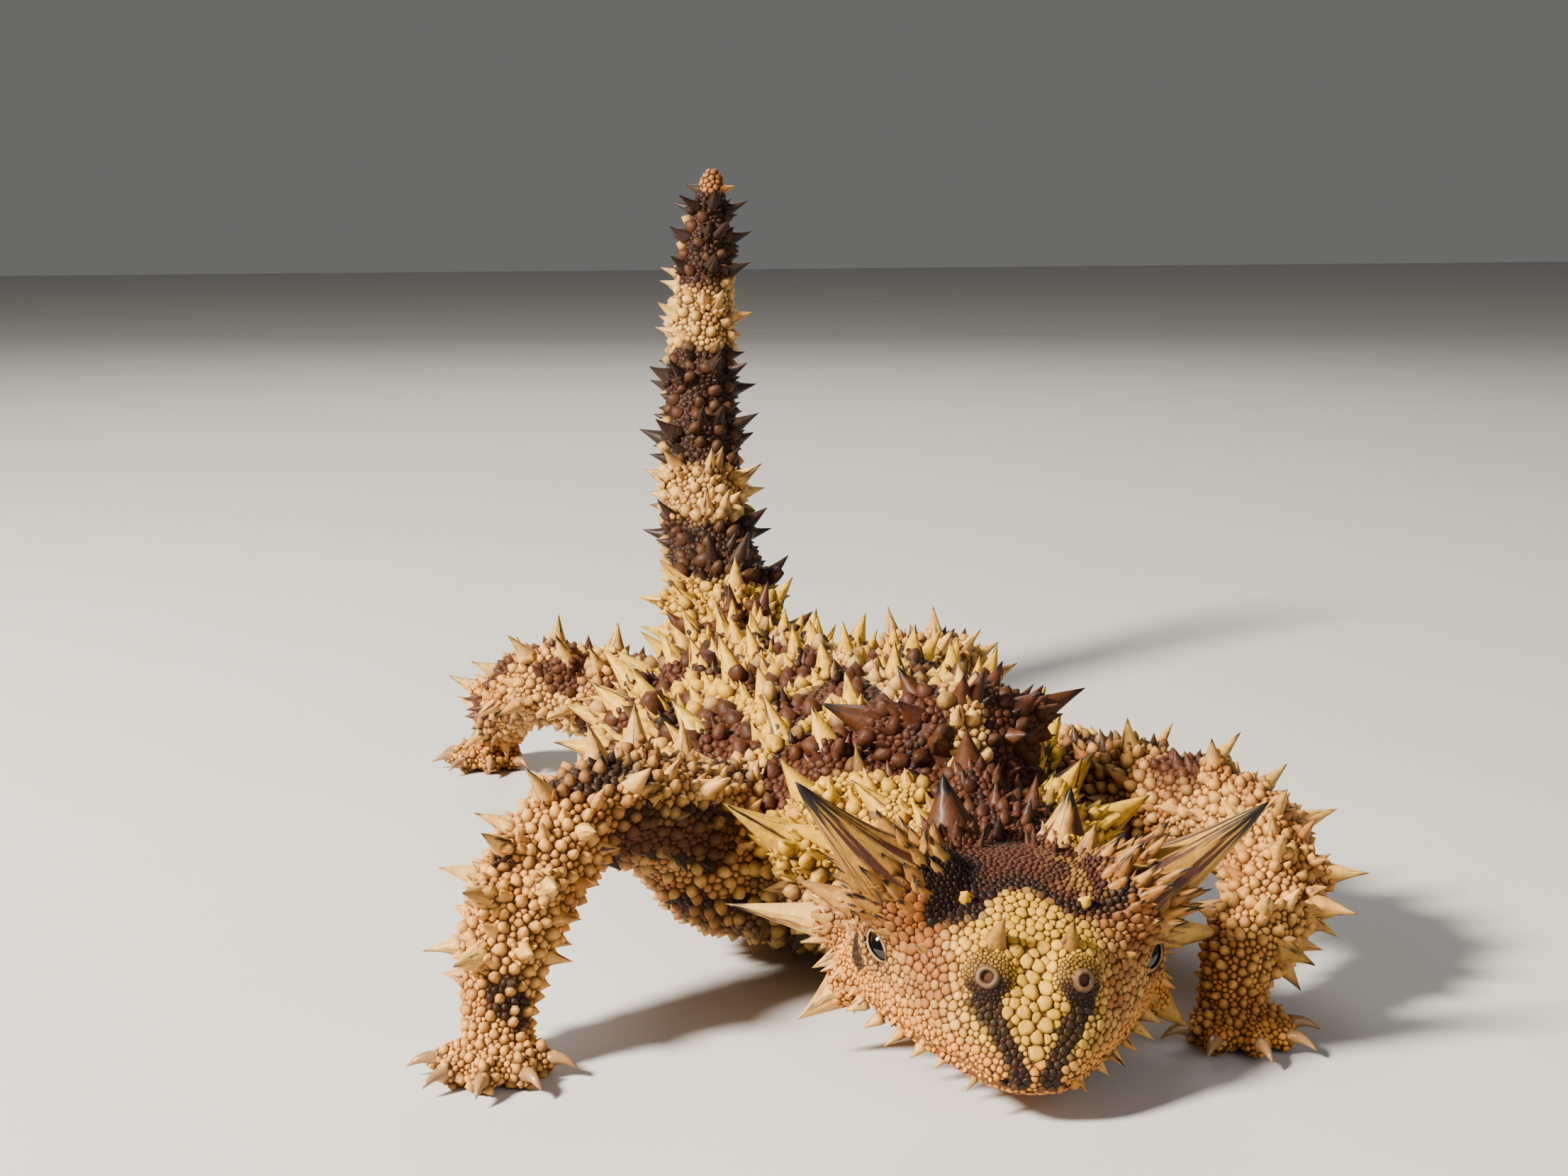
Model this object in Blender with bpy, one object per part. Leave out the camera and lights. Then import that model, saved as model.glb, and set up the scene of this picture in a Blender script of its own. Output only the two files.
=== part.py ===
"""Thorny devil (Moloch horridus): a still, life-size model in a walking pose.

The tables are in millimetres. The animal faces -Y, its left side is +X, and its
feet stand on the plane z = 0. Every limb, the neck, the trunk and the tail are
lengths of smooth paths with oval rings, parted by thin cuts square to the path.
"""

import math
import random

import bmesh
import bpy
from mathutils import Matrix, Vector

MM = 0.001
GAP = 0.3
SINK = 1.0
LONG_THORN = 5.6
SHORT_THORN = 2.2
SEED = 11

# Stations of the spine behind the head: x, y, z, half width, half height.
SPINE = (
    (0.6, -27.8, 8.3, 8.1, 6.2),
    (-1.1, -21.5, 7.9, 11.4, 6.7),
    (-0.9, -15.5, 8.5, 13.3, 7.2),
    (-0.5, -8.0, 9.2, 14.6, 7.7),
    (-0.6, 0.0, 9.0, 15.8, 7.8),
    (-0.8, 8.0, 8.6, 15.5, 7.4),
    (-0.7, 16.0, 8.4, 13.2, 6.8),
    (-0.3, 23.0, 8.5, 9.4, 6.1),
    (0.3, 29.0, 9.2, 6.6, 5.4),
    (0.9, 34.0, 10.8, 5.4, 4.9),
    (1.3, 40.0, 14.3, 4.6, 4.4),
    (1.7, 46.5, 20.5, 4.1, 4.0),
    (2.5, 52.0, 29.5, 3.6, 3.6),
    (3.7, 56.0, 39.5, 3.1, 3.1),
    (5.0, 58.8, 48.0, 2.5, 2.5),
    (6.0, 60.2, 54.6, 1.6, 1.6),
)
# Two stations set square to the head's back: distance behind it, level, half sizes.
NAPE = ((GAP / 2, -2.3, 6.4, 3.9), (2.6, -2.3, 6.8, 4.8))
# Places of the cuts along the stations, counted from the head.
NECK_END = 2.45
TORSO_END = 10.3
TAIL_BASE_END = 12.8
TAIL_MIDDLE_END = 15.0
TAIL_TIP_END = 17.0

# Stations of each limb, from inside the trunk to the end of the palm or sole.
ARM_RIGHT = (
    (-4.0, -9.5, 8.4, 5.0, 5.2),
    (-12.6, -15.8, 7.8, 5.0, 6.1),
    (-18.9, -19.9, 11.7, 3.8, 4.0),
    (-25.4, -24.6, 13.3, 3.3, 3.2),
    (-30.2, -28.6, 9.0, 3.3, 3.1),
    (-31.8, -30.6, 4.4, 2.5, 2.3),
    (-32.2, -31.6, 1.9, 2.2, 1.8),
)
ARM_LEFT = (
    (4.5, -7.0, 8.8, 4.4, 4.8),
    (12.8, -11.4, 8.8, 4.4, 5.2),
    (17.8, -19.4, 9.9, 3.5, 3.4),
    (20.2, -29.2, 10.1, 3.3, 3.2),
    (18.6, -35.4, 7.2, 3.3, 3.1),
    (14.6, -38.8, 4.2, 2.5, 2.3),
    (13.8, -39.6, 1.9, 2.2, 1.8),
)
LEG_RIGHT = (
    (-2.6, 19.6, 8.4, 4.2, 4.0),
    (-8.2, 23.2, 8.6, 4.3, 4.0),
    (-13.6, 27.8, 9.6, 3.9, 3.6),
    (-18.4, 32.0, 9.8, 3.4, 3.2),
    (-20.0, 37.4, 6.6, 2.9, 2.8),
    (-19.9, 41.2, 3.8, 2.4, 2.2),
    (-20.0, 42.4, 1.9, 2.2, 1.7),
)
LEG_LEFT = (
    (2.6, 19.6, 8.4, 4.2, 4.0),
    (8.8, 22.2, 8.6, 4.3, 4.0),
    (14.0, 23.0, 9.8, 3.9, 3.6),
    (18.9, 25.0, 10.0, 3.4, 3.2),
    (21.8, 28.6, 6.8, 2.9, 2.8),
    (23.2, 32.6, 3.8, 2.4, 2.2),
    (23.8, 33.8, 1.9, 2.2, 1.7),
)
LIMB_NAMES = {"arm": ("upper_arm", "forearm", "hand"), "leg": ("thigh", "shank", "foot")}
LIMB_CUTS = (1.62, 3.0, 4.75)
LIMB_END = 6.0

# The head's frame: its back stands against the neck and it looks along -Y.
HEAD_PLACE = (-0.4, -34.3, 10.6)
HEAD_YAW = math.radians(-13.3)
HEAD_PITCH = math.radians(20.0)
HEAD_ROLL = math.radians(4.0)

# Stations of the head: forward, half width, top, widest level, bottom.
HEAD = (
    (0.0, 7.4, 2.2, -2.2, -6.1),
    (1.8, 8.8, 3.3, -2.6, -6.6),
    (3.8, 9.7, 4.4, -2.9, -6.7),
    (5.8, 9.8, 4.8, -3.0, -6.5),
    (8.0, 9.2, 4.7, -2.9, -6.0),
    (10.0, 8.2, 4.3, -2.7, -5.5),
    (12.0, 7.0, 3.6, -2.5, -4.9),
    (14.0, 5.6, 2.3, -2.2, -4.3),
    (15.8, 4.1, 0.9, -2.0, -3.7),
    (17.2, 2.8, -0.4, -1.8, -3.1),
    (17.9, 1.6, -1.0, -1.8, -2.6),
)
HEAD_SQUARENESS = 2.5

EYE_CENTRE = (7.6, 7.6, -0.4)
EYE_RADIUS = 1.7
NOSTRIL = (2.65, 13.6, 2.45)
NOSTRIL_AIM = (0.30, 0.72, 0.62)
EAR = (9.35, 5.6, -1.2)
EAR_RADIUS = 0.9
BROW = (6.6, 6.4, 3.0)
HORN_TIP = (14.2, 6.2, 10.4)
HORN_START = 2.4
HORN_RADIUS = 2.35
MOUTH_CORNER = 9.2
MOUTH_LEVEL = (-3.7, -2.0)

# The broad low breast between the forelegs.
BREAST_CENTRE = (-4.4, -15.6, 4.9)
BREAST_RADII = (12.2, 8.6, 4.3)

KNOB_CENTRE = (2.2, -20.9, 14.9)
KNOB_RADII = (5.8, 3.7, 5.0)

# Rows of thorns: path span, count, degrees above the side, length, root radius, lean.
NECK_ROWS = (
    (1.75, 1.75, 1, 14, 7.2, 1.7, 0.00),
    (1.65, 1.65, 1, 42, 4.2, 1.3, 0.00),
    (1.60, 2.00, 2, -24, 2.4, 0.9, 0.20),
)
TORSO_ROWS = (
    (2.75, 2.75, 1, 20, 7.2, 1.7, 0.15),
    (2.90, 2.90, 1, 44, 4.6, 1.6, 0.20),
    (2.60, 3.70, 3, -24, 2.6, 0.9, 0.20),
    (3.60, 3.60, 1, 68, 4.4, 1.5, 0.30),
    (4.6, 10.0, 8, 80, 3.4, 1.15, 0.45),
    (4.2, 9.8, 8, 56, 4.2, 1.35, 0.40),
    (4.1, 9.6, 7, 32, 5.0, 1.55, 0.35),
    (5.3, 9.2, 7, 8, 5.2, 1.50, 0.30),
    (5.1, 8.9, 6, -20, 3.2, 1.10, 0.25),
)
TAIL_WHORLS = {
    "tail_base": ((10.7, 11.4, 12.1), 4, 4.0, 1.35),
    "tail_middle": ((13.0, 13.5, 14.0, 14.5), 4, 3.2, 1.10),
    "tail_tip": ((15.2, 15.65, 16.1, 16.55), 3, 2.5, 0.85),
}
ARM_ROWS = (
    (1.8, 2.8, 3, 85, 3.4, 1.15, 0.10),
    (1.9, 2.7, 2, 20, 2.8, 0.95, 0.10),
    (2.0, 2.8, 2, 150, 2.8, 0.95, 0.10),
    (3.25, 4.6, 4, 95, 3.2, 1.05, 0.15),
    (3.35, 4.5, 3, 35, 2.7, 0.90, 0.15),
    (3.35, 4.5, 3, 155, 2.7, 0.90, 0.15),
    (3.6, 4.4, 2, -60, 2.0, 0.80, 0.15),
)
LEG_ROWS = (
    (1.8, 2.8, 3, 85, 3.6, 1.20, 0.10),
    (1.9, 2.7, 2, 25, 3.0, 1.00, 0.10),
    (2.0, 2.8, 2, 150, 3.0, 1.00, 0.10),
    (3.25, 4.5, 3, 90, 2.9, 0.95, 0.15),
    (3.35, 4.4, 2, 30, 2.4, 0.85, 0.15),
    (3.35, 4.4, 2, 155, 2.4, 0.85, 0.15),
)

# Thorns of one side of the head: root (side, forward, up), direction, length, radius.
HEAD_THORNS = (
    ((3.4, 1.9, 2.6), (0.15, -0.45, 0.90), 5.0, 1.75),
    ((8.8, 2.4, -3.0), (0.96, -0.12, 0.04), 7.4, 1.80),
    ((8.6, 4.4, -0.2), (0.84, -0.25, 0.20), 4.6, 1.30),
    ((8.4, 2.0, 0.6), (0.90, -0.20, 0.35), 3.6, 1.10),
    ((7.4, 2.2, 2.0), (0.72, -0.45, 0.52), 3.2, 1.10),
    ((9.4, 6.0, -4.6), (0.74, 0.35, -0.55), 3.6, 1.40),
    ((9.4, 3.6, -4.2), (0.85, 0.10, -0.40), 2.4, 0.90),
    ((9.6, 5.0, -3.2), (0.90, 0.30, -0.20), 1.8, 0.80),
    ((7.4, 8.8, 1.6), (0.85, 0.35, 0.35), 2.0, 0.80),
    ((6.0, 10.6, 1.9), (0.70, 0.40, 0.60), 1.6, 0.75),
    ((2.2, 11.9, 3.0), (-0.02, 0.05, 1.00), 2.7, 0.95),
    ((3.6, 8.6, 4.2), (0.10, 0.45, 0.88), 1.5, 0.80),
    ((4.6, 3.2, 3.4), (0.20, -0.30, 0.90), 2.2, 0.90),
    ((8.8, 8.0, -4.6), (0.85, 0.25, -0.35), 1.9, 0.75),
    ((8.0, 9.8, -4.3), (0.80, 0.35, -0.35), 1.7, 0.65),
    ((6.9, 11.4, -4.0), (0.75, 0.45, -0.40), 1.6, 0.60),
    ((5.8, 12.9, -3.7), (0.70, 0.55, -0.40), 1.4, 0.55),
    ((4.7, 14.2, -3.4), (0.65, 0.60, -0.40), 1.3, 0.55),
    ((3.1, 16.2, -3.0), (0.55, 0.75, -0.35), 1.2, 0.50),
)
# The fold of skin behind each jaw corner that carries the longest cheek thorn.
JOWL_CENTRE = (8.2, 2.7, -3.0)
JOWL_RADII = (2.5, 2.2, 2.6)
# Thorns on the mound under each horn: turn about the horn, reach along it, length.
MOUND_THORNS = ((-150, 1.3, 2.4), (-95, 1.6, 2.0), (-35, 1.4, 1.9), (40, 1.4, 1.9), (110, 1.3, 2.2))

# Thorns of the knob: degrees round it from the side, degrees up, length, radius.
KNOB_THORNS = (
    (12, 22, 5.2, 1.7),
    (-28, 40, 2.4, 1.0),
    (38, 52, 2.6, 1.0),
    (-60, 18, 2.0, 0.9),
    (62, 20, 2.2, 0.9),
    (-80, 62, 2.2, 0.9),
)

DIGIT_TURNS = (-78, -38, 0, 36, 74)
DIGIT_LENGTHS = (1.6, 2.1, 2.3, 2.1, 1.6)
CLAW_LENGTH = 1.9
# Which way each hand and foot points, in radians from straight ahead.
HEADINGS = {"arm_right": -0.35, "arm_left": -0.1, "leg_right": -0.9, "leg_left": 0.7}

COLOURS = {
    "scales": (0.62, 0.45, 0.26),
    "trunk": (0.50, 0.27, 0.14),
    "horn": (0.55, 0.42, 0.20),
    "eye": (0.05, 0.04, 0.04),
}


def material(name, roughness):
    """Return the named Principled material, made on its first use."""
    found = bpy.data.materials.get(name)
    if found:
        return found
    made = bpy.data.materials.new(name)
    made.use_nodes = True
    shader = made.node_tree.nodes["Principled BSDF"]
    shader.inputs["Base Color"].default_value = (*COLOURS[name], 1.0)
    shader.inputs["Roughness"].default_value = roughness
    shader.inputs["Metallic"].default_value = 0.0
    return made


def to_object(name, mesh_edit, finish="scales", roughness=0.75):
    """Turn a bmesh in millimetres into a closed object in metres."""
    bmesh.ops.recalc_face_normals(mesh_edit, faces=mesh_edit.faces)
    bmesh.ops.scale(mesh_edit, vec=(MM, MM, MM), verts=mesh_edit.verts)
    mesh = bpy.data.meshes.new(name)
    mesh_edit.to_mesh(mesh)
    mesh_edit.free()
    made = bpy.data.objects.new(name, mesh)
    made.data.materials.append(material(finish, roughness))
    bpy.context.scene.collection.objects.link(made)
    return made


def smooth_between(rows, place):
    """Read a Catmull-Rom curve through the rows at a fractional place."""
    last = len(rows) - 1
    index = min(max(int(math.floor(place)), 0), last - 1)
    t = place - index
    here, after = rows[index], rows[index + 1]
    before = rows[index - 1] if index > 0 else [2 * a - b for a, b in zip(here, after)]
    beyond = rows[index + 2] if index + 2 <= last else [2 * b - a for a, b in zip(here, after)]
    return [
        0.5 * (2 * b + (c - a) * t + (2 * a - 5 * b + 4 * c - d) * t * t + (3 * b - a - 3 * c + d) * t ** 3)
        for a, b, c, d in zip(before, here, after, beyond)
    ]


def power(value, exponent):
    """Raise a value to an exponent and keep its sign."""
    return math.copysign(abs(value) ** exponent, value)


class BodyPath:
    """A run of oval stations; its rings stand square to the curve through them."""

    def __init__(self, stations, side_hint):
        self.stations = stations
        self.side_hint = Vector(side_hint)

    def centre(self, place):
        """Return the curve's point at a place."""
        return Vector(smooth_between(self.stations, place)[:3])

    def frame(self, place):
        """Return the side, up and onward directions at a place."""
        onward = (self.centre(place + 0.02) - self.centre(place - 0.02)).normalized()
        side = (self.side_hint - self.side_hint.dot(onward) * onward).normalized()
        return side, side.cross(onward), onward

    def surface(self, place, degrees):
        """Return a surface point, its outward direction and the onward direction."""
        width, height = smooth_between(self.stations, place)[3:]
        side, up, onward = self.frame(place)
        turn = math.radians(degrees)
        point = self.centre(place) + side * math.cos(turn) * width + up * math.sin(turn) * height
        outward = side * math.cos(turn) / width + up * math.sin(turn) / height
        return point, outward.normalized(), onward

    def cuts(self, first, last):
        """Return the planes at two places, each as a point and the inward direction."""
        return (
            (self.centre(first), self.frame(first)[2]),
            (self.centre(last), -self.frame(last)[2]),
        )

    def add_ring(self, mesh_edit, place, sides, shift=0.0, shrink=1.0):
        """Add one ring of the path to the mesh and return its edges."""
        width, height = smooth_between(self.stations, place)[3:]
        side, up, onward = self.frame(place)
        centre = self.centre(place) + onward * shift
        ring = bmesh.ops.create_circle(mesh_edit, segments=sides, radius=1.0)["verts"]
        for vertex in ring:
            across, high = vertex.co.x * width * shrink, vertex.co.y * height * shrink
            vertex.co = centre + side * across + up * high
        return loop_edges(ring)

    def tube(self, first, last, rings, sides, blunt=False):
        """Return a closed tube between two cuts, each half a gap short of its cut."""
        mesh_edit = bmesh.new()
        loops = []
        for step in range(rings + 1):
            place = first + (last - first) * step / rings
            shift = GAP / 2 if step == 0 else -GAP / 2 if step == rings and not blunt else 0.0
            loops.append(self.add_ring(mesh_edit, place, sides, shift))
        if blunt:
            radius = self.stations[-1][3]
            loops.append(self.add_ring(mesh_edit, last, sides, radius * 0.6, 0.72))
            loops.append(self.add_ring(mesh_edit, last, sides, radius * 0.95, 0.3))
        close_loops(mesh_edit, loops)
        return mesh_edit


def loop_edges(vertices):
    """Return the edges of the loop that the vertices form."""
    return list({edge for vertex in vertices for edge in vertex.link_edges})


def close_loops(mesh_edit, loops):
    """Bridge each loop to the next one and fill the first and last."""
    for lower, upper in zip(loops, loops[1:]):
        bmesh.ops.bridge_loops(mesh_edit, edges=lower + upper)
    for loop in (loops[0], loops[-1]):
        bmesh.ops.contextual_create(mesh_edit, geom=loop)
    bmesh.ops.triangulate(mesh_edit, faces=mesh_edit.faces)


def turn_to(direction):
    """Return the rotation that carries +Z onto a direction."""
    return Vector(direction).to_track_quat("Z", "Y").to_matrix().to_4x4()


def thorn(root, direction, length, radius, bend=Vector(), sides=5):
    """Return one thorn: a tapered cone with hollow flanks and a leaning tip."""
    direction = Vector(direction).normalized()
    sink = min(SINK + 0.4 * radius, 1.8)
    profile = {4: ((0.0, 1.0),), 5: ((0.0, 1.0), (0.5, 0.48)), 6: ((0.0, 1.0), (0.36, 0.62), (0.7, 0.28))}[sides]
    mesh_edit = bmesh.new()
    loops = []
    for height, share in profile:
        ring = bmesh.ops.create_circle(mesh_edit, segments=sides, radius=radius * share)["verts"]
        bmesh.ops.translate(mesh_edit, verts=ring, vec=(0, 0, height * (length + sink)))
        loops.append(loop_edges(ring))
    tip = mesh_edit.verts.new((0, 0, length + sink))
    for edge in loops[-1]:
        mesh_edit.faces.new((*edge.verts, tip))
    for lower, upper in zip(loops, loops[1:]):
        bmesh.ops.bridge_loops(mesh_edit, edges=lower + upper)
    bmesh.ops.contextual_create(mesh_edit, geom=loops[0])
    bmesh.ops.transform(mesh_edit, matrix=turn_to(direction), verts=mesh_edit.verts)
    for vertex in mesh_edit.verts:
        rise = max(vertex.co.dot(direction) / (length + sink), 0.0)
        vertex.co += Vector(root) - direction * sink + Vector(bend) * rise * rise * length
    bmesh.ops.triangulate(mesh_edit, faces=mesh_edit.faces)
    return to_object("thorn", mesh_edit)


def thorn_balls(root, direction, length, radius, bend):
    """Return balls as centre and radius that stand for a thorn's space."""
    return [
        (root + direction * length * share + Vector(bend) * share ** 2 * length, radius * (1 - share))
        for share in (0.15, 0.4, 0.65, 0.9, 1.0)
    ]


def ball(centre, radii, turn=None, across=12, rings=8):
    """Return an ellipsoid as a mesh in millimetres."""
    mesh_edit = bmesh.new()
    bmesh.ops.create_uvsphere(mesh_edit, u_segments=across, v_segments=rings, radius=1.0)
    matrix = Matrix.Translation(centre) @ (turn or Matrix()) @ Matrix.Diagonal((*radii, 1.0))
    bmesh.ops.transform(mesh_edit, matrix=matrix, verts=mesh_edit.verts)
    return mesh_edit


def hoop(centre, aim, radii, thickness, around=12, sides=5):
    """Return an oval ring of round section that faces along aim."""
    mesh_edit = bmesh.new()
    section = bmesh.ops.create_circle(mesh_edit, segments=sides, radius=thickness)["verts"]
    bmesh.ops.rotate(mesh_edit, matrix=Matrix.Rotation(math.pi / 2, 3, "X"), verts=section)
    bmesh.ops.translate(mesh_edit, verts=section, vec=(1.0, 0, 0))
    bmesh.ops.spin(
        mesh_edit,
        geom=list(mesh_edit.verts) + list(mesh_edit.edges),
        axis=(0, 0, 1),
        cent=(0, 0, 0),
        angle=math.tau,
        steps=around,
        use_merge=True,
    )
    for vertex in mesh_edit.verts:
        flat = Vector((vertex.co.x, vertex.co.y, 0)).normalized()
        excess = vertex.co.to_2d().length - 1.0
        vertex.co = Vector((flat.x * (radii[0] + excess), flat.y * (radii[1] + excess), vertex.co.z))
    matrix = Matrix.Translation(centre) @ turn_to(aim)
    bmesh.ops.transform(mesh_edit, matrix=matrix, verts=mesh_edit.verts)
    return mesh_edit


def combine(node, pieces, operation, solver="EXACT"):
    """Apply one Boolean of all the pieces to a node, then remove the pieces."""
    gathered = bpy.data.collections.new("pieces")
    bpy.context.scene.collection.children.link(gathered)
    for piece in pieces:
        bpy.context.scene.collection.objects.unlink(piece)
        gathered.objects.link(piece)
    step = node.modifiers.new("combine", "BOOLEAN")
    step.operation = operation
    step.operand_type = "COLLECTION"
    step.collection = gathered
    step.solver = solver
    seen = node.evaluated_get(bpy.context.evaluated_depsgraph_get())
    mesh = bpy.data.meshes.new_from_object(seen)
    node.modifiers.clear()
    node.data = mesh
    for piece in pieces:
        bpy.data.objects.remove(piece)
    bpy.data.collections.remove(gathered)
    keep_largest(node)


def keep_largest(node):
    """Keep only the closed surface that holds the most volume."""
    mesh_edit = bmesh.new()
    mesh_edit.from_mesh(node.data)
    bmesh.ops.triangulate(mesh_edit, faces=mesh_edit.faces)
    unseen = set(mesh_edit.faces)
    shells = []
    while unseen:
        shell, edge_of = set(), [unseen.pop()]
        while edge_of:
            face = edge_of.pop()
            shell.add(face)
            for neighbour in (f for edge in face.edges for f in edge.link_faces if f in unseen):
                unseen.discard(neighbour)
                edge_of.append(neighbour)
        shells.append(shell)
    shells.sort(key=shell_volume, reverse=True)
    spare = [face for shell in shells[1:] for face in shell]
    bmesh.ops.delete(mesh_edit, geom=spare, context="FACES")
    mesh_edit.to_mesh(node.data)
    mesh_edit.free()


def shell_volume(shell):
    """Return the volume inside a closed set of triangles."""
    corners = ([vertex.co for vertex in face.verts] for face in shell)
    return sum(a.dot(b.cross(c)) for a, b, c in corners) / 6


class Space:
    """Remembers which node fills which balls of space, so that no thorn crosses another node."""

    def __init__(self):
        self.balls = []

    def fill(self, node, centre, radius):
        """Mark one ball as filled by a node."""
        self.balls.append((node, Vector(centre), radius))

    def fill_oval(self, node, centre, side, width, height):
        """Mark an oval slice as filled by balls side by side."""
        small, spread = min(width, height), max(width - height, 0.0)
        for share in (-1.0, -0.5, 0.0, 0.5, 1.0):
            self.fill(node, centre + side * spread * share, small)

    def fill_path(self, node, path, first, last):
        """Mark a length of a path as filled."""
        steps = max(int((last - first) / 0.2), 2)
        for step in range(steps + 1):
            place = first + (last - first) * step / steps
            width, height = smooth_between(path.stations, place)[3:]
            self.fill_oval(node, path.centre(place), path.frame(place)[0], width, height)

    def is_free(self, skip, balls):
        """Tell whether balls keep the gap to every node but those to skip."""
        return all(
            (centre - other).length > radius + reach + GAP
            for centre, radius in balls
            for name, other, reach in self.balls
            if name not in skip
        )


class Thorns:
    """Makes the thorns of one node with seeded variation.

    The cuts are the planes, as point and inward direction, that part the node from
    its neighbours, which the thorns then needn't be tested against.
    """

    def __init__(self, name, space, cuts=(), neighbours=()):
        self.name = name
        self.space = space
        self.cuts = cuts
        self.skip = {name, *neighbours}
        self.random = random.Random(f"{SEED}-{name}")
        self.made = []

    def vary(self, value, share=0.12):
        """Return the value changed by up to a share of itself."""
        return value * (1 + self.random.uniform(-share, share))

    def add(self, root, direction, length, radius, bend=Vector()):
        """Add one thorn of about the given size, or a shorter one where space is short."""
        root, direction = Vector(root), Vector(direction).normalized()
        length, radius = self.vary(length), self.vary(radius)
        for share in (1.0, 0.75, 0.55):
            balls = thorn_balls(root, direction, length * share, radius * share ** 0.5, bend)
            if all(self.inside_cuts(*ball) for ball in balls) and self.space.is_free(self.skip, balls):
                break
        else:
            return
        length, radius = length * share, radius * share ** 0.5
        for centre, radius_there in balls:
            self.space.fill(self.name, centre, radius_there)
        sides = 6 if length > LONG_THORN else 4 if length < SHORT_THORN else 5
        self.made.append(thorn(root, direction, length, radius, bend, sides))

    def inside_cuts(self, centre, radius):
        """Tell whether a ball is above the floor and on its own side of each cut."""
        clear = all((centre - point).dot(inward) > radius + GAP for point, inward in self.cuts)
        return clear and centre.z > radius + GAP

    def row(self, path, first, last, count, degrees, length, radius, lean):
        """Add a row along a path at an angle above its side."""
        for index in range(count):
            share = index / (count - 1) if count > 1 else 0.0
            place = first + (last - first) * share + self.random.uniform(-0.06, 0.06)
            swell = 0.82 + 0.18 * math.sin(math.pi * share) if count > 2 else 1.0
            root, outward, onward = path.surface(place, degrees + self.random.uniform(-5, 5))
            direction = outward + onward * self.vary(lean, 0.4)
            self.add(root, direction, length * swell, radius * swell, onward * 0.08)

    def both_sides(self, path, rows):
        """Add each row on both sides of a path."""
        for first, last, count, degrees, length, radius, lean in rows:
            self.row(path, first, last, count, degrees, length, radius, lean)
            self.row(path, first, last, count, 180 - degrees, length, radius, lean)


def head_matrix():
    """Return the head's place and turn."""
    turn = Matrix.Rotation(HEAD_YAW, 4, "Z") @ Matrix.Rotation(HEAD_PITCH, 4, "X")
    return Matrix.Translation(HEAD_PLACE) @ turn @ Matrix.Rotation(HEAD_ROLL, 4, "Y")


def spine_stations():
    """Return the spine's stations, led by the nape's two behind the head."""
    placed = head_matrix()
    nape = [(*(placed @ Vector((0, behind, level))), width, height) for behind, level, width, height in NAPE]
    return nape + list(SPINE)


def head_point(values, side=1):
    """Return a point given by side, forward and up in the head as x, y, z there."""
    return Vector((side * values[0], -values[1], values[2]))


def head_half_width(forward, level):
    """Return how far the head's side stands out at a level."""
    spot = head_station(forward)
    _, width, top, middle, bottom = smooth_between(HEAD, spot)
    reach = (level - middle) / (top - middle) if level > middle else (middle - level) / (middle - bottom)
    return width * (1 - min(reach, 1.0) ** HEAD_SQUARENESS) ** (1 / HEAD_SQUARENESS)


def head_station(forward):
    """Return the place along the head's stations that lies this far forward."""
    for index in range(len(HEAD) - 1):
        if forward <= HEAD[index + 1][0]:
            return index + (forward - HEAD[index][0]) / (HEAD[index + 1][0] - HEAD[index][0])
    return len(HEAD) - 1.0


def head_shell():
    """Return the head's plain solid, widest low on the cheeks and blunt at the snout."""
    mesh_edit = bmesh.new()
    loops = []
    steps = 14
    for step in range(steps + 1):
        forward, width, top, middle, bottom = smooth_between(HEAD, step * (len(HEAD) - 1) / steps)
        ring = bmesh.ops.create_circle(mesh_edit, segments=24, radius=1.0)["verts"]
        for vertex in ring:
            across = power(vertex.co.x, 2 / HEAD_SQUARENESS)
            high = power(vertex.co.y, 2 / HEAD_SQUARENESS)
            reach = top - middle if high > 0 else middle - bottom
            vertex.co = Vector((across * width, -forward, middle + high * reach))
        loops.append(loop_edges(ring))
    close_loops(mesh_edit, loops)
    return mesh_edit


def mouth_tube(offset, thickness):
    """Return a tube that follows the mouth line round the snout."""
    mesh_edit = bmesh.new()
    corner, front = MOUTH_CORNER, HEAD[-1][0] - 0.4
    points = []
    for share in (0.0, 0.2, 0.4, 0.6, 0.8, 0.93):
        forward = corner + (front - corner) * share
        level = MOUTH_LEVEL[0] + (MOUTH_LEVEL[1] - MOUTH_LEVEL[0]) * share + offset
        points.append(Vector((head_half_width(forward, level), -forward, level)))
    tip = Vector((0, -HEAD[-1][0], MOUTH_LEVEL[1] + offset))
    line = points + [tip] + [Vector((-p.x, p.y, p.z)) for p in reversed(points)]
    loops = []
    for index, point in enumerate(line):
        along = line[min(index + 1, len(line) - 1)] - line[max(index - 1, 0)]
        ring = bmesh.ops.create_circle(mesh_edit, segments=4, radius=thickness)["verts"]
        matrix = Matrix.Translation(point) @ turn_to(along)
        bmesh.ops.transform(mesh_edit, matrix=matrix, verts=ring)
        loops.append(loop_edges(ring))
    close_loops(mesh_edit, loops)
    return mesh_edit


def in_head(name, mesh_edit, finish="scales", roughness=0.75):
    """Set a mesh made in the head's frame in its place as an object."""
    bmesh.ops.transform(mesh_edit, matrix=head_matrix(), verts=mesh_edit.verts)
    return to_object(name, mesh_edit, finish, roughness)


def head_way(direction, side=1):
    """Return a direction of the head's frame as one in the world."""
    return head_matrix().to_3x3() @ head_point(direction, side)


def horn_axis(side):
    """Return the brow point, the horn's direction and its length to the tip."""
    brow, tip = head_point(BROW, side), head_point(HORN_TIP, side)
    return brow, (tip - brow).normalized(), (tip - brow).length


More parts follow.
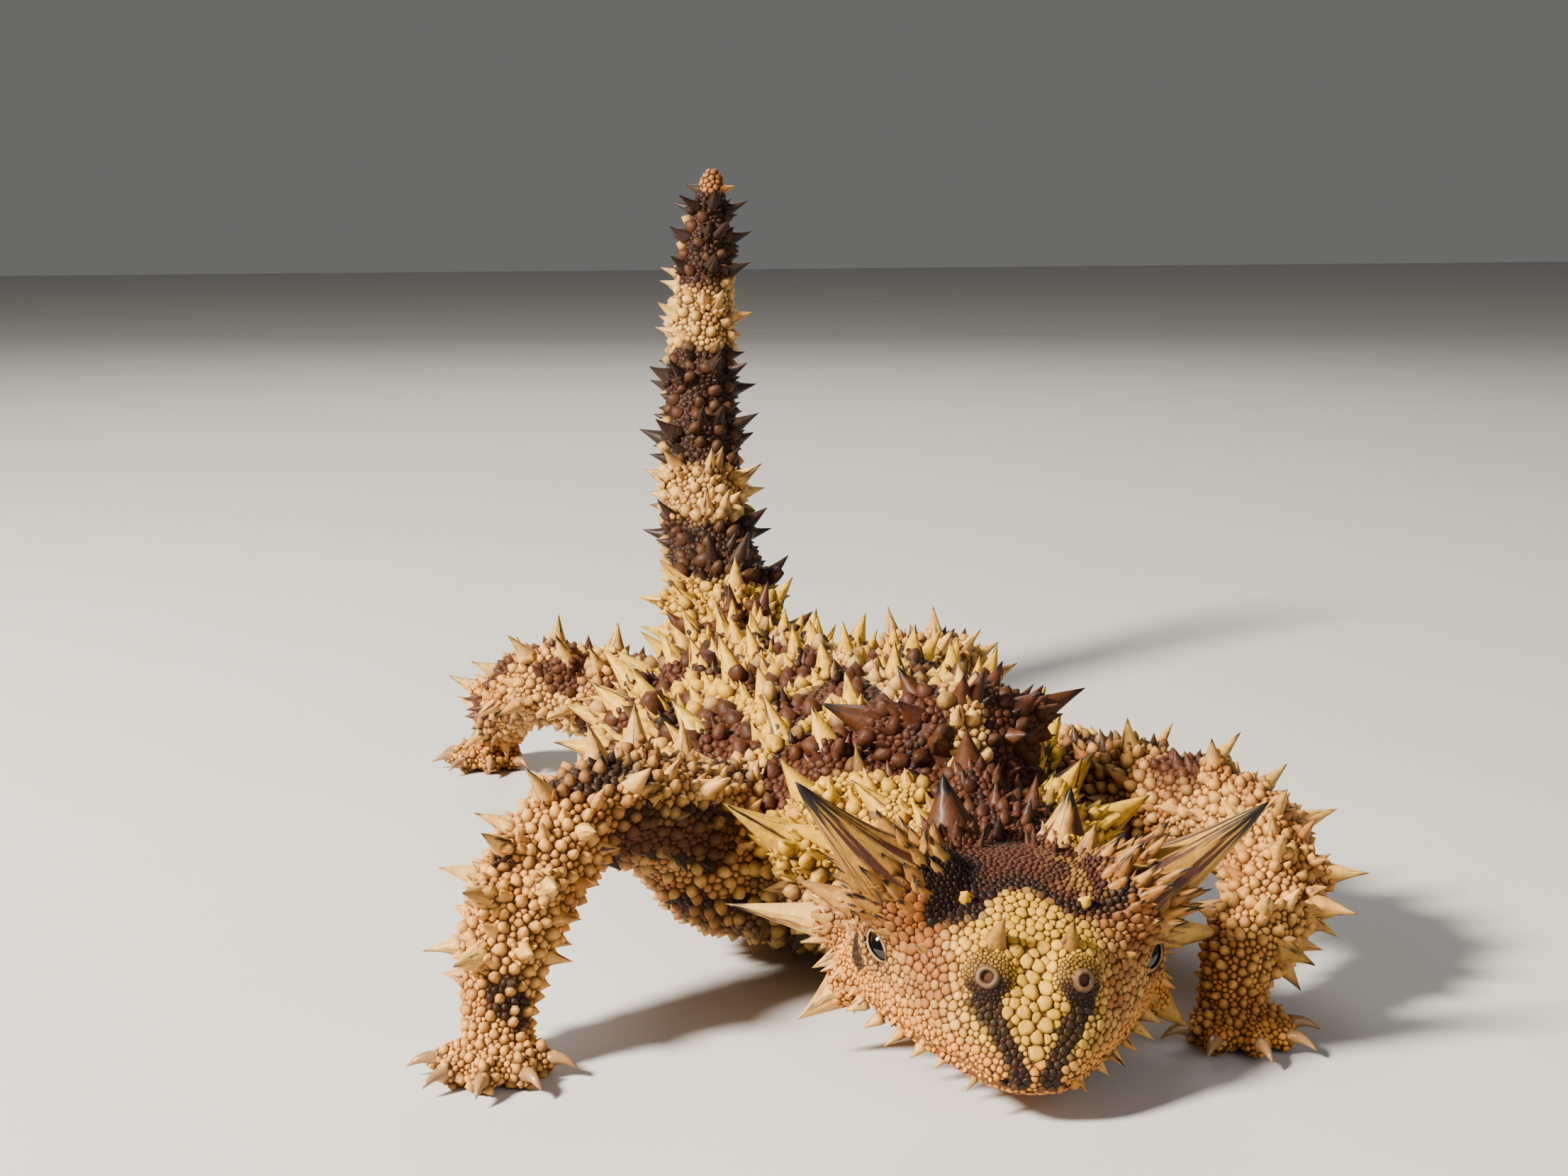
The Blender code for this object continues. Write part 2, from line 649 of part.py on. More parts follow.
def mound(side):
    """Return the raised root that carries a horn, with a flat top."""
    brow, aim, _ = horn_axis(side)
    mesh_edit = bmesh.new()
    loops = []
    for height, radius in ((-3.0, 3.5), (0.0, 3.3), (HORN_START - GAP, 2.5)):
        ring = bmesh.ops.create_circle(mesh_edit, segments=12, radius=radius)["verts"]
        matrix = Matrix.Translation(brow + aim * height) @ turn_to(aim)
        bmesh.ops.transform(mesh_edit, matrix=matrix, verts=ring)
        loops.append(loop_edges(ring))
    close_loops(mesh_edit, loops)
    return mesh_edit


def make_horn(name, side):
    """Make a brow horn: a long cone that curves up a little towards its tip."""
    brow, aim, length = horn_axis(side)
    mesh_edit = bmesh.new()
    loops = []
    for share, radius in ((0.0, 1.0), (0.3, 0.74), (0.6, 0.46), (0.85, 0.2), (1.0, 0.05)):
        ring = bmesh.ops.create_circle(mesh_edit, segments=10, radius=HORN_RADIUS * radius)["verts"]
        rise = Vector((0, 0.4, 0.9)) * share * (1 - share) * -1.2
        spot = brow + aim * (HORN_START + (length - HORN_START) * share) + rise
        matrix = Matrix.Translation(spot) @ turn_to(aim)
        bmesh.ops.transform(mesh_edit, matrix=matrix, verts=ring)
        loops.append(loop_edges(ring))
    close_loops(mesh_edit, loops)
    return in_head(name, mesh_edit, "horn", 0.5)


def make_eye(name, side):
    """Make an eyeball."""
    return in_head(name, ball(head_point(EYE_CENTRE, side), [EYE_RADIUS] * 3, across=12, rings=8), "eye", 0.12)


def make_head(space):
    """Make the head with its lids, nostrils, ear cups, lips and thorns."""
    head = in_head("head", head_shell())
    placed = head_matrix()
    added = [in_head("lip", mouth_tube(0.55, 0.42)), in_head("lip", mouth_tube(-0.6, 0.42))]
    cuts = [in_head("mouth", mouth_tube(0.0, 0.32))]
    thorns = Thorns("head", space)
    for side in (-1, 1):
        eye = head_point(EYE_CENTRE, side)
        outward = Vector((side, -0.18, 0.1))
        lid_spot = eye + outward.normalized() * 1.35
        added.append(in_head("lids", hoop(lid_spot, outward, (1.35, 1.75), 0.55)))
        cuts.append(in_head("socket", ball(eye, [EYE_RADIUS + GAP] * 3, across=12, rings=8)))
        nostril, aim = head_point(NOSTRIL, side), head_point(NOSTRIL_AIM, side)
        added.append(in_head("nostril", hoop(nostril, aim, (0.95, 0.95), 0.5)))
        cuts.append(in_head("nostril_hole", ball(nostril, (0.55, 0.55, 1.4), turn_to(aim), 7, 6)))
        ear = head_point(EAR, side)
        added.append(in_head("ear_rim", hoop(ear, (side, 0.25, 0.0), (1.0, 1.2), 0.38, 9, 4)))
        cuts.append(in_head("ear_cup", ball(ear, [EAR_RADIUS] * 3, across=10, rings=6)))
        added.append(in_head("jowl", ball(head_point(JOWL_CENTRE, side), JOWL_RADII)))
        added.append(in_head("mound", mound(side)))
        for root, direction, length, radius in HEAD_THORNS:
            spot = placed @ head_point(root, side)
            thorns.add(spot, head_way(direction, side), length, radius)
        brow, horn_aim, _ = horn_axis(side)
        for degrees, reach, length in MOUND_THORNS:
            about = Matrix.Rotation(math.radians(degrees) * side, 3, horn_aim)
            outward = about @ Vector((0, 0, 1)).cross(horn_aim).normalized()
            spot = placed @ (brow + horn_aim * (reach - 0.6) + outward * 2.2)
            direction = placed.to_3x3() @ (outward * 0.7 + horn_aim)
            thorns.add(spot, direction, length, 0.9)
    combine(head, added + thorns.made, "UNION")
    combine(head, cuts, "DIFFERENCE")


def make_neck(path, space):
    """Make the neck with its long side thorns and the cones of the nape."""
    neck = to_object("neck", path.tube(0.0, NECK_END, 5, 20))
    thorns = Thorns("neck", space, path.cuts(0.0, NECK_END), ("torso",))
    thorns.both_sides(path, NECK_ROWS)
    root, outward, onward = path.surface(1.6, 90)
    thorns.add(root, outward + onward * 0.1, 4.2, 1.5)
    combine(neck, thorns.made, "UNION")


def cut_off(mesh_edit, point, inward):
    """Cut away all that lies behind a plane and close the cut."""
    geometry = list(mesh_edit.verts) + list(mesh_edit.edges) + list(mesh_edit.faces)
    cut = bmesh.ops.bisect_plane(mesh_edit, geom=geometry, plane_co=point, plane_no=inward, clear_inner=True)
    edge_loop = [item for item in cut["geom_cut"] if isinstance(item, bmesh.types.BMEdge)]
    if edge_loop:
        bmesh.ops.contextual_create(mesh_edit, geom=edge_loop)


def make_knob(path, space):
    """Return the knob behind the nape and its thorns."""
    centre = Vector(KNOB_CENTRE)
    knob = ball(centre, KNOB_RADII, across=16, rings=10)
    point, inward = path.cuts(NECK_END, TORSO_END)[0]
    cut_off(knob, point + inward * GAP, inward)
    thorns = Thorns("torso", space)
    for side in (-1, 1):
        for turn, rise, length, radius in KNOB_THORNS:
            turn, rise = math.radians(turn), math.radians(rise)
            level = math.cos(rise)
            way = Vector((side * level * math.cos(turn), level * math.sin(turn), math.sin(rise)))
            root = centre + Vector([a * b for a, b in zip(way, KNOB_RADII)])
            thorns.add(root - way * 0.3, way, length, radius)
    return [to_object("knob", knob)] + thorns.made


def make_torso(path, limbs, space):
    """Make the trunk with the knob, the roots of the limbs and its rows of thorns."""
    torso = to_object("torso", path.tube(NECK_END, TORSO_END, 15, 24), "trunk", 0.8)
    added = make_knob(path, space)
    added.append(to_object("breast", ball(BREAST_CENTRE, BREAST_RADII, across=20, rings=10)))
    for limb in limbs.values():
        added.append(to_object("root", limb.tube(0.0, LIMB_CUTS[0], 3, 12)))
    roots_beside = [f"root_{key}" for key in limbs]
    thorns = Thorns("torso", space, path.cuts(NECK_END, TORSO_END), ["neck", "tail_base", *roots_beside])
    thorns.both_sides(path, TORSO_ROWS)
    combine(torso, added + thorns.made, "UNION")


def make_tail(path, space):
    """Make the three lengths of the tail with their whorls of thorns."""
    spans = {
        "tail_base": (TORSO_END, TAIL_BASE_END, 6, 16),
        "tail_middle": (TAIL_BASE_END, TAIL_MIDDLE_END, 6, 14),
        "tail_tip": (TAIL_MIDDLE_END, TAIL_TIP_END, 6, 12),
    }
    for name, (first, last, rings, sides) in spans.items():
        tail = to_object(name, path.tube(first, last, rings, sides, blunt=name == "tail_tip"))
        thorns = Thorns(name, space, path.cuts(first, last), ("torso", *TAIL_WHORLS))
        places, pairs, length, radius = TAIL_WHORLS[name]
        for index, place in enumerate(places):
            for pair in range(pairs):
                degrees = 78 - pair * 150 / (pairs - 0.5) + (index % 2) * 12
                fade = 1.0 - 0.1 * pair
                row = (place, place, 1, degrees, length * fade, radius * fade, 0.3)
                thorns.both_sides(path, (row,))
        combine(tail, thorns.made, "UNION")


def make_limb(key, path, space):
    """Make the upper and lower lengths of a limb and its hand or foot."""
    kind, word = key.split("_")
    upper, lower, palm = (f"{name}_{word}" for name in LIMB_NAMES[kind])
    rows = ARM_ROWS if kind == "arm" else LEG_ROWS
    starts = (LIMB_CUTS[0], LIMB_CUTS[1])
    for name, first, last in zip((upper, lower), starts, LIMB_CUTS[1:]):
        length = to_object(name, path.tube(first, last, 5, 12))
        thorns = Thorns(name, space, path.cuts(first, last), (upper, lower, palm, f"root_{key}"))
        for row in rows:
            if first < row[0] < last:
                thorns.row(path, *row)
        combine(length, thorns.made, "UNION")
    make_palm(palm, path, -1 if word == "right" else 1, HEADINGS[key])


def make_palm(name, path, side, heading):
    """Make a hand or foot: a low pad with five clawed digits and a flat sole."""
    palm = to_object(name, path.tube(LIMB_CUTS[2], LIMB_END, 2, 12))
    end = path.centre(LIMB_END)
    ahead = Vector((math.sin(heading), -math.cos(heading), 0))
    middle = Vector((end.x, end.y, 1.25)) + ahead * 0.6
    pieces = [to_object("pad", ball(middle, (2.4, 2.4, 1.6), across=12, rings=6))]
    for degrees, length in zip(DIGIT_TURNS, DIGIT_LENGTHS):
        way = Matrix.Rotation(math.radians(degrees) * side, 3, "Z") @ ahead
        start = middle + way * 1.4
        stop = middle + way * (2.1 + length) + Vector((0, 0, -0.45))
        pieces.append(digit(start, stop))
        claw_way = (way + Vector((0, 0, -0.06))).normalized()
        pieces.append(thorn(stop + Vector((0, 0, 0.15)), claw_way, CLAW_LENGTH, 0.6, Vector((0, 0, -0.12)), 4))
    combine(palm, pieces, "UNION")
    floor = bmesh.new()
    bmesh.ops.create_cube(floor, size=40.0)
    bmesh.ops.translate(floor, verts=floor.verts, vec=(middle.x, middle.y, -20.0))
    combine(palm, [to_object("floor", floor)], "DIFFERENCE")


def digit(start, stop):
    """Return one toe: a short tapered finger with a rounded end."""
    mesh_edit = bmesh.new()
    loops = []
    way = stop - start
    for share, radius in ((0.0, 1.0), (0.75, 0.85), (1.0, 0.55)):
        ring = bmesh.ops.create_circle(mesh_edit, segments=6, radius=radius)["verts"]
        matrix = Matrix.Translation(start + way * share) @ turn_to(way)
        bmesh.ops.transform(mesh_edit, matrix=matrix, verts=ring)
        loops.append(loop_edges(ring))
    close_loops(mesh_edit, loops)
    return to_object("digit", mesh_edit)


def bend_side(stations):
    """Return the normal of a limb's plane, chosen so that up is outside the bend."""
    root, joint, end = (Vector(stations[index][:3]) for index in (1, 3, 5))
    normal = (joint - root).cross(end - joint).normalized()
    outside = joint - (root + end) / 2
    onward = (end - root).normalized()
    return normal if normal.cross(onward).dot(outside) > 0 else -normal


def fill_space(space, spine, limbs):
    """Mark the space of every node's plain form before the thorns are set."""
    cuts = (0.0, NECK_END, TORSO_END, TAIL_BASE_END, TAIL_MIDDLE_END, TAIL_TIP_END)
    for name, first, last in zip(("neck", "torso", *TAIL_WHORLS), cuts, cuts[1:]):
        space.fill_path(name, spine, first, last)
    for key, path in limbs.items():
        kind, word = key.split("_")
        cuts = (0.0, *LIMB_CUTS, LIMB_END)
        nodes = [f"root_{key}"] + [f"{name}_{word}" for name in LIMB_NAMES[kind]]
        for name, first, last in zip(nodes, cuts, cuts[1:]):
            space.fill_path(name, path, first, last)
    space.fill_oval("torso", Vector(KNOB_CENTRE), Vector((1, 0, 0)), KNOB_RADII[0], KNOB_RADII[1])
    placed = head_matrix()
    across = placed.to_3x3() @ Vector((1, 0, 0))
    for forward, width, top, _, bottom in HEAD[1:]:
        centre = placed @ Vector((0, -forward, (top + bottom) / 2))
        space.fill_oval("head", centre, across, width, (top - bottom) / 2)
    for side, word in ((-1, "right"), (1, "left")):
        space.fill("head", placed @ head_point(JOWL_CENTRE, side), JOWL_RADII[2])
        brow, aim, length = horn_axis(side)
        for share in (0.3, 0.45, 0.6, 0.75, 0.9, 1.0):
            space.fill(f"horn_{word}", placed @ (brow + aim * length * share), HORN_RADIUS * (1.1 - share))


def stand_on_origin(parts):
    """Hold every part by one empty set so that their box stands on the origin."""
    corners = [part.matrix_world @ Vector(corner) for part in parts for corner in part.bound_box]
    middle = [
        (min(corner[axis] for corner in corners) + max(corner[axis] for corner in corners)) / 2
        for axis in (0, 1)
    ]
    holder = bpy.data.objects.new("thorny_devil", None)
    bpy.context.scene.collection.objects.link(holder)
    for part in parts:
        part.parent = holder
    holder.location = (-middle[0], -middle[1], 0)


def main():
    """Clear the scene and make every part of the animal."""
    for old in list(bpy.data.objects):
        bpy.data.objects.remove(old)
    spine = BodyPath(spine_stations(), (1, 0, 0))
    limbs = {
        "arm_right": BodyPath(ARM_RIGHT, bend_side(ARM_RIGHT)),
        "arm_left": BodyPath(ARM_LEFT, bend_side(ARM_LEFT)),
        "leg_right": BodyPath(LEG_RIGHT, bend_side(LEG_RIGHT)),
        "leg_left": BodyPath(LEG_LEFT, bend_side(LEG_LEFT)),
    }
    space = Space()
    fill_space(space, spine, limbs)
    make_head(space)
    for side, word in ((-1, "right"), (1, "left")):
        make_eye(f"eye_{word}", side)
        make_horn(f"horn_{word}", side)
    make_neck(spine, space)
    make_torso(spine, limbs, space)
    make_tail(spine, space)
    for key, path in limbs.items():
        make_limb(key, path, space)
    bpy.context.view_layer.update()
    stand_on_origin([made for made in bpy.data.objects if made.type == "MESH"])


main()
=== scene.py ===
"""Thorny devil (Moloch horridus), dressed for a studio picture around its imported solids.

The forms are worked out in millimetres in the frame of the tables below: the animal
faces -Y, its left side is +X and its feet stand on z = 0. Each piece is moved onto
the solids and into metres when its mesh is finished.
"""

import logging
import math
import random
from collections.abc import Callable
from dataclasses import dataclass, field
from enum import Enum

import bmesh
import bpy
import numpy as np
from mathutils import Matrix, Vector
from mathutils.bvhtree import BVHTree
from mathutils.kdtree import KDTree


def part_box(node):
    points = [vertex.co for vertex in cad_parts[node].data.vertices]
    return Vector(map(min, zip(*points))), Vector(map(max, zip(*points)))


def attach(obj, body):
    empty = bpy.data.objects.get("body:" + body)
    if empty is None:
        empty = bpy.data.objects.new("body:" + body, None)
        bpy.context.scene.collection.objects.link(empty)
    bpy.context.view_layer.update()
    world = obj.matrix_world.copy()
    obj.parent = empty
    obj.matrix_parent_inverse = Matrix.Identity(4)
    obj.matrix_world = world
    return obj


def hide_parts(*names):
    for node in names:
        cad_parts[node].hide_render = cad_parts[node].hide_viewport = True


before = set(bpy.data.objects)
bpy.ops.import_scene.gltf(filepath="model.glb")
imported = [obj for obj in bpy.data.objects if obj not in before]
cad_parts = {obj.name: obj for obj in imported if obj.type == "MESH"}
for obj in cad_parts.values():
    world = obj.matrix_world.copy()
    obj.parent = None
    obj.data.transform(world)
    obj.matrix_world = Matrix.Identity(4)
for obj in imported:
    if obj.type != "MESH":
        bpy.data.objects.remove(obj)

LOG = logging.getLogger("thorny_devil")
MM = 0.001
SEED = 11
# The radius of one scale's patch on the bake map, in shares of the map's width.
PATCH = 0.0014
# The skin's tone and its share of the crease colour: painted shade, because the skin shows only in the creases
# between the scales.
SKIN_TONE_AND_CREASE_SHADE = (0.3, 0.88)
# The height that the skin and its scales keep above the floor.
FLOOR_GAP = 0.02
# The places along the trunk's path where the neck ends, and where the trunk ends and the tail begins.
NECK_END = 4.0
TAIL_START = 10.9
# The lengths from which a thorn is one of the main ones, and from which its foot is drawn from the skin.
MAIN_THORN = 1.9
FOOTED_THORN = 2.9
# The triangles that one piece of a coat may have.
MOST_TRIANGLES = 195000
RIGHT, LEFT = -1, 1
SIDES = ((RIGHT, "right"), (LEFT, "left"))
Sizes = tuple[float, ...]
Span = tuple[float, float]
Rows = tuple[Sizes, ...]
Array = np.ndarray
Mesh = bpy.types.Mesh
MeshEdit = bmesh.types.BMesh
Piece = bpy.types.Object
Material = bpy.types.Material
Node, NodeTree, Socket = bpy.types.Node, bpy.types.NodeTree, bpy.types.NodeSocket


class Part(Enum):
    """The parts of the body that markings and scales tell apart."""

    HEAD = 0
    TRUNK = 1
    ARM_RIGHT = 2
    ARM_LEFT = 3
    LEG_RIGHT = 4
    LEG_LEFT = 5


class Hue(Enum):
    """What a thorn is coloured like: rust, gold, dark, pink and tan, or nothing for the skin's own marks."""

    SKIN = ()
    CREAM = (0.0, 0.08, 0.0, 0.0, 0.0)
    GOLD = (0.0, 0.92, 0.0, 0.0, 0.0)
    RUST = (0.92, 0.0, 0.15, 0.0, 0.6)
    BROWN = (0.12, 0.15, 0.06, 0.0, 1.0)
    OCHRE = (0.25, 0.45, 0.25, 0.0, 1.0)


def unit(vectors: Array) -> Array:
    """Return vectors of length one along the last axis."""
    return vectors / np.maximum(np.linalg.norm(vectors, axis=-1, keepdims=True), 1e-9)


def smooth_rows(rows: Array, places: Array) -> Array:
    """Read a Catmull-Rom curve through rows.

    Args:
        rows: One row of values for each station.
        places: Fractional station numbers.

    Returns:
        One row of values for each place.
    """
    last = len(rows) - 1
    padded = np.vstack([2 * rows[0] - rows[1], rows, 2 * rows[-1] - rows[-2]])
    index = np.clip(np.floor(places).astype(int), 0, last - 1)
    t = (places - index)[:, None]
    a, b, c, d = (padded[index + step] for step in range(4))
    return 0.5 * (2 * b + (c - a) * t + (2 * a - 5 * b + 4 * c - d) * t**2 + (3 * b - a - 3 * c + d) * t**3)


def ramp(values: Array, low: float, high: float) -> Array:
    """Return a smooth step from 0 at low to 1 at high."""
    t = np.clip((values - low) / (high - low), 0.0, 1.0)
    return t * t * (3 - 2 * t)


def curve(values: Array, rows: Rows) -> Array:
    """Read straight lines through rows of a place and its value."""
    return np.interp(values, *np.array(rows).T)


def turn_to(direction: Vector) -> Matrix:
    """Return the rotation that carries +Z onto a direction."""
    return Vector(direction).to_track_quat("Z", "Y").to_matrix().to_4x4()


def read_rows(items: object, name: str, width: int = 3, kind: type = float) -> Array:
    """Read one property of all vertices, edges or triangles of a mesh.

    Args:
        items: The mesh's vertices, edges or triangles.
        name: The property's name.
        width: How many numbers each item has.
        kind: The numbers' type.

    Returns:
        One row for each item.
    """
    values = np.empty(len(items) * width, kind)
    items.foreach_get(name, values)
    return values.reshape(-1, width)


def into_frame(matrix: Matrix, points: Array) -> Array:
    """Return points as they are seen from the place that a matrix gives."""
    inverse = np.array(matrix.inverted())
    return points @ inverse[:3, :3].T + inverse[:3, 3]


def line_distance(points: Array, start: Array, stop: Array) -> Array:
    """Return how far points lie from the straight line between two ends.

    Args:
        points: The points, one a row.
        start: One end of the line.
        stop: The other end.

    Returns:
        The distance of each point.
    """
    line = stop - start
    share = np.clip((points - start) @ line / (line @ line), 0.0, 1.0)
    return np.linalg.norm(points - start - share[:, None] * line, axis=1)


def point_tree(points: list) -> KDTree:
    """Return a search tree of points.

    Args:
        points: The points, one a row.

    Returns:
        The tree, balanced.
    """
    tree = KDTree(len(points))
    for index, point in enumerate(points):
        tree.insert(point, index)
    tree.balance()
    return tree


def dots(first: Array, second: Array) -> Array:
    """Return the dot product of each vector with each of its own row of vectors."""
    return np.einsum("ik,ijk->ij", first, second)


def loop_edges(vertices: list) -> list:
    """Return the edges of the loop that the vertices form."""
    return list({edge for vertex in vertices for edge in vertex.link_edges})


def close_loops(mesh_edit: MeshEdit, loops: list) -> None:
    """Bridge each loop to the next one and fill the first and last.

    Args:
        mesh_edit: The mesh that holds the loops.
        loops: Lists of edges, one for each ring.
    """
    for lower, upper in zip(loops, loops[1:]):
        bmesh.ops.bridge_loops(mesh_edit, edges=lower + upper)
    for loop in (loops[0], loops[-1]):
        bmesh.ops.contextual_create(mesh_edit, geom=loop)


def spin_round(mesh_edit: MeshEdit, steps: int) -> None:
    """Spin the section in a mesh round the Z axis in the given number of steps.

    Args:
        mesh_edit: The mesh to change.
        steps: How many steps there are.
    """
    geometry = list(mesh_edit.verts) + list(mesh_edit.edges)
    turn = {"axis": (0, 0, 1), "cent": (0, 0, 0), "angle": math.tau}
    bmesh.ops.spin(mesh_edit, geom=geometry, steps=steps, use_merge=True, **turn)


def add_ring(mesh_edit: MeshEdit, matrix: Matrix, radius: float, sides: int) -> list:
    """Add a ring of vertices and return its edges.

    Args:
        mesh_edit: The mesh that gets the ring.
        matrix: The place of the ring, with its axis along Z.
        radius: Its radius.
        sides: Its number of sides.

    Returns:
        The ring's edges.
    """
    ring = bmesh.ops.create_circle(mesh_edit, segments=sides, radius=radius)["verts"]
    bmesh.ops.transform(mesh_edit, matrix=matrix, verts=ring)
    return loop_edges(ring)


def add_taper(
    mesh_edit: MeshEdit, points: list[Vector], radii: list[float], sides: int, aim: Vector | None = None
) -> None:
    """Add a closed tube of changing radius along points.

    Args:
        mesh_edit: The mesh that gets the tube.
        points: The middle of each ring.
        radii: The radius of each ring.
        sides: Its number of sides.
        aim: The axis of every ring, or None where each follows the points.
    """
    loops = []
    for index, (point, radius) in enumerate(zip(points, radii)):
        along = aim or points[min(index + 1, len(points) - 1)] - points[max(index - 1, 0)]
        loops.append(add_ring(mesh_edit, Matrix.Translation(point) @ turn_to(along), radius, sides))
    close_loops(mesh_edit, loops)


def add_ball(mesh_edit: MeshEdit, matrix: Matrix, radii: Sizes, across: int = 20) -> None:
    """Add an ellipsoid.

    Args:
        mesh_edit: The mesh that gets it.
        matrix: Its place.
        radii: Its three radii.
        across: Its number of sides.
    """
    matrix = matrix @ Matrix.Diagonal((*radii, 1.0))
    bmesh.ops.create_uvsphere(mesh_edit, u_segments=across, v_segments=across // 2, radius=1.0, matrix=matrix)


@dataclass
class Placement:
    """Where the tables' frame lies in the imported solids."""

    shift: Vector = field(default_factory=Vector)

    def finish(self, mesh: Mesh, name: str, slot: str, finish: Material) -> Piece:
        """Move a mesh in millimetres onto the solids and make it a piece.

        Args:
            mesh: The mesh in the tables' frame.
            name: The piece's name.
            slot: Not used.
            finish: Its material.

        Returns:
            The piece, at the origin.
        """
        mesh.transform(Matrix.Scale(MM, 4) @ Matrix.Translation(self.shift))
        mesh.materials.clear()
        mesh.materials.append(finish)
        mesh.shade_smooth()
        made = bpy.data.objects.new(name, mesh)
        bpy.context.scene.collection.objects.link(made)
        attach(made, "root")
        LOG.info("%s: %d faces", name, len(mesh.polygons))
        return made

    def finish_edit(
        self, mesh_edit: MeshEdit, name: str, slot: str, finish: Material
    ) -> Piece:
        """Turn a bmesh in millimetres into a piece with its faces outward.

        Args:
            mesh_edit: The mesh to change.
            name: The piece's name.
            slot: Not used.
            finish: The material.

        Returns:
            The new piece.
        """
        bmesh.ops.recalc_face_normals(mesh_edit, faces=mesh_edit.faces)
        mesh = bpy.data.meshes.new(name)
        mesh_edit.to_mesh(mesh)
        mesh_edit.free()
        return self.finish(mesh, name, slot, finish)


@dataclass
class BodyPath:
    """A run of oval stations: x, y, z, half width and half height in millimetres."""

    stations: Array
    side_hint: Array
    blunt_end: Rows = ((0.35, 0.9), (0.65, 0.72), (0.85, 0.45), (0.95, 0.2))

    def at(self, places: Array) -> tuple[Array, Array, Array, Array]:
        """Read the path.

        Args:
            places: Fractional station numbers.

        Returns:
            The station rows and the side, up and onward directions.
        """
        places = np.atleast_1d(np.asarray(places, float))
        ahead, behind = (smooth_rows(self.stations, places + step)[:, :3] for step in (0.02, -0.02))
        onward = unit(ahead - behind)
        side = unit(self.side_hint - (onward @ self.side_hint)[:, None] * onward)
        return smooth_rows(self.stations, places), side, np.cross(side, onward), onward

    def surface(self, place: float, degrees: float) -> tuple[Vector, Vector, Vector]:
        """Return a surface point, its outward direction and the onward direction.

        Args:
            place: How far along the path it is.
            degrees: How far round the path it is.

        Returns:
            The point and both directions.
        """
        rows, side, up, onward = (value[0] for value in self.at(place))
        turn = math.radians(degrees)
        width, height = rows[3], rows[4]
        point = rows[:3] + side * math.cos(turn) * width + up * math.sin(turn) * height
        outward = side * math.cos(turn) / width + up * math.sin(turn) / height
        return Vector(point), Vector(outward).normalized(), Vector(onward)

    def add_tube(
        self, mesh_edit: MeshEdit, places: Array, sides: int, inset: float, blunt: bool = False
    ) -> None:
        """Add the closed tube through the stations.

        Args:
            mesh_edit: The mesh that gets it.
            places: Where its rings stand.
            sides: The number of sides.
            inset: How far the tube lies inside the stations' ovals.
            blunt: Whether its last end is rounded.
        """
        rows, side, up, onward = self.at(places)
        shares = np.ones(len(places))
        if blunt:
            radius = self.stations[-1][3]
            for reach, share in self.blunt_end:
                rows = np.vstack([rows, rows[-1]])
                rows[-1, :3] = rows[len(places) - 1, :3] + onward[-1] * radius * reach
                shares = np.append(shares, share)
        loops = []
        for index, (row, share) in enumerate(zip(rows, shares)):
            frame_at = min(index, len(side) - 1)
            axes = (side[frame_at], up[frame_at], onward[frame_at])
            matrix = Matrix([(*axis, 0.0) for axis in axes] + [(0.0, 0.0, 0.0, 1.0)]).transposed()
            matrix.translation = Vector(row[:3])
            matrix = matrix @ Matrix.Diagonal(((row[3] - inset) * share, (row[4] - inset) * share, 1.0, 1.0))
            loops.append(add_ring(mesh_edit, matrix, 1.0, sides))
        close_loops(mesh_edit, loops)


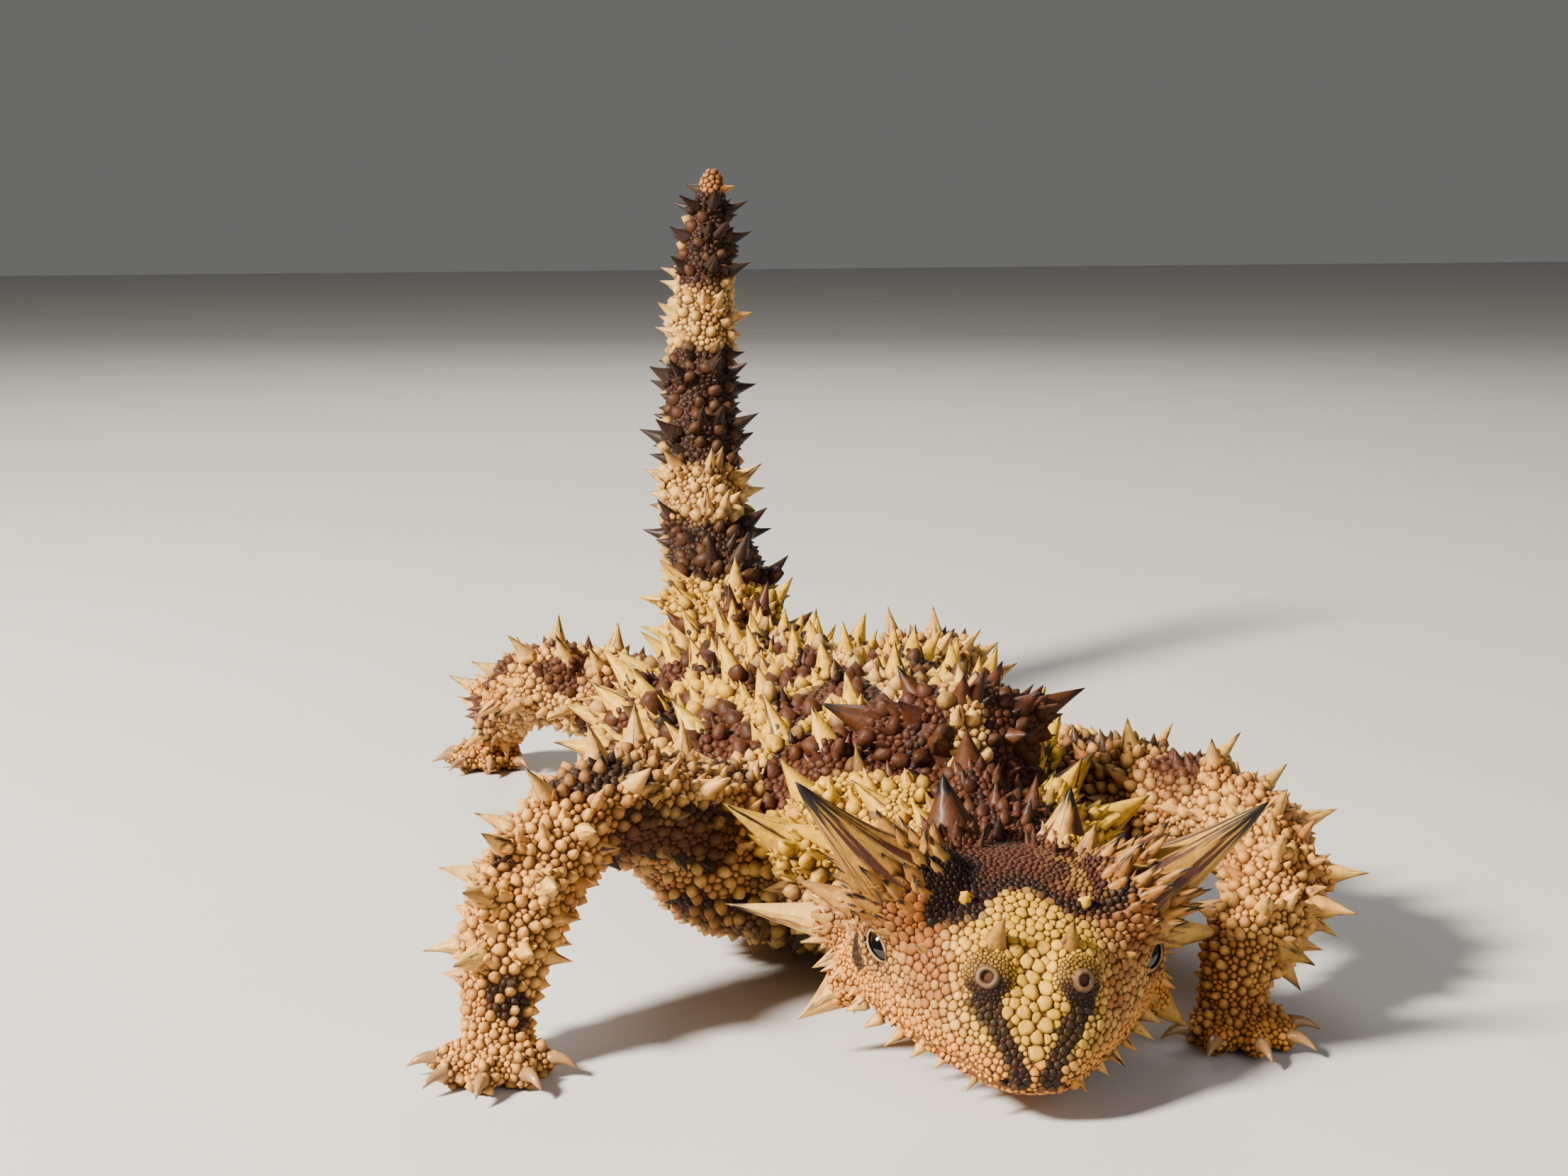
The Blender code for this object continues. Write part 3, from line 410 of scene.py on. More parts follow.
@dataclass
class HeadForm:
    """The head: its place and the sizes of its parts, in its own side, forward, up frame."""

    place: Sizes = (-0.4, -34.3, 10.6)
    yaw: float = -13.3
    pitch: float = 20.0
    roll: float = 4.0
    stations: Rows = (
        (0.0, 7.4, 2.2, -2.2, -6.1), (1.8, 8.8, 3.3, -2.6, -6.6), (3.8, 9.7, 4.4, -2.9, -6.7),
        (5.8, 9.8, 4.8, -3.0, -6.5), (8.0, 9.2, 4.7, -2.9, -6.0), (10.0, 8.2, 4.3, -2.7, -5.5),
        (12.0, 7.0, 3.6, -2.5, -4.9), (14.0, 5.6, 2.3, -2.2, -4.3), (15.8, 4.1, 0.9, -2.0, -3.7),
        (17.2, 2.8, -0.4, -1.8, -3.1), (17.9, 1.6, -1.0, -1.8, -2.6),
    )
    squareness: float = 2.5
    eye: Sizes = (7.6, 7.6, -0.4)
    eye_radius: float = 1.7
    eye_aim: Sizes = (0.56, 0.64, 0.52)
    nostril: Sizes = (2.65, 13.6, 2.45)
    nostril_aim: Sizes = (0.30, 0.72, 0.62)
    nasal: Sizes = (2.35, 11.9, 2.55)
    nasal_radii: Sizes = (1.9, 1.7, 1.25)
    brow: Sizes = (6.6, 6.4, 3.0)
    horn_tip: Sizes = (14.2, 6.2, 10.4)
    horn_start: float = 2.0
    horn_radius: float = 2.45
    mound: Rows = ((-3.0, 3.6), (0.0, 3.35), (1.6, 2.6))
    mouth_corner: float = 9.2
    mouth_level: Span = (-3.7, -2.0)
    jowl: Sizes = (8.2, 2.7, -3.0)
    jowl_radii: Sizes = (2.5, 2.2, 2.6)
    thorns: Rows = (
        (3.4, 1.9, 2.6, 0.15, -0.45, 0.90, 5.0, 1.75), (8.8, 2.4, -3.0, 0.96, -0.12, 0.04, 7.4, 1.80),
        (8.6, 4.4, -0.2, 0.84, -0.25, 0.20, 4.6, 1.30), (8.4, 2.0, 0.6, 0.90, -0.20, 0.35, 3.6, 1.10),
        (7.4, 2.2, 2.0, 0.72, -0.45, 0.52, 3.2, 1.10), (9.4, 6.0, -4.6, 0.74, 0.35, -0.55, 3.6, 1.40),
        (9.4, 3.6, -4.2, 0.85, 0.10, -0.40, 2.4, 0.90), (9.6, 5.0, -3.2, 0.90, 0.30, -0.20, 1.8, 0.80),
        (7.4, 8.8, 1.6, 0.85, 0.35, 0.35, 2.0, 0.80), (6.0, 10.6, 1.9, 0.70, 0.40, 0.60, 1.6, 0.75),
        (2.2, 11.9, 3.0, -0.02, 0.05, 1.00, 2.7, 0.95), (3.6, 8.6, 4.2, 0.10, 0.45, 0.88, 1.5, 0.80),
        (4.6, 3.2, 3.4, 0.20, -0.30, 0.90, 2.2, 0.90), (8.8, 8.0, -4.6, 0.85, 0.25, -0.35, 1.9, 0.75),
        (8.0, 9.8, -4.3, 0.80, 0.35, -0.35, 1.7, 0.65), (6.9, 11.4, -4.0, 0.75, 0.45, -0.40, 1.6, 0.60),
        (5.8, 12.9, -3.7, 0.70, 0.55, -0.40, 1.4, 0.55), (4.7, 14.2, -3.4, 0.65, 0.60, -0.40, 1.3, 0.55),
        (3.1, 16.2, -3.0, 0.55, 0.75, -0.35, 1.2, 0.50),
    )
    hues: dict = field(default_factory=lambda: {1: Hue.CREAM, 10: Hue.OCHRE, 11: Hue.GOLD})
    nape_cone: int = 0
    nape_cone_swell: float = 1.3
    slim_thorn: int = 8
    slim_share: float = 0.6
    jaw_level: float = -3.3
    small_thorn: float = 2.0
    small_shares: Span = (0.72, 0.74)
    mound_thorns: Rows = (
        (-150, 1.3, 2.4), (-95, 1.6, 2.0), (-35, 1.4, 1.9), (40, 1.4, 1.9), (110, 1.3, 2.2),
    )
    mound_thorn_radius: float = 0.9

    def __post_init__(self) -> None:
        """Work out the matrix and a fine table of the stations."""
        self.matrix = Matrix.Translation(self.place)
        for degrees, axis in ((self.yaw, "Z"), (self.pitch, "X"), (self.roll, "Y")):
            self.matrix = self.matrix @ Matrix.Rotation(math.radians(degrees), 4, axis)
        self.fine = smooth_rows(np.array(self.stations), np.linspace(0, len(self.stations) - 1, 400))

    def point(self, values: Sizes, side: int = 1) -> Vector:
        """Return the place of a point given by side, forward and up."""
        return self.matrix @ Vector((side * values[0], -values[1], values[2]))

    def way(self, values: Sizes, side: int = 1) -> Vector:
        """Return a direction given by side, forward and up."""
        return self.matrix.to_3x3() @ Vector((side * values[0], -values[1], values[2]))

    def local(self, points: Array) -> Array:
        """Return points as side, forward and up."""
        return into_frame(self.matrix, points) * np.array([1.0, -1.0, 1.0])

    def profile(self, forward: Array) -> Array:
        """Return the half width, top, widest level and bottom at each forward place."""
        return np.stack([np.interp(forward, self.fine[:, 0], self.fine[:, k]) for k in range(1, 5)], -1)

    def depth(self, local: Array) -> Array:
        """Return 0 on the head's axis and 1 on its plain surface for local points.

        Args:
            local: Points in the head's own axes, one a row.

        Returns:
            The depth of each point.
        """
        width, top, middle, bottom = self.profile(local[:, 1]).T
        high = np.where(local[:, 2] > middle, top - middle, middle - bottom)
        power = self.squareness
        across, up = np.abs(local[:, 0] / width), np.abs((local[:, 2] - middle) / high)
        return (across**power + up**power) ** (1 / power)

    def half_width(self, forward: float, level: float) -> float:
        """Return how far the head's side stands out at a level.

        Args:
            forward: How far forward on the head it is.
            level: How far up on the head it is.

        Returns:
            The width from the middle plane.
        """
        width, top, middle, bottom = self.profile(np.array([forward]))[0]
        reach = (level - middle) / (top - middle) if level > middle else (middle - level) / (middle - bottom)
        return width * (1 - min(reach, 1.0) ** self.squareness) ** (1 / self.squareness)

    def mouth_line(self, steps: int = 60) -> Array:
        """Return points of the mouth line from corner to corner, as side, forward and up.

        Args:
            steps: How many steps there are.

        Returns:
            The points, one a row.
        """
        front = self.stations[-1][0]
        share = np.linspace(0.0, 0.985, steps)
        forward = self.mouth_corner + (front - self.mouth_corner) * share
        level = self.mouth_level[0] + (self.mouth_level[1] - self.mouth_level[0]) * share
        side = np.array([self.half_width(f, u) for f, u in zip(forward, level)])
        one = np.stack([side, forward, level], -1)
        return np.vstack([one, one[::-1] * np.array([-1.0, 1.0, 1.0])])

    def horn_axis(self, side: int) -> tuple[Vector, Vector, float]:
        """Return the brow point, the horn's direction and its length to the tip."""
        brow, tip = self.point(self.brow, side), self.point(self.horn_tip, side)
        return brow, (tip - brow).normalized(), (tip - brow).length

    def eye_frame(self, side: int) -> Matrix:
        """Return the eye's place with Z out through the lids and X along their slit.

        Args:
            side: The side of the head, -1 or 1.

        Returns:
            The frame of the eye.
        """
        aim = self.way(self.eye_aim, side).normalized()
        slit = self.way((-0.28, 0.88, -0.40), side)
        slit = (slit - slit.dot(aim) * aim).normalized()
        matrix = Matrix((slit, aim.cross(slit), aim)).transposed().to_4x4()
        matrix.translation = self.point(self.eye, side)
        return matrix

    def add_shell(self, mesh_edit: MeshEdit, inset: float) -> None:
        """Add the head's plain form.

        Args:
            mesh_edit: The mesh that gets it.
            inset: How far it lies inside the sizes.
        """
        loops = []
        for forward, width, top, middle, bottom in self.fine[::9]:
            ring = bmesh.ops.create_circle(mesh_edit, segments=48, radius=1.0)["verts"]
            for vertex in ring:
                across, high = (math.copysign(abs(v) ** (2 / self.squareness), v) for v in vertex.co.xy)
                reach = (top - middle if high > 0 else middle - bottom) - inset
                vertex.co = self.matrix @ Vector((across * (width - inset), -forward, middle + high * reach))
            loops.append(loop_edges(ring))
        close_loops(mesh_edit, loops)


@dataclass
class SpineForm:
    """The neck, trunk and tail as one path behind the head, with the knob and the breast."""

    stations: Rows = (
        (0.6, -27.8, 8.3, 8.1, 6.2), (-1.1, -21.5, 7.9, 11.4, 6.7), (-0.9, -15.5, 8.5, 13.3, 7.2),
        (-0.5, -8.0, 9.2, 14.6, 7.7), (-0.6, 0.0, 9.0, 15.8, 7.8), (-0.8, 8.0, 8.6, 15.5, 7.4),
        (-0.7, 16.0, 8.4, 13.2, 6.8), (-0.3, 23.0, 8.5, 9.4, 6.1), (0.3, 29.0, 9.2, 6.6, 5.4),
        (0.9, 34.0, 10.8, 5.4, 4.9), (1.3, 40.0, 14.3, 4.6, 4.4), (1.7, 46.5, 20.5, 4.1, 4.0),
        (2.5, 52.0, 29.5, 3.6, 3.6), (3.7, 56.0, 39.5, 3.1, 3.1), (5.0, 58.8, 48.0, 2.5, 2.5),
        (6.0, 60.2, 54.8, 1.15, 1.15),
    )
    nape: Rows = ((0.15, -2.3, 6.4, 3.9), (2.6, -2.3, 6.8, 4.8))
    neck_end: float = 2.45
    torso_end: float = 10.3
    knob: Sizes = (2.2, -20.9, 14.9)
    knob_radii: Sizes = (5.8, 3.7, 5.0)
    breast: Sizes = (-4.4, -15.6, 4.9)
    breast_radii: Sizes = (12.2, 8.6, 4.3)
    neck_rows: Rows = (
        (1.75, 1.75, 1, 14, 7.2, 1.7, 0.0), (1.65, 1.65, 1, 42, 4.2, 1.3, 0.0),
        (1.6, 2.0, 2, -24, 2.4, 0.9, 0.2),
    )
    nape_thorn: Sizes = (1.6, 4.2, 1.5)
    nape_thorn_swell: float = 1.25
    torso_rows: Rows = (
        (2.75, 2.75, 1, 20, 7.2, 1.7, 0.15), (2.9, 2.9, 1, 44, 4.6, 1.6, 0.2),
        (2.6, 3.7, 3, -24, 2.6, 0.9, 0.2), (3.6, 3.6, 1, 68, 4.4, 1.5, 0.3),
        (4.6, 10.0, 8, 80, 3.4, 1.15, 0.45), (4.2, 9.8, 8, 56, 4.2, 1.35, 0.4),
        (4.1, 9.6, 7, 32, 5.0, 1.55, 0.35), (5.3, 9.2, 7, 8, 5.2, 1.5, 0.3),
        (5.1, 8.9, 6, -20, 3.2, 1.1, 0.25),
    )
    knob_thorns: Rows = (
        (12, 22, 5.2, 1.7), (-28, 40, 2.4, 1.0), (38, 52, 2.6, 1.0), (-60, 18, 2.0, 0.9), (62, 20, 2.2, 0.9),
        (-80, 62, 2.2, 0.9),
    )
    tail_whorls: tuple = (
        ("tail_base", (10.7, 11.4, 12.1), 4, 4.0, 1.35),
        ("tail_middle", (13.0, 13.5, 14.0, 14.5), 4, 3.2, 1.10),
        ("tail_tip", (15.2, 15.65, 16.1, 16.55), 3, 2.5, 0.85),
    )

    def path(self, head: HeadForm) -> BodyPath:
        """Return the path, led by the nape's two stations square to the head's back.

        Args:
            head: The head, which the neck's path meets.

        Returns:
            The path through the stations.
        """
        nape = []
        for behind, level, wide, high in self.nape:
            nape.append((*(head.matrix @ Vector((0, behind, level))), wide, high))
        return BodyPath(np.array(nape + list(self.stations)), np.array([1.0, 0.0, 0.0]))


@dataclass
class LimbForm:
    """A limb: its stations from inside the trunk to the sole, and its hand or foot."""

    name: str
    part: Part
    stations: Rows
    rows: Rows
    heading: float
    node_names: tuple[str, str, str]
    cuts: Sizes = (1.62, 3.0, 4.75)
    digit_turns: Sizes = (-78, -38, 0, 36, 74)
    digit_lengths: Sizes = (1.6, 2.1, 2.3, 2.1, 1.6)
    claw_length: float = 1.9

    def path(self) -> BodyPath:
        """Return the limb's path, with up on the outside of its bend.

        Returns:
            The path through the stations.
        """
        root, joint, end = (Vector(self.stations[index][:3]) for index in (1, 3, 5))
        normal = (joint - root).cross(end - joint).normalized()
        onward = (end - root).normalized()
        if normal.cross(onward).dot(joint - (root + end) / 2) < 0:
            normal = -normal
        return BodyPath(np.array(self.stations), np.array(normal))

    def side(self) -> int:
        """Return -1 for a right limb and 1 for a left one."""
        return RIGHT if self.name.endswith("right") else LEFT

    def digits(self) -> tuple[Vector, list[tuple[Vector, Vector, Vector]]]:
        """Return the middle of the palm and each digit's start, end and direction.

        Returns:
            The palm and the digits.
        """
        end = Vector(self.stations[-1][:3])
        ahead = Vector((math.sin(self.heading), -math.cos(self.heading), 0))
        middle = Vector((end.x, end.y, 1.25)) + ahead * 0.6
        made = []
        for degrees, length in zip(self.digit_turns, self.digit_lengths):
            way = Matrix.Rotation(math.radians(degrees) * self.side(), 3, "Z") @ ahead
            made.append((middle + way * 1.4, middle + way * (2.1 + length) + Vector((0, 0, -0.45)), way))
        return middle, made


ARM_ROWS: Rows = (
    (1.8, 2.8, 3, 85, 3.4, 1.15, 0.1), (1.9, 2.7, 2, 20, 2.8, 0.95, 0.1), (2.0, 2.8, 2, 150, 2.8, 0.95, 0.1),
    (3.25, 4.6, 4, 95, 3.2, 1.05, 0.15), (3.35, 4.5, 3, 35, 2.7, 0.9, 0.15),
    (3.35, 4.5, 3, 155, 2.7, 0.9, 0.15), (3.6, 4.4, 2, -60, 2.0, 0.8, 0.15),
)
LEG_ROWS: Rows = (
    (1.8, 2.8, 3, 85, 3.6, 1.2, 0.1), (1.9, 2.7, 2, 25, 3.0, 1.0, 0.1), (2.0, 2.8, 2, 150, 3.0, 1.0, 0.1),
    (3.25, 4.5, 3, 90, 2.9, 0.95, 0.15), (3.35, 4.4, 2, 30, 2.4, 0.85, 0.15),
    (3.35, 4.4, 2, 155, 2.4, 0.85, 0.15),
)


LIMB_KINDS = {
    "arm": (ARM_ROWS, ("upper_arm", "forearm", "hand")),
    "leg": (LEG_ROWS, ("thigh", "shank", "foot")),
}


def limb_forms() -> list[LimbForm]:
    """Return the four limbs.

    Returns:
        The arms and the legs.
    """
    arm_right = (
        (-4.0, -9.5, 8.4, 5.0, 5.2), (-12.6, -15.8, 7.8, 5.0, 6.1), (-18.9, -19.9, 11.7, 3.8, 4.0),
        (-25.4, -24.6, 13.3, 3.3, 3.2), (-30.2, -28.6, 9.0, 3.3, 3.1), (-31.8, -30.6, 4.4, 2.5, 2.3),
        (-32.2, -31.6, 1.9, 2.2, 1.8),
    )
    arm_left = (
        (4.5, -7.0, 8.8, 4.4, 4.8), (12.8, -11.4, 8.8, 4.4, 5.2), (17.8, -19.4, 9.9, 3.5, 3.4),
        (20.2, -29.2, 10.1, 3.3, 3.2), (18.6, -35.4, 7.2, 3.3, 3.1), (14.6, -38.8, 4.2, 2.5, 2.3),
        (13.8, -39.6, 1.9, 2.2, 1.8),
    )
    leg_right = (
        (-2.6, 19.6, 8.4, 4.2, 4.0), (-8.2, 23.2, 8.6, 4.3, 4.0), (-13.6, 27.8, 9.6, 3.9, 3.6),
        (-18.4, 32.0, 9.8, 3.4, 3.2), (-20.0, 37.4, 6.6, 2.9, 2.8), (-19.9, 41.2, 3.8, 2.4, 2.2),
        (-20.0, 42.4, 1.9, 2.2, 1.7),
    )
    leg_left = (
        (2.6, 19.6, 8.4, 4.2, 4.0), (8.8, 22.2, 8.6, 4.3, 4.0), (14.0, 23.0, 9.8, 3.9, 3.6),
        (18.9, 25.0, 10.0, 3.4, 3.2), (21.8, 28.6, 6.8, 2.9, 2.8), (23.2, 32.6, 3.8, 2.4, 2.2),
        (23.8, 33.8, 1.9, 2.2, 1.7),
    )
    made = []
    for part, stations, heading in (
        (Part.ARM_RIGHT, arm_right, -0.35), (Part.ARM_LEFT, arm_left, -0.1),
        (Part.LEG_RIGHT, leg_right, -0.9), (Part.LEG_LEFT, leg_left, 0.7),
    ):
        name = part.name.lower()
        kind, side = name.split("_")
        rows, lengths = LIMB_KINDS[kind]
        nodes = tuple(f"{length}_{side}" for length in lengths)
        made.append(LimbForm(name, part, stations, rows, heading, nodes))
    return made


@dataclass
class Thorn:
    """One thorn: a tapered cone on the skin."""

    root: Vector
    direction: Vector
    length: float
    radius: float
    bend: Vector = field(default_factory=Vector)
    bare: bool = False
    hue: Hue = Hue.SKIN
    # The hue of the half turned to the animal's left, away from the key light: painted shade on that side.
    left_hue: Hue = Hue.SKIN
    tip: float = 0.85

    def middle(self, share: float) -> Vector:
        """Return the point at a share of the way to the tip."""
        return self.root + self.direction * self.length * share + self.bend * share**2 * self.length


@dataclass
class ThornPlan:
    """Places the main thorns in the same order of random draws as the solids."""

    head: HeadForm
    spine: SpineForm
    limbs: list[LimbForm]
    found: list[Thorn] = field(default_factory=list)

    def vary(self, value: float, share: float = 0.12) -> float:
        """Return the value changed by up to a share of itself."""
        return value * (1 + self.random.uniform(-share, share))

    def add(
        self, root: Vector, direction: Vector, length: float, radius: float, bend: Vector = Vector()
    ) -> None:
        """Add one thorn of about the given size."""
        length, radius = self.vary(length), self.vary(radius)
        self.found.append(Thorn(Vector(root), Vector(direction).normalized(), length, radius, Vector(bend)))

    def start(self, name: str) -> None:
        """Begin the random draws of one node."""
        self.random = random.Random(f"{SEED}-{name}")

    def row(self, path: BodyPath, values: Sizes, mirrored: bool = False) -> None:
        """Add a row along a path at an angle above its side.

        Args:
            path: The path that carries the row.
            values: Span, count, degrees, length, radius and lean.
            mirrored: Whether the row stands on the other side.
        """
        first, last, count, degrees, length, radius, lean = values
        degrees = 180 - degrees if mirrored else degrees
        for index in range(count):
            share = index / (count - 1) if count > 1 else 0.0
            place = first + (last - first) * share + self.random.uniform(-0.06, 0.06)
            swell = 0.82 + 0.18 * math.sin(math.pi * share) if count > 2 else 1.0
            root, outward, onward = path.surface(place, degrees + self.random.uniform(-5, 5))
            direction = outward + onward * self.vary(lean, 0.4)
            self.add(root, direction, length * swell, radius * swell, onward * 0.08)

    def pair(self, path: BodyPath, rows: Rows) -> None:
        """Add each row on both sides of a path.

        Args:
            path: The path that the thorns stand on.
            rows: The rows of thorns.
        """
        for values in rows:
            self.row(path, values)
            self.row(path, values, mirrored=True)

    def place_all(self) -> list[Thorn]:
        """Place the main thorns of every node and return them.

        Returns:
            The main thorns.
        """
        path = self.spine.path(self.head)
        self.place_head()
        self.start("neck")
        self.pair(path, self.spine.neck_rows)
        self.colour(0, Hue.GOLD, Hue.CREAM)
        place, length, radius = self.spine.nape_thorn
        root, outward, onward = path.surface(place, 90)
        self.add(root, outward + onward * 0.1, length, radius)
        self.found[-1].radius *= self.spine.nape_thorn_swell
        self.found[-1].hue = Hue.RUST
        self.start("torso")
        for side in (RIGHT, LEFT):
            for turn, rise, length, radius in self.spine.knob_thorns:
                turn, rise = math.radians(turn), math.radians(rise)
                level = math.cos(rise)
                way = Vector((side * level * math.cos(turn), level * math.sin(turn), math.sin(rise)))
                root = Vector(self.spine.knob) + Vector([a * b for a, b in zip(way, self.spine.knob_radii)])
                self.add(root - way * 0.3, way, length, radius)
                self.found[-1].hue, self.found[-1].tip = Hue.RUST, 1.0
        self.start("torso")
        first = len(self.found)
        self.pair(path, self.spine.torso_rows)
        self.colour(first, Hue.GOLD, Hue.CREAM)
        for name, places, pairs, length, radius in self.spine.tail_whorls:
            self.start(name)
            for index, place in enumerate(places):
                for pair in range(pairs):
                    degrees = 78 - pair * 150 / (pairs - 0.5) + (index % 2) * 12
                    fade = 1.0 - 0.1 * pair
                    self.pair(path, ((place, place, 1, degrees, length * fade, radius * fade, 0.3),))
        first = len(self.found)
        for limb in self.limbs:
            path = limb.path()
            for name, first_cut, last_cut in zip(limb.node_names, limb.cuts, limb.cuts[1:]):
                self.start(name)
                for values in limb.rows:
                    if first_cut < values[0] < last_cut:
                        self.row(path, values)
        self.colour(first, Hue.CREAM, Hue.CREAM)
        return self.found

    def colour(self, first: int, upper: Hue, lower: Hue) -> None:
        """Colour the thorns found since the first one by whether they point up or aside.

        Args:
            first: The index of the first thorn.
            upper: The hue of those that point up.
            lower: The hue of those that point aside or down.
        """
        for thorn in self.found[first:]:
            if thorn.hue is Hue.SKIN and thorn.length > MAIN_THORN:
                thorn.hue = upper if thorn.direction.z > 0.12 else lower

    def place_head(self) -> None:
        """Place the thorns of the head and of the mounds under the horns."""
        self.start("head")
        for side in (RIGHT, LEFT):
            for index, values in enumerate(self.head.thorns):
                self.add(self.head.point(values[:3], side), self.head.way(values[3:6], side), *values[6:])
                thorn = self.found[-1]
                thorn.hue = self.head.hues.get(index, Hue.BROWN)
                if values[2] < self.head.jaw_level:
                    thorn.hue, thorn.tip = Hue.CREAM, 0.6
                if index == self.head.slim_thorn:
                    thorn.radius *= self.head.slim_share
                if index == self.head.nape_cone:
                    thorn.radius *= self.head.nape_cone_swell
                    thorn.hue = Hue.CREAM if side == LEFT else Hue.RUST
                    # The half that faces the animal's left is rust: painted shade on the side away from the
                    # light.
                    thorn.left_hue, thorn.tip = Hue.RUST, 1.0
                if values[6] < self.head.small_thorn:
                    shorter, thinner = self.head.small_shares
                    thorn.bare = True
                    thorn.length *= shorter
                    thorn.radius *= thinner
            brow, aim, _ = self.head.horn_axis(side)
            level = self.head.way((0, 0, 1)).cross(aim).normalized()
            for degrees, reach, length in self.head.mound_thorns:
                outward = Matrix.Rotation(math.radians(degrees) * side, 3, aim) @ level
                root = brow + aim * (reach - 0.6) + outward * 2.2
                self.add(root, outward * 0.7 + aim, length, self.head.mound_thorn_radius)
                self.found[-1].hue, self.found[-1].tip = Hue.BROWN, 1.0


@dataclass
class Body:
    """The whole animal's plan: which part a point lies on and where on it."""

    head: HeadForm = field(default_factory=HeadForm)
    spine: SpineForm = field(default_factory=SpineForm)
    limbs: list[LimbForm] = field(default_factory=limb_forms)
    block: int = 20000

    def __post_init__(self) -> None:
        """Sample every path for the lookups."""
        self.paths = {Part.TRUNK: self.spine.path(self.head)}
        self.paths.update({limb.part: limb.path() for limb in self.limbs})
        self.samples = {}
        for part, path in self.paths.items():
            places = np.arange(0.0, len(path.stations) - 1 + 1e-6, 0.08)
            self.samples[part] = (places, *path.at(places))

    def locate(self, points: Array) -> "Spots":
        """Tell for each point its part, its place along it and its angle round it.

        Args:
            points: Points in the tables' frame.

        Returns:
            The spots on the body.
        """
        count = len(points)
        best = np.full(count, 1e9)
        spots = Spots(points, self.head.local(points), np.zeros(count, int), *np.zeros((4, count)))
        ratios = []
        for part, (places, rows, side, up, _) in self.samples.items():
            nearest = np.empty(count, int)
            squares = (rows[:, :3] ** 2).sum(1)
            for start in range(0, count, self.block):
                block = slice(start, start + self.block)
                nearest[block] = (squares - 2 * points[block] @ rows[:, :3].T).argmin(1)
            offset = points - rows[nearest, :3]
            across = np.einsum("ij,ij->i", offset, side[nearest])
            high = np.einsum("ij,ij->i", offset, up[nearest])
            ratio = np.hypot(across / rows[nearest, 3], high / rows[nearest, 4])
            ratio += np.maximum(np.linalg.norm(offset, axis=1) / rows[nearest, 3:5].max(1) - 1.3, 0.0)
            if part is Part.TRUNK:
                ratio = np.where(spots.local[:, 1] > 0.4, 1e3, ratio)
            ratios.append(ratio)
            take = ratio < best
            best = np.where(take, ratio, best)
            spots.part[take] = part.value
            spots.place[take] = places[nearest[take]]
            spots.angle[take] = np.arctan2(high, across)[take]
            spots.girth[take] = rows[nearest, 3:5].mean(1)[take]
        forward = spots.local[:, 1]
        beyond = np.maximum(-forward - 0.2, 0.0) * 2 + np.maximum(forward - 19.0, 0.0)
        depth = self.head.depth(spots.local) + beyond
        take = depth < best
        spots.part[take] = Part.HEAD.value
        ratios.append(depth)
        ordered = np.sort(np.array(ratios), axis=0)
        spots.junction = ramp(-(ordered[1] - ordered[0]), -0.55, -0.1)
        return spots


@dataclass
class Spots:
    """Points of the skin with their part, place along it, angle round it and girth there."""

    points: Array
    local: Array
    part: Array
    place: Array
    angle: Array
    girth: Array
    junction: Array

    def on(self, *parts: Part) -> Array:
        """Tell which points lie on any of the parts."""
        return np.isin(self.part, [part.value for part in parts])

    def folded(self) -> Array:
        """Return the head's side, forward and up with the right side laid on the left."""
        return np.concatenate([np.abs(self.local[:, :1]), self.local[:, 1:]], 1)

    def from_point(self, point: Sizes) -> Array:
        """Return the distance from the nearer of a pair of points of the head."""
        return np.linalg.norm(self.folded() - np.array(point), axis=1)


@dataclass
class Cells:
    """Seeded noise on points: rounded cells with edges, and smooth clouds."""

    seed: int
    table_size: int = 32

    def __post_init__(self) -> None:
        """Draw the table of random numbers."""
        self.table = np.random.default_rng(self.seed).random((self.table_size,) * 3 + (4,))

    def read(self, index: Array) -> Array:
        """Return four random numbers for each whole-number corner."""
        x, y, z = (index % self.table_size).T
        return self.table[x, y, z]

    def edges(self, points: Array, size: float) -> tuple[Array, Array]:
        """Return the distance from the nearest cell border, and a random number of the cell.

        Args:
            points: Points to read.
            size: The width of a cell.

        Returns:
            Border distances in shares of the size, and the cells' numbers.
        """
        scaled = points / size
        base = np.floor(scaled).astype(int)
        first, second = np.full(len(points), 9.0), np.full(len(points), 9.0)
        number = np.zeros(len(points))
        for step in np.ndindex(3, 3, 3):
            corner = base + np.array(step) - 1
            values = self.read(corner)
            away = np.linalg.norm(corner + 0.15 + 0.7 * values[:, :3] - scaled, axis=1)
            nearer = away < first
            second = np.where(nearer, first, np.minimum(second, away))
            number = np.where(nearer, values[:, 3], number)
            first = np.where(nearer, away, first)
        return second - first, number

    def cloud(self, points: Array, size: float) -> Array:
        """Return smooth noise between 0 and 1.

        Args:
            points: Points to read.
            size: The width of a cloud.

        Returns:
            One value for each point.
        """
        scaled = points / size
        base = np.floor(scaled).astype(int)
        t = scaled - base
        t = t * t * (3 - 2 * t)
        total = np.zeros(len(points))
        for step in np.ndindex(2, 2, 2):
            weight = np.prod(np.where(np.array(step) == 1, t, 1 - t), axis=1)
            total += weight * self.read(base + np.array(step))[:, 0]
        return total


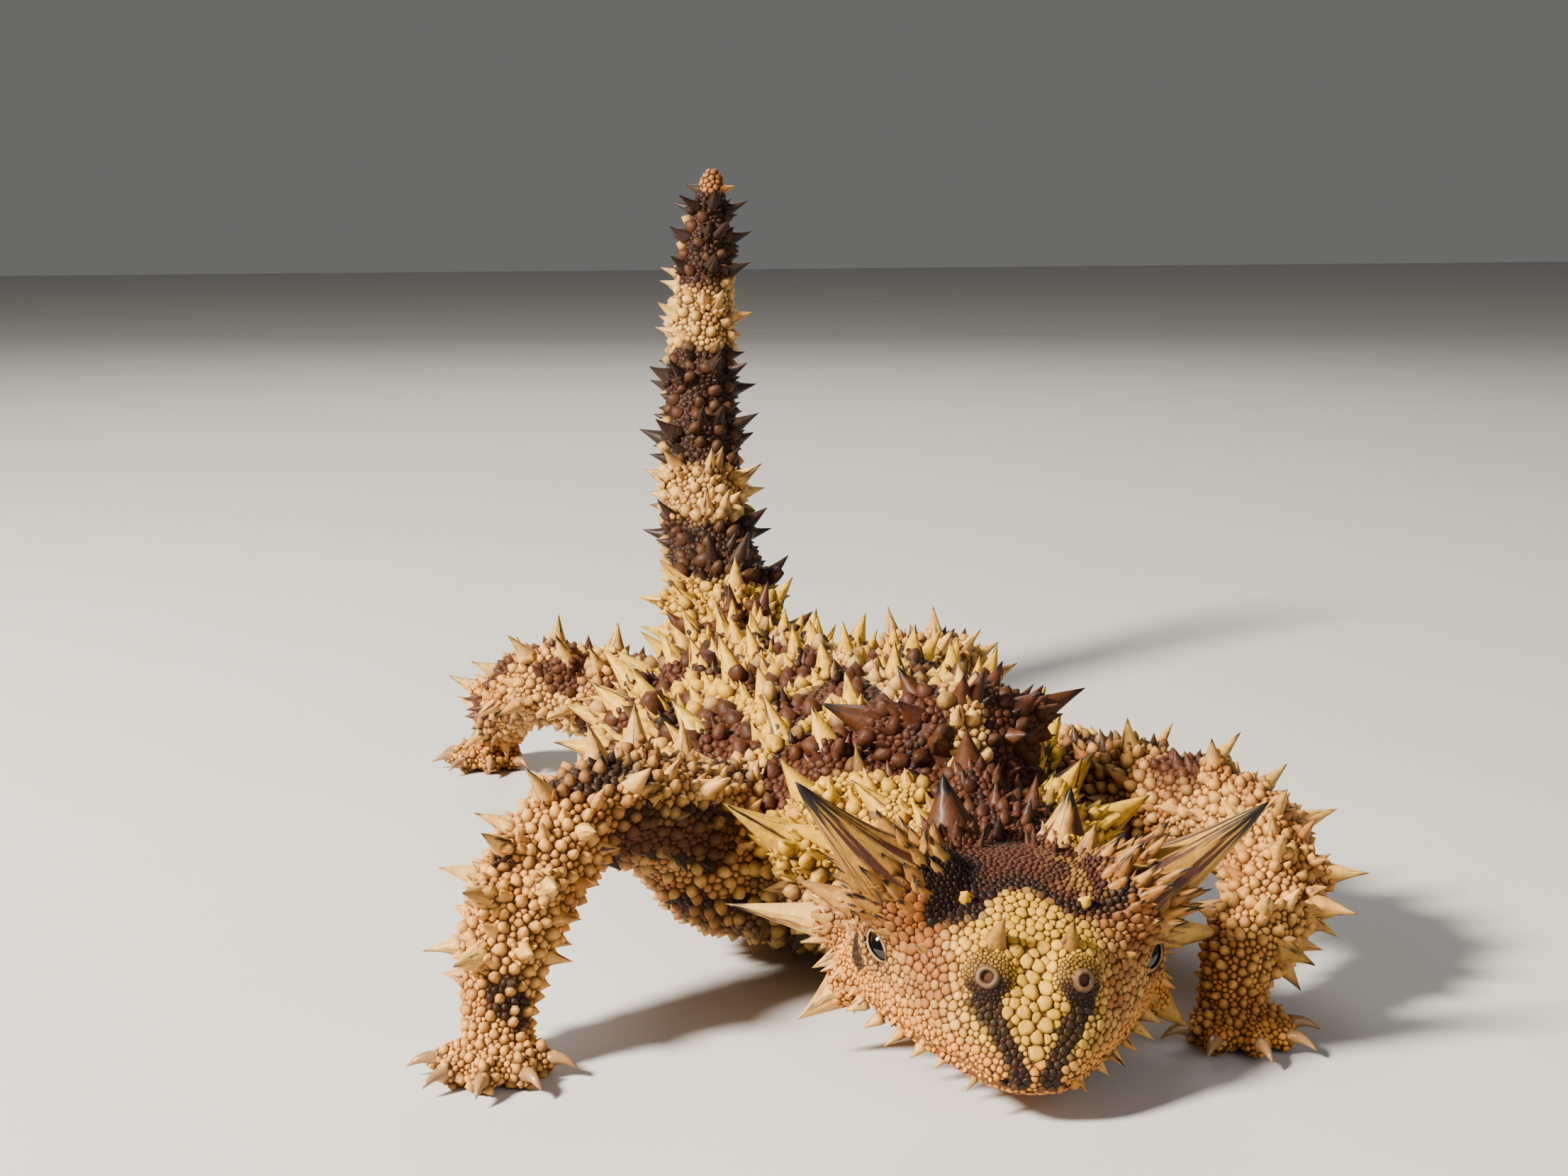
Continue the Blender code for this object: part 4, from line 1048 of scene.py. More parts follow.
@dataclass
class Markings:
    """The animal's markings, with a few patches of painted shade, as masks from 0 to 1: rust, gold, dark, pink
    and tan.

    A span gives where an edge begins and where the mark is full or gone. Rows give a value for each place.
    """

    body: Body
    net_rows: tuple[int, int] = (4, 8)
    net_share: float = 0.75
    net_end: float = 11.5
    band_width: float = 1.15
    tail_bands: Rows = ((17.4, 22.5), (27.5, 38.0), (44.5, 53.0))
    tail_tip: Span = (52.5, 54.0)
    rump: Span = (15.0, 18.0)
    spine_line: Rows = ((-30.0, 1.4), (-20.0, 1.9), (30.0, 0.2))
    spine_half: Rows = ((-24.0, 1.25), (-15.0, 0.85))
    spine_ends: Span = (-26.3, 26.0)
    spine_edge: Rows = ((0.95, 1.15), (1.6, 2.2))
    spine_edge_end: float = 20.0
    nape_start: Span = (22.0, 23.0)
    nape_half: Span = (3.2, 3.8)
    nape_rim: Span = (3.7, 0.5)
    knob_reach: Span = (1.15, 1.35)
    collar_start: Span = (20.5, 21.5)
    chest_shade_start: Span = (11.0, 13.5)
    limb_pink: Rows = ((2.4, 0.1), (3.4, 0.4))
    crown_edge: Rows = (
        (-6.8, 8.0), (-5.8, 9.9), (-4.2, 10.5), (-2.7, 10.2), (-2.0, 8.6), (0.3, 8.1), (2.6, 9.9), (4.9, 9.8),
        (7.0, 8.5),
    )
    crown_level: Span = (1.3, 2.2)
    crown_half: Span = (5.8, 7.0)
    front_half: Span = (2.8, 5.2)
    front_level: Span = (-1.8, 0.4)
    snout_stripe: Rows = ((14.4, 2.95), (17.9, 0.8))
    snout_stripe_half: Rows = ((14.4, 0.72), (17.9, 0.42))
    snout_stripe_start: float = 14.3
    lip: Rows = ((14.0, -3.2), (18.0, -2.1))
    jaw: Rows = ((4.0, -1.6), (18.0, -0.4))
    cuff_reach: Span = (1.25, 1.6)
    ear_blotch: Sizes = (9.4, 7.3, -1.3)
    ear_reach: Span = (1.05, 1.3)
    # A painted shadow under the brow, behind and above each eye, and its size.
    eye_corner: Sizes = (8.9, 6.0, 0.9)
    eye_corner_size: Sizes = (1.4, 0.45, 1.9)
    full: float = 0.97
    arm_patches: Rows = (
        (-26.4, -25.6, 16.2, -22.0, -23.9, 16.0, 1.7, 0.0), (-22.2, -26.0, 12.0, -15.8, -22.8, 10.6, 2.3, 0.9),
        (-31.8, -29.3, 12.7, -31.4, -29.0, 12.2, 0.8, 0.0), (-31.9, -32.9, 5.0, -31.0, -32.5, 3.6, 1.2, 0.0),
        (-15.2, -15.5, 13.6, -13.4, -17.5, 13.6, 1.2, 1.0), (-16.0, -20.0, 3.2, -10.0, -20.0, 3.0, 3.6, 0.4),
    )

    def __post_init__(self) -> None:
        """Make the noise and the lines of the back's net, which join the rows of thorns."""
        self.noise = Cells(SEED)
        path = self.body.paths[Part.TRUNK]
        rng = random.Random(SEED)
        lines = []
        for on_left in (False, True):
            rows = []
            for first, last, count, degrees, *_ in self.body.spine.torso_rows[slice(*self.net_rows)]:
                places = [first + (last - first) * index / (count - 1) for index in range(count)]
                turn = 180 - degrees if on_left else degrees
                rows.append([path.surface(place, turn)[0] for place in places])
            for row in rows:
                lines += [pair for pair in zip(row, row[1:]) if rng.random() < self.net_share]
            for upper, lower in zip(rows, rows[1:]):
                lines += [pair for pair in zip(upper, lower) if rng.random() < self.net_share]
        self.net = np.array([[tuple(start), tuple(stop)] for start, stop in lines])

    def masks(self, spots: Spots) -> Array:
        """Paint spots.

        Args:
            spots: Where the points lie on the body.

        Returns:
            An array with rust, gold, dark, pink and tan in each row.
        """
        made = np.zeros((len(spots.points), 5))
        self.mark_trunk(spots, made)
        self.mark_tail(spots, made)
        self.mark_limbs(spots, made)
        self.mark_head(spots, made)
        return np.clip(made, 0.0, 1.0)

    def nets(self, spots: Spots) -> tuple[Array, Array, Array]:
        """Work out the back's net.

        Args:
            spots: Where the points lie on the body.

        Returns:
            Masks of the blotches, of the bands of the net between them and of the blotches' outlines.
        """
        away = np.full(len(spots.points), 9.0)
        on = np.flatnonzero(spots.on(Part.TRUNK) & (spots.place < self.net_end))
        points = spots.points[on]
        nearest = np.full(len(on), 9.0)
        for start, stop in self.net:
            nearest = np.minimum(nearest, line_distance(points, start, stop))
        away[on] = nearest
        border = away - self.band_width + (self.noise.cloud(spots.points + 40.0, 1.9) - 0.5) * 1.1
        outline = ramp(border, -0.15, 0.05) * (1 - ramp(border, 0.35, 0.75))
        return ramp(border, 0.1, 0.25), 1 - ramp(border, -0.25, 0.0), outline

    def mark_trunk(self, spots: Spots, made: Array) -> None:
        """Paint the nape, neck, trunk and knob, and painted shade under the chest.

        Args:
            spots: Where the points lie on the body.
            made: The masks that get the marks.
        """
        on = spots.on(Part.TRUNK) & (spots.place < TAIL_START)
        blotch, band, outline = self.nets(spots)
        lift, y = np.sin(spots.angle), spots.points[:, 1]
        upper, top = lift > 0.1, lift > 0.3
        back = ramp(lift, -0.3, 0.1)
        speckle, _ = self.noise.edges(spots.points, 5.0)
        clouds = self.noise.cloud(spots.points, 9.0)
        patches = ramp(speckle, 0.18, 0.30) * ramp(clouds, 0.35, 0.55) * (1 - back)
        beside = np.abs(spots.points[:, 0] - curve(y, self.spine_line))
        knob = np.linalg.norm((spots.points - self.body.spine.knob) / self.body.spine.knob_radii, axis=1)
        nape = ramp(-y, *self.nape_start) * (1 - ramp(beside, *self.nape_half)) * upper
        nape = np.maximum(nape, 1 - ramp(knob, *self.knob_reach))
        collar = ramp(-y, *self.collar_start) * (1 - nape) * ramp(lift, -0.1, 0.2)
        plain = (1 - nape) * (1 - collar)
        rim_at, rim_wide = self.nape_rim
        rim = np.exp(-(((beside - rim_at) / rim_wide) ** 2)) * ramp(-y, *self.nape_start) * upper
        mottle = ramp(self.noise.cloud(spots.points, 2.2), 0.4, 0.6)
        rust = (blotch * back * 0.95 + patches * 0.4) * plain + nape * 0.95
        gold = band * back * 0.9 * plain + collar * 0.85
        dark = (outline * back * 0.85 + patches * 0.8) * plain + nape * 0.4 * mottle + rim * 0.8
        first, last = self.spine_ends
        half = curve(y, self.spine_half)
        spinal = (1 - ramp(beside, half, half + 0.2)) * top * (y < last) * (y > first)
        inner, outer = self.spine_edge
        edge = ramp(beside, *inner) * (1 - ramp(beside, *outer)) * top * (y < self.spine_edge_end)
        # Painted shade on the underside of the chest, which darkens it where it faces down under the body.
        chest_shade = ramp(-y, *self.chest_shade_start) * (1 - ramp(lift, -0.45, -0.15)) * 0.82
        dark = np.maximum(np.maximum(dark, chest_shade), edge * 0.85)
        for column, mask in enumerate((rust, gold, dark)):
            made[on, column] = (mask * (1 - spinal))[on]

    def mark_tail(self, spots: Spots, made: Array) -> None:
        """Paint the tail's bands.

        Args:
            spots: Where the points lie on the body.
            made: The masks that get the marks.
        """
        on = spots.on(Part.TRUNK) & (spots.place >= TAIL_START)
        height = spots.points[:, 2] + (self.noise.cloud(spots.points, 2.4) - 0.5) * 2.6
        band = np.zeros(len(height))
        for low, high in self.tail_bands:
            between = ramp(height, low - 0.4, low + 0.2) * (1 - ramp(height, high - 0.2, high + 0.4))
            band = np.maximum(band, between)
        made[on, 0] = (band * 0.9)[on]
        made[on, 1] = ((1 - ramp(height, *self.rump)) * (1 - band) * 0.85)[on]
        made[on, 2] = (band * 0.85)[on]
        made[on, 4] = ramp(height, *self.tail_tip)[on]

    def mark_limbs(self, spots: Spots, made: Array) -> None:
        """Paint the limbs cream and tan with dark and rust patches, and the right foreleg's own patches.

        Args:
            spots: Where the points lie on the body.
            made: The masks that get the marks.
        """
        on = spots.part >= Part.ARM_RIGHT.value
        border, number = self.noise.edges(spots.points + 13.0, 7.0)
        border = border + (self.noise.cloud(spots.points, 1.8) - 0.5) * 0.2
        upper = 0.35 + 0.65 * ramp(np.sin(spots.angle), -0.5, 0.2)
        patch = ramp(border, 0.22, 0.28) * (number > 0.5) * upper
        fore = spots.on(Part.ARM_RIGHT)
        patch *= np.where(fore, 0.0, 1.0)
        red = number > 0.75
        made[on, 0] = (patch * red * 0.9)[on]
        made[on, 2] = (patch * np.where(red, 0.3, 0.92))[on]
        made[on, 3] = curve(spots.place, self.limb_pink)[on]
        made[on, 4] = ramp(self.noise.cloud(spots.points + 7.0, 4.0), 0.40, 0.60)[on] * 0.8
        near_arm = fore | spots.on(Part.TRUNK)
        wander = (self.noise.cloud(spots.points + 3.0, 1.5) - 0.5) * 1.2
        for *ends, reach, rust in self.arm_patches:
            away = line_distance(spots.points, np.array(ends[:3]), np.array(ends[3:])) + wander
            inside = (1 - ramp(away, reach - 0.15, reach + 0.15)) * near_arm
            core = (1 - ramp(away, reach * 0.5, reach * 0.65)) * near_arm * rust
            made[:, 2] = np.maximum(made[:, 2], inside * 0.96 * (1 - core))
            made[:, 0] = np.maximum(made[:, 0], core)

    def snout_stripes(self, spots: Spots) -> Array:
        """Return how far spots lie from the middle of the nearer of the two snout stripes."""
        side, forward, _ = spots.folded().T
        return np.abs(side - curve(forward, self.snout_stripe))

    def mark_head(self, spots: Spots, made: Array) -> None:
        """Paint the head: forehead, crown, snout stripes, cheeks and jaw, with painted shadows under the brows
        and of the right horn.

        Args:
            spots: Where the points lie on the body.
            made: The masks that get the marks.
        """
        on = spots.on(Part.HEAD)
        side, forward, up = spots.local.T
        folded = spots.folded()
        reach = folded[:, 0]
        edge = curve(side, self.crown_edge) + (self.noise.cloud(spots.points, 1.1) - 0.5) * 0.7
        high = ramp(up, *self.crown_level) * (1 - ramp(reach, *self.crown_half))
        crown = (1 - ramp(forward, edge - 0.5, edge - 0.1)) * high
        ridge = ramp(side, 2.9, 3.6) * (1 - ramp(forward, 2.4, 3.2))
        # Painted shadow of the right horn: a black patch on the crown inboard of its foot, on the right side
        # only.
        hollow = crown * (1 - ramp(side, -2.8, -2.0)) * ramp(forward, 4.0, 5.2)
        border = np.exp(-(((forward - edge + 0.75) / 0.6) ** 2)) * high
        flecks = crown * ramp(side, 0.5, 4.0) * ramp(self.noise.cloud(spots.points, 0.7), 0.5, 0.6)
        front = ramp(forward, edge - 0.3, edge + 0.2) * (1 - ramp(reach, *self.front_half))
        front = front * ramp(up, *self.front_level)
        half = curve(forward, self.snout_stripe_half)
        stripe = 1 - ramp(self.snout_stripes(spots), half, half + 0.2)
        stripe *= forward > self.snout_stripe_start
        stripe *= ramp(up - curve(forward, self.lip), -0.2, 0.2)
        nostril = folded - np.array(self.body.head.nostril)
        cuff = 1 - ramp(np.linalg.norm(nostril, axis=1), *self.cuff_reach)
        cuff *= 0.62 + 0.35 * ramp(nostril[:, 1] - nostril[:, 2], -0.3, 0.6)
        blotch = 1 - ramp(spots.from_point(self.ear_blotch), *self.ear_reach)
        cheek = (1 - ramp(forward, 3.6, 5.0)) * (1 - ramp(up, -0.2, 1.2)) * ramp(up, -4.2, -3.0)
        cheek = cheek * (reach > 6)
        jaw = 1 - ramp(up - curve(forward, self.jaw), -0.8, 0.4)
        # Painted shadow under the brow behind each eye.
        corner = np.exp(-(((folded - self.eye_corner) / self.eye_corner_size) ** 2).sum(1))
        brow = ramp(reach, 3.8, 6.0) * ramp(up, 0.0, 2.0)
        dark = crown * 0.3 * (1 - flecks) + border * self.full + hollow * 0.95 + stripe * self.full + cuff
        dark = dark + blotch * self.full + corner * 0.8
        made[on, 0] = (crown * (1 - ridge) * 0.95 * (1 - flecks * 0.45) + cheek * 0.55 * (1 - crown))[on]
        made[on, 1] = (front * 0.75 + flecks * 0.35 + crown * ridge * 0.7)[on] * (1 - jaw)[on]
        made[on, 2] = dark[on]
        made[on, 3] = (jaw * 0.75 * (1 - stripe))[on]
        made[on, 4] = (brow * 0.9 + (1 - front) * 0.35)[on]


@dataclass
class Nodes:
    """A node tree with short ways to add nodes and to join them."""

    tree: NodeTree

    def feed(self, socket: Socket, value: object) -> None:
        """Give an input a value.

        Args:
            socket: The input.
            value: A socket to link to it, a colour or a number.
        """
        if isinstance(value, Socket):
            self.tree.links.new(value, socket)
        elif isinstance(value, tuple):
            socket.default_value = (*value, 1.0)
        else:
            socket.default_value = value

    def add(self, kind: str, *sources: object, **values: object) -> Node:
        """Add a node.

        Args:
            kind: The node's type without its prefix.
            sources: What feeds its first inputs, in their order.
            values: Properties by name, or inputs where the name is no property.

        Returns:
            The node.
        """
        made = self.tree.nodes.new(f"ShaderNode{kind}")
        for name, value in values.items():
            if hasattr(made, name):
                setattr(made, name, value)
            else:
                made.inputs[name].default_value = value
        for socket, source in zip(made.inputs, sources):
            self.feed(socket, source)
        return made

    def attribute(self, name: str) -> Socket:
        """Return a vector stored on the mesh."""
        return self.add("Attribute", attribute_name=name).outputs["Vector"]

    def split(self, vector: Socket) -> list[Socket]:
        """Return a vector's three parts."""
        return list(self.add("SeparateXYZ", vector).outputs)

    def noise(self, scale: float, detail: float, place: Socket | None = None) -> Socket:
        """Return noise on Object coordinates, or on the place given."""
        place = place or self.add("TexCoord").outputs["Object"]
        return self.add("TexNoise", place, Scale=scale, Detail=detail).outputs["Fac"]

    def total(self, first: object, second: object) -> Socket:
        """Return the sum of two values."""
        return self.add("Math", first, second, operation="ADD").outputs[0]

    def span(self, value: object, low: float, high: float, onto: Span = (0.0, 1.0)) -> Socket:
        """Return a value carried from one range onto another."""
        return self.add("MapRange", value, low, high, *onto).outputs[0]

    def mix(self, factor: object, first: object, second: object, kind: str = "MIX") -> Socket:
        """Mix two colours.

        Args:
            factor: A socket or number.
            first: A socket or colour.
            second: A socket or colour.
            kind: The way of mixing.

        Returns:
            The result's socket.
        """
        made = self.add("Mix", data_type="RGBA", blend_type=kind)
        factor_input, first_input, second_input = (made.inputs[index] for index in (0, 6, 7))
        self.feed(factor_input, factor)
        self.feed(first_input, first)
        self.feed(second_input, second)
        return made.outputs[2]

    def bands(self, value: object, colours: tuple) -> Socket:
        """Turn a value into colours.

        Args:
            value: The value's socket.
            colours: The place and the colour of each stop.

        Returns:
            The colour's socket.
        """
        made = self.add("ValToRGB", value)
        stops = made.color_ramp.elements
        for index, (place, colour) in enumerate(colours):
            stop = stops[index] if index < 2 else stops.new(place)
            stop.position, stop.color = place, (*colour, 1.0)
        return made.outputs["Color"]

    def bump(self, shader: Node, height: object, strength: float, depth: float) -> None:
        """Raise a shader's surface by a height.

        Args:
            shader: The shader.
            height: The height's socket.
            strength: The share of the height that shows.
            depth: The depth in metres.
        """
        made = self.add("Bump", Strength=strength, Distance=depth)
        self.feed(made.inputs["Height"], height)
        self.feed(shader.inputs["Normal"], made.outputs["Normal"])


@dataclass(frozen=True)
class Finish:
    """A material's base: its name, roughness, clear gloss and shine."""

    name: str
    roughness: float = 0.5
    coat: float = 0.0
    specular: float = 0.2
    coat_roughness: float = 0.03

    def start(self) -> tuple[Material, Nodes, Node]:
        """Make the material.

        Returns:
            The material, its nodes and its shader.
        """
        made = bpy.data.materials.new(self.name)
        made.use_nodes = True
        shader = made.node_tree.nodes["Principled BSDF"]
        shader.inputs["Roughness"].default_value = self.roughness
        shader.inputs["Coat Weight"].default_value = self.coat
        shader.inputs["Coat Roughness"].default_value = self.coat_roughness
        shader.inputs["Specular IOR Level"].default_value = self.specular
        return made, Nodes(made.node_tree), shader


@dataclass(frozen=True)
class Palette:
    """The animal's colours, as linear red, green and blue."""

    cream: Sizes = (0.60, 0.340, 0.085)
    tan: Sizes = (0.27, 0.090, 0.018)
    gold: Sizes = (0.58, 0.320, 0.010)
    rust: Sizes = (0.044, 0.0052, 0.0014)
    dark: Sizes = (0.006, 0.0035, 0.002)
    pink: Sizes = (0.68, 0.255, 0.032)
    # Painted crease shade between the scales and at the feet of thorns, and also the colour of the real streaks
    # on thorns and horns.
    crease_shade_and_streak: Sizes = (0.045, 0.012, 0.004)


@dataclass
class Hide:
    """The shared node groups of skin, scales, thorns and horns, and the finishes made with them."""

    palette: Palette = field(default_factory=Palette)
    fine_grain: float = 1400.0
    wide_grain: float = 210.0
    shade_span: Span = (0.45, 1.45)
    speck_span: Span = (0.3, 0.7)
    speck_strength: Span = (0.72, 1.18)
    roughness_span: Span = (0.42, 0.70)
    coat_roughness: float = 0.3
    bump_strength: float = 0.7
    streak_stretch: Sizes = (1.6, 7.0, 1.0)
    streak_edge: float = 0.12
    dark_tip: Span = (1.18, 1.34)

    def __post_init__(self) -> None:
        """Build the groups."""
        self.colour = self.build_colour()
        self.grain = self.build_grain()

    def open_group(
        self, name: str, inputs: dict[str, str], outputs: dict[str, str]
    ) -> tuple[Nodes, object, object]:
        """Start a node group.

        Args:
            name: The group's name.
            inputs: The kind of each input by its name.
            outputs: The kind of each output by its name.

        Returns:
            The group's nodes, what it is given and what it puts out.
        """
        tree = bpy.data.node_groups.new(name, "ShaderNodeTree")
        for way, sockets in (("INPUT", inputs), ("OUTPUT", outputs)):
            for label, kind in sockets.items():
                tree.interface.new_socket(label, in_out=way, socket_type=f"NodeSocket{kind}")
        source, sink = tree.nodes.new("NodeGroupInput"), tree.nodes.new("NodeGroupOutput")
        return Nodes(tree), source.outputs, sink.inputs

    def build_colour(self) -> NodeTree:
        """Return the group that turns masks into the hide's colour, with its painted crease shade, and
        roughness.

        Returns:
            The group's tree.
        """
        nodes, given, put_out = self.open_group(
            "hide_colour", {"Marks": "Vector", "Finish": "Vector"}, {"Colour": "Color", "Roughness": "Float"}
        )
        rust, gold, dark = nodes.split(given["Marks"])
        pink, shade, crease_shade_and_streak = nodes.split(given["Finish"])
        fine, wide = nodes.noise(self.fine_grain, 3.0), nodes.noise(self.wide_grain, 2.0)
        tones = self.palette
        colour = nodes.mix(nodes.span(nodes.total(shade, wide), *self.shade_span), tones.tan, tones.cream)
        for mask, tone in ((pink, tones.pink), (gold, tones.gold), (rust, tones.rust), (dark, tones.dark)):
            colour = nodes.mix(mask, colour, tone)
        colour = nodes.mix(1.0, colour, nodes.span(fine, *self.speck_span, self.speck_strength), "MULTIPLY")
        # The third part of the finish vector mixes the colour towards the crease colour: painted shade in the
        # creases between scales.
        nodes.feed(put_out["Colour"], nodes.mix(crease_shade_and_streak, colour, tones.crease_shade_and_streak))
        nodes.feed(put_out["Roughness"], nodes.span(fine, 0.0, 1.0, self.roughness_span))
        return nodes.tree

    def build_grain(self) -> NodeTree:
        """Return the group that gives the hide's fine wrinkles as a height.

        Returns:
            The group's tree.
        """
        nodes, given, put_out = self.open_group("hide_grain", {"Scale": "Float"}, {"Height": "Float"})
        place = nodes.add("TexCoord").outputs["Object"]
        noise = nodes.add("TexNoise", place, Detail=4.0)
        cells = nodes.add("TexVoronoi", place, feature="DISTANCE_TO_EDGE")
        for made in (noise, cells):
            nodes.feed(made.inputs["Scale"], given["Scale"])
        nodes.feed(put_out["Height"], nodes.total(noise.outputs["Fac"], cells.outputs["Distance"]))
        return nodes.tree

    def dress(
        self, name: str, grain: float, depth: float, coat: float = 0.0, streak: float = 0.0
    ) -> Material:
        """Make a hide material.

        Args:
            name: The material's name.
            grain: The scale of its grain.
            depth: The depth of its grain in metres.
            coat: The weight of its clear gloss.
            streak: The noise above which dark streaks run along the piece, or 0 for none.

        Returns:
            The material.
        """
        made, nodes, shader = Finish(name, coat=coat, coat_roughness=self.coat_roughness).start()
        hide = nodes.add("Group", node_tree=self.colour)
        for label in ("Marks", "Finish"):
            nodes.feed(hide.inputs[label], nodes.attribute(label.lower()))
        colour = hide.outputs["Colour"]
        if streak:
            colour = self.add_streaks(nodes, colour, streak)
        wrinkles = nodes.add("Group", node_tree=self.grain)
        nodes.feed(wrinkles.inputs["Scale"], grain)
        nodes.bump(shader, wrinkles.outputs["Height"], self.bump_strength, depth)
        nodes.feed(shader.inputs["Base Color"], colour)
        nodes.feed(shader.inputs["Roughness"], hide.outputs["Roughness"])
        return made

    def add_streaks(self, nodes: Nodes, colour: Socket, start: float) -> Socket:
        """Darken a colour towards the tip and in streaks along a thorn.

        Args:
            nodes: The material's nodes.
            colour: The colour's socket.
            start: The noise above which a streak starts.

        Returns:
            The streaked colour's socket.
        """
        along = nodes.attribute("along")
        stretched = nodes.add("Mapping", along, Scale=self.streak_stretch).outputs[0]
        noise = nodes.noise(1.0, 3.0, stretched)
        colour = nodes.mix(nodes.span(noise, start, start + self.streak_edge), colour, self.palette.crease_shade_and_streak)
        tip = nodes.total(nodes.split(along)[0], noise)
        return nodes.mix(nodes.span(tip, *self.dark_tip), colour, self.palette.dark)


def set_vectors(mesh: Mesh, name: str, values: Array) -> None:
    """Store one vector a vertex under a name."""
    made = mesh.attributes.new(name, "FLOAT_VECTOR", "POINT")
    made.data.foreach_set("vector", np.ascontiguousarray(values, np.float32).ravel())


@dataclass
class Skin:
    """One skin for all flesh, from the head to the tail's tip and the toes."""

    body: Body
    thorns: list[Thorn]
    inset: float = 0.12
    voxel: float = 0.38
    smoothing: int = 5
    junction_smoothing: int = 14
    lid_radius: float = 1.92
    slit: Span = (1.18, 0.56)
    slit_floor: float = 0.6
    slit_reach: float = 2.8
    slit_depth: float = 0.35
    mouth_depth: float = 0.5
    mouth_span: Span = (0.1, 0.5)
    throat: Rows = ((-2.2, 4.2), (2.0, 4.6))
    throat_level: float = -2.4
    nostril_swell: Sizes = (1.5, 1.5, 0.62)
    palm: Sizes = (2.35, 2.35, 1.55)
    digit: Rows = ((0.0, 0.95), (0.3, 0.88), (0.5, 0.98), (0.72, 0.80), (0.9, 0.84), (1.06, 0.42))
    thorn_foot: Sizes = (1.25, 1.12, 0.72, 0.3)

    def put(self, add: Callable[..., None], *sizes: object) -> None:
        """Add one form by way of a small mesh of its own.

        Args:
            add: The function that adds the form to a bmesh.
            sizes: What else it needs.
        """
        part = bmesh.new()
        add(part, *sizes)
        mesh = bpy.data.meshes.new("form")
        part.to_mesh(mesh)
        part.free()
        self.whole.from_mesh(mesh)
        bpy.data.meshes.remove(mesh)

    def build_forms(self) -> MeshEdit:
        """Return all overlapping forms of the flesh in one bmesh.

        Returns:
            The bmesh, with its forms still apart.
        """
        self.whole = bmesh.new()
        head, spine = self.body.head, self.body.spine
        path = self.body.paths[Part.TRUNK]
        self.put(path.add_tube, np.linspace(0.0, len(path.stations) - 1, 90), 48, self.inset, True)
        self.put(head.add_shell, self.inset)
        throat = [head.point((0, forward, self.throat_level)) for forward, _ in self.throat]
        self.put(add_taper, throat, [radius for _, radius in self.throat], 24)
        for side in (RIGHT, LEFT):
            brow, aim, _ = head.horn_axis(side)
            self.put(add_taper, [brow + aim * h for h, _ in head.mound], [r for _, r in head.mound], 24, aim)
            jowl = Matrix.Translation(head.point(head.jowl, side)) @ head.matrix.to_3x3().to_4x4()
            self.put(add_ball, jowl, head.jowl_radii)
            self.put(add_ball, Matrix.Translation(head.point(head.eye, side)), (self.lid_radius,) * 3)
            nostril = Matrix.Translation(head.point(head.nostril, side))
            swell = nostril @ turn_to(head.way(head.nostril_aim, side))
            self.put(add_ball, swell, self.nostril_swell)
            mound = Matrix.Translation(head.point(head.nasal, side)) @ head.matrix.to_3x3().to_4x4()
            self.put(add_ball, mound, head.nasal_radii)
        lumps = ((spine.knob, spine.knob_radii, 28), (spine.breast, spine.breast_radii, 36))
        for middle, radii, across in lumps:
            radii = tuple(radius - self.inset for radius in radii)
            self.put(add_ball, Matrix.Translation(middle), radii, across)
        for limb in self.body.limbs:
            self.add_limb(limb)
        for thorn in self.thorns:
            if thorn.length > FOOTED_THORN and not thorn.bare:
                below = thorn.root - thorn.direction * 0.9
                points = [below, thorn.root, thorn.middle(0.25), thorn.middle(0.55)]
                self.put(add_taper, points, [thorn.radius * share for share in self.thorn_foot], 12)
        return self.whole

    def add_limb(self, limb: LimbForm) -> None:
        """Add a limb with its palm and digits.

        Args:
            limb: The limb.
        """
        path = self.body.paths[limb.part]
        self.put(path.add_tube, np.linspace(0.0, len(limb.stations) - 1, 36), 32, self.inset)
        middle, digits = limb.digits()
        self.put(add_ball, Matrix.Translation(middle), self.palm, 24)
        for start, stop, _ in digits:
            points = [start.lerp(stop, share) for share, _ in self.digit]
            self.put(add_taper, points, [radius for _, radius in self.digit], 14)

    def build(self) -> Mesh:
        """Return the finished skin's mesh in millimetres.

        Returns:
            What was built.
        """
        mesh_edit = self.build_forms()
        bmesh.ops.recalc_face_normals(mesh_edit, faces=mesh_edit.faces)
        rough = bpy.data.meshes.new("forms")
        mesh_edit.to_mesh(rough)
        mesh_edit.free()
        holder = bpy.data.objects.new("forms", rough)
        bpy.context.scene.collection.objects.link(holder)
        remesh = holder.modifiers.new("one_skin", "REMESH")
        remesh.mode, remesh.voxel_size = "VOXEL", self.voxel
        smooth = holder.modifiers.new("soften", "SMOOTH")
        smooth.iterations, smooth.factor = self.smoothing, 0.5
        seen = holder.evaluated_get(bpy.context.evaluated_depsgraph_get())
        mesh = bpy.data.meshes.new_from_object(seen)
        bpy.data.objects.remove(holder)
        self.shape(mesh)
        return mesh

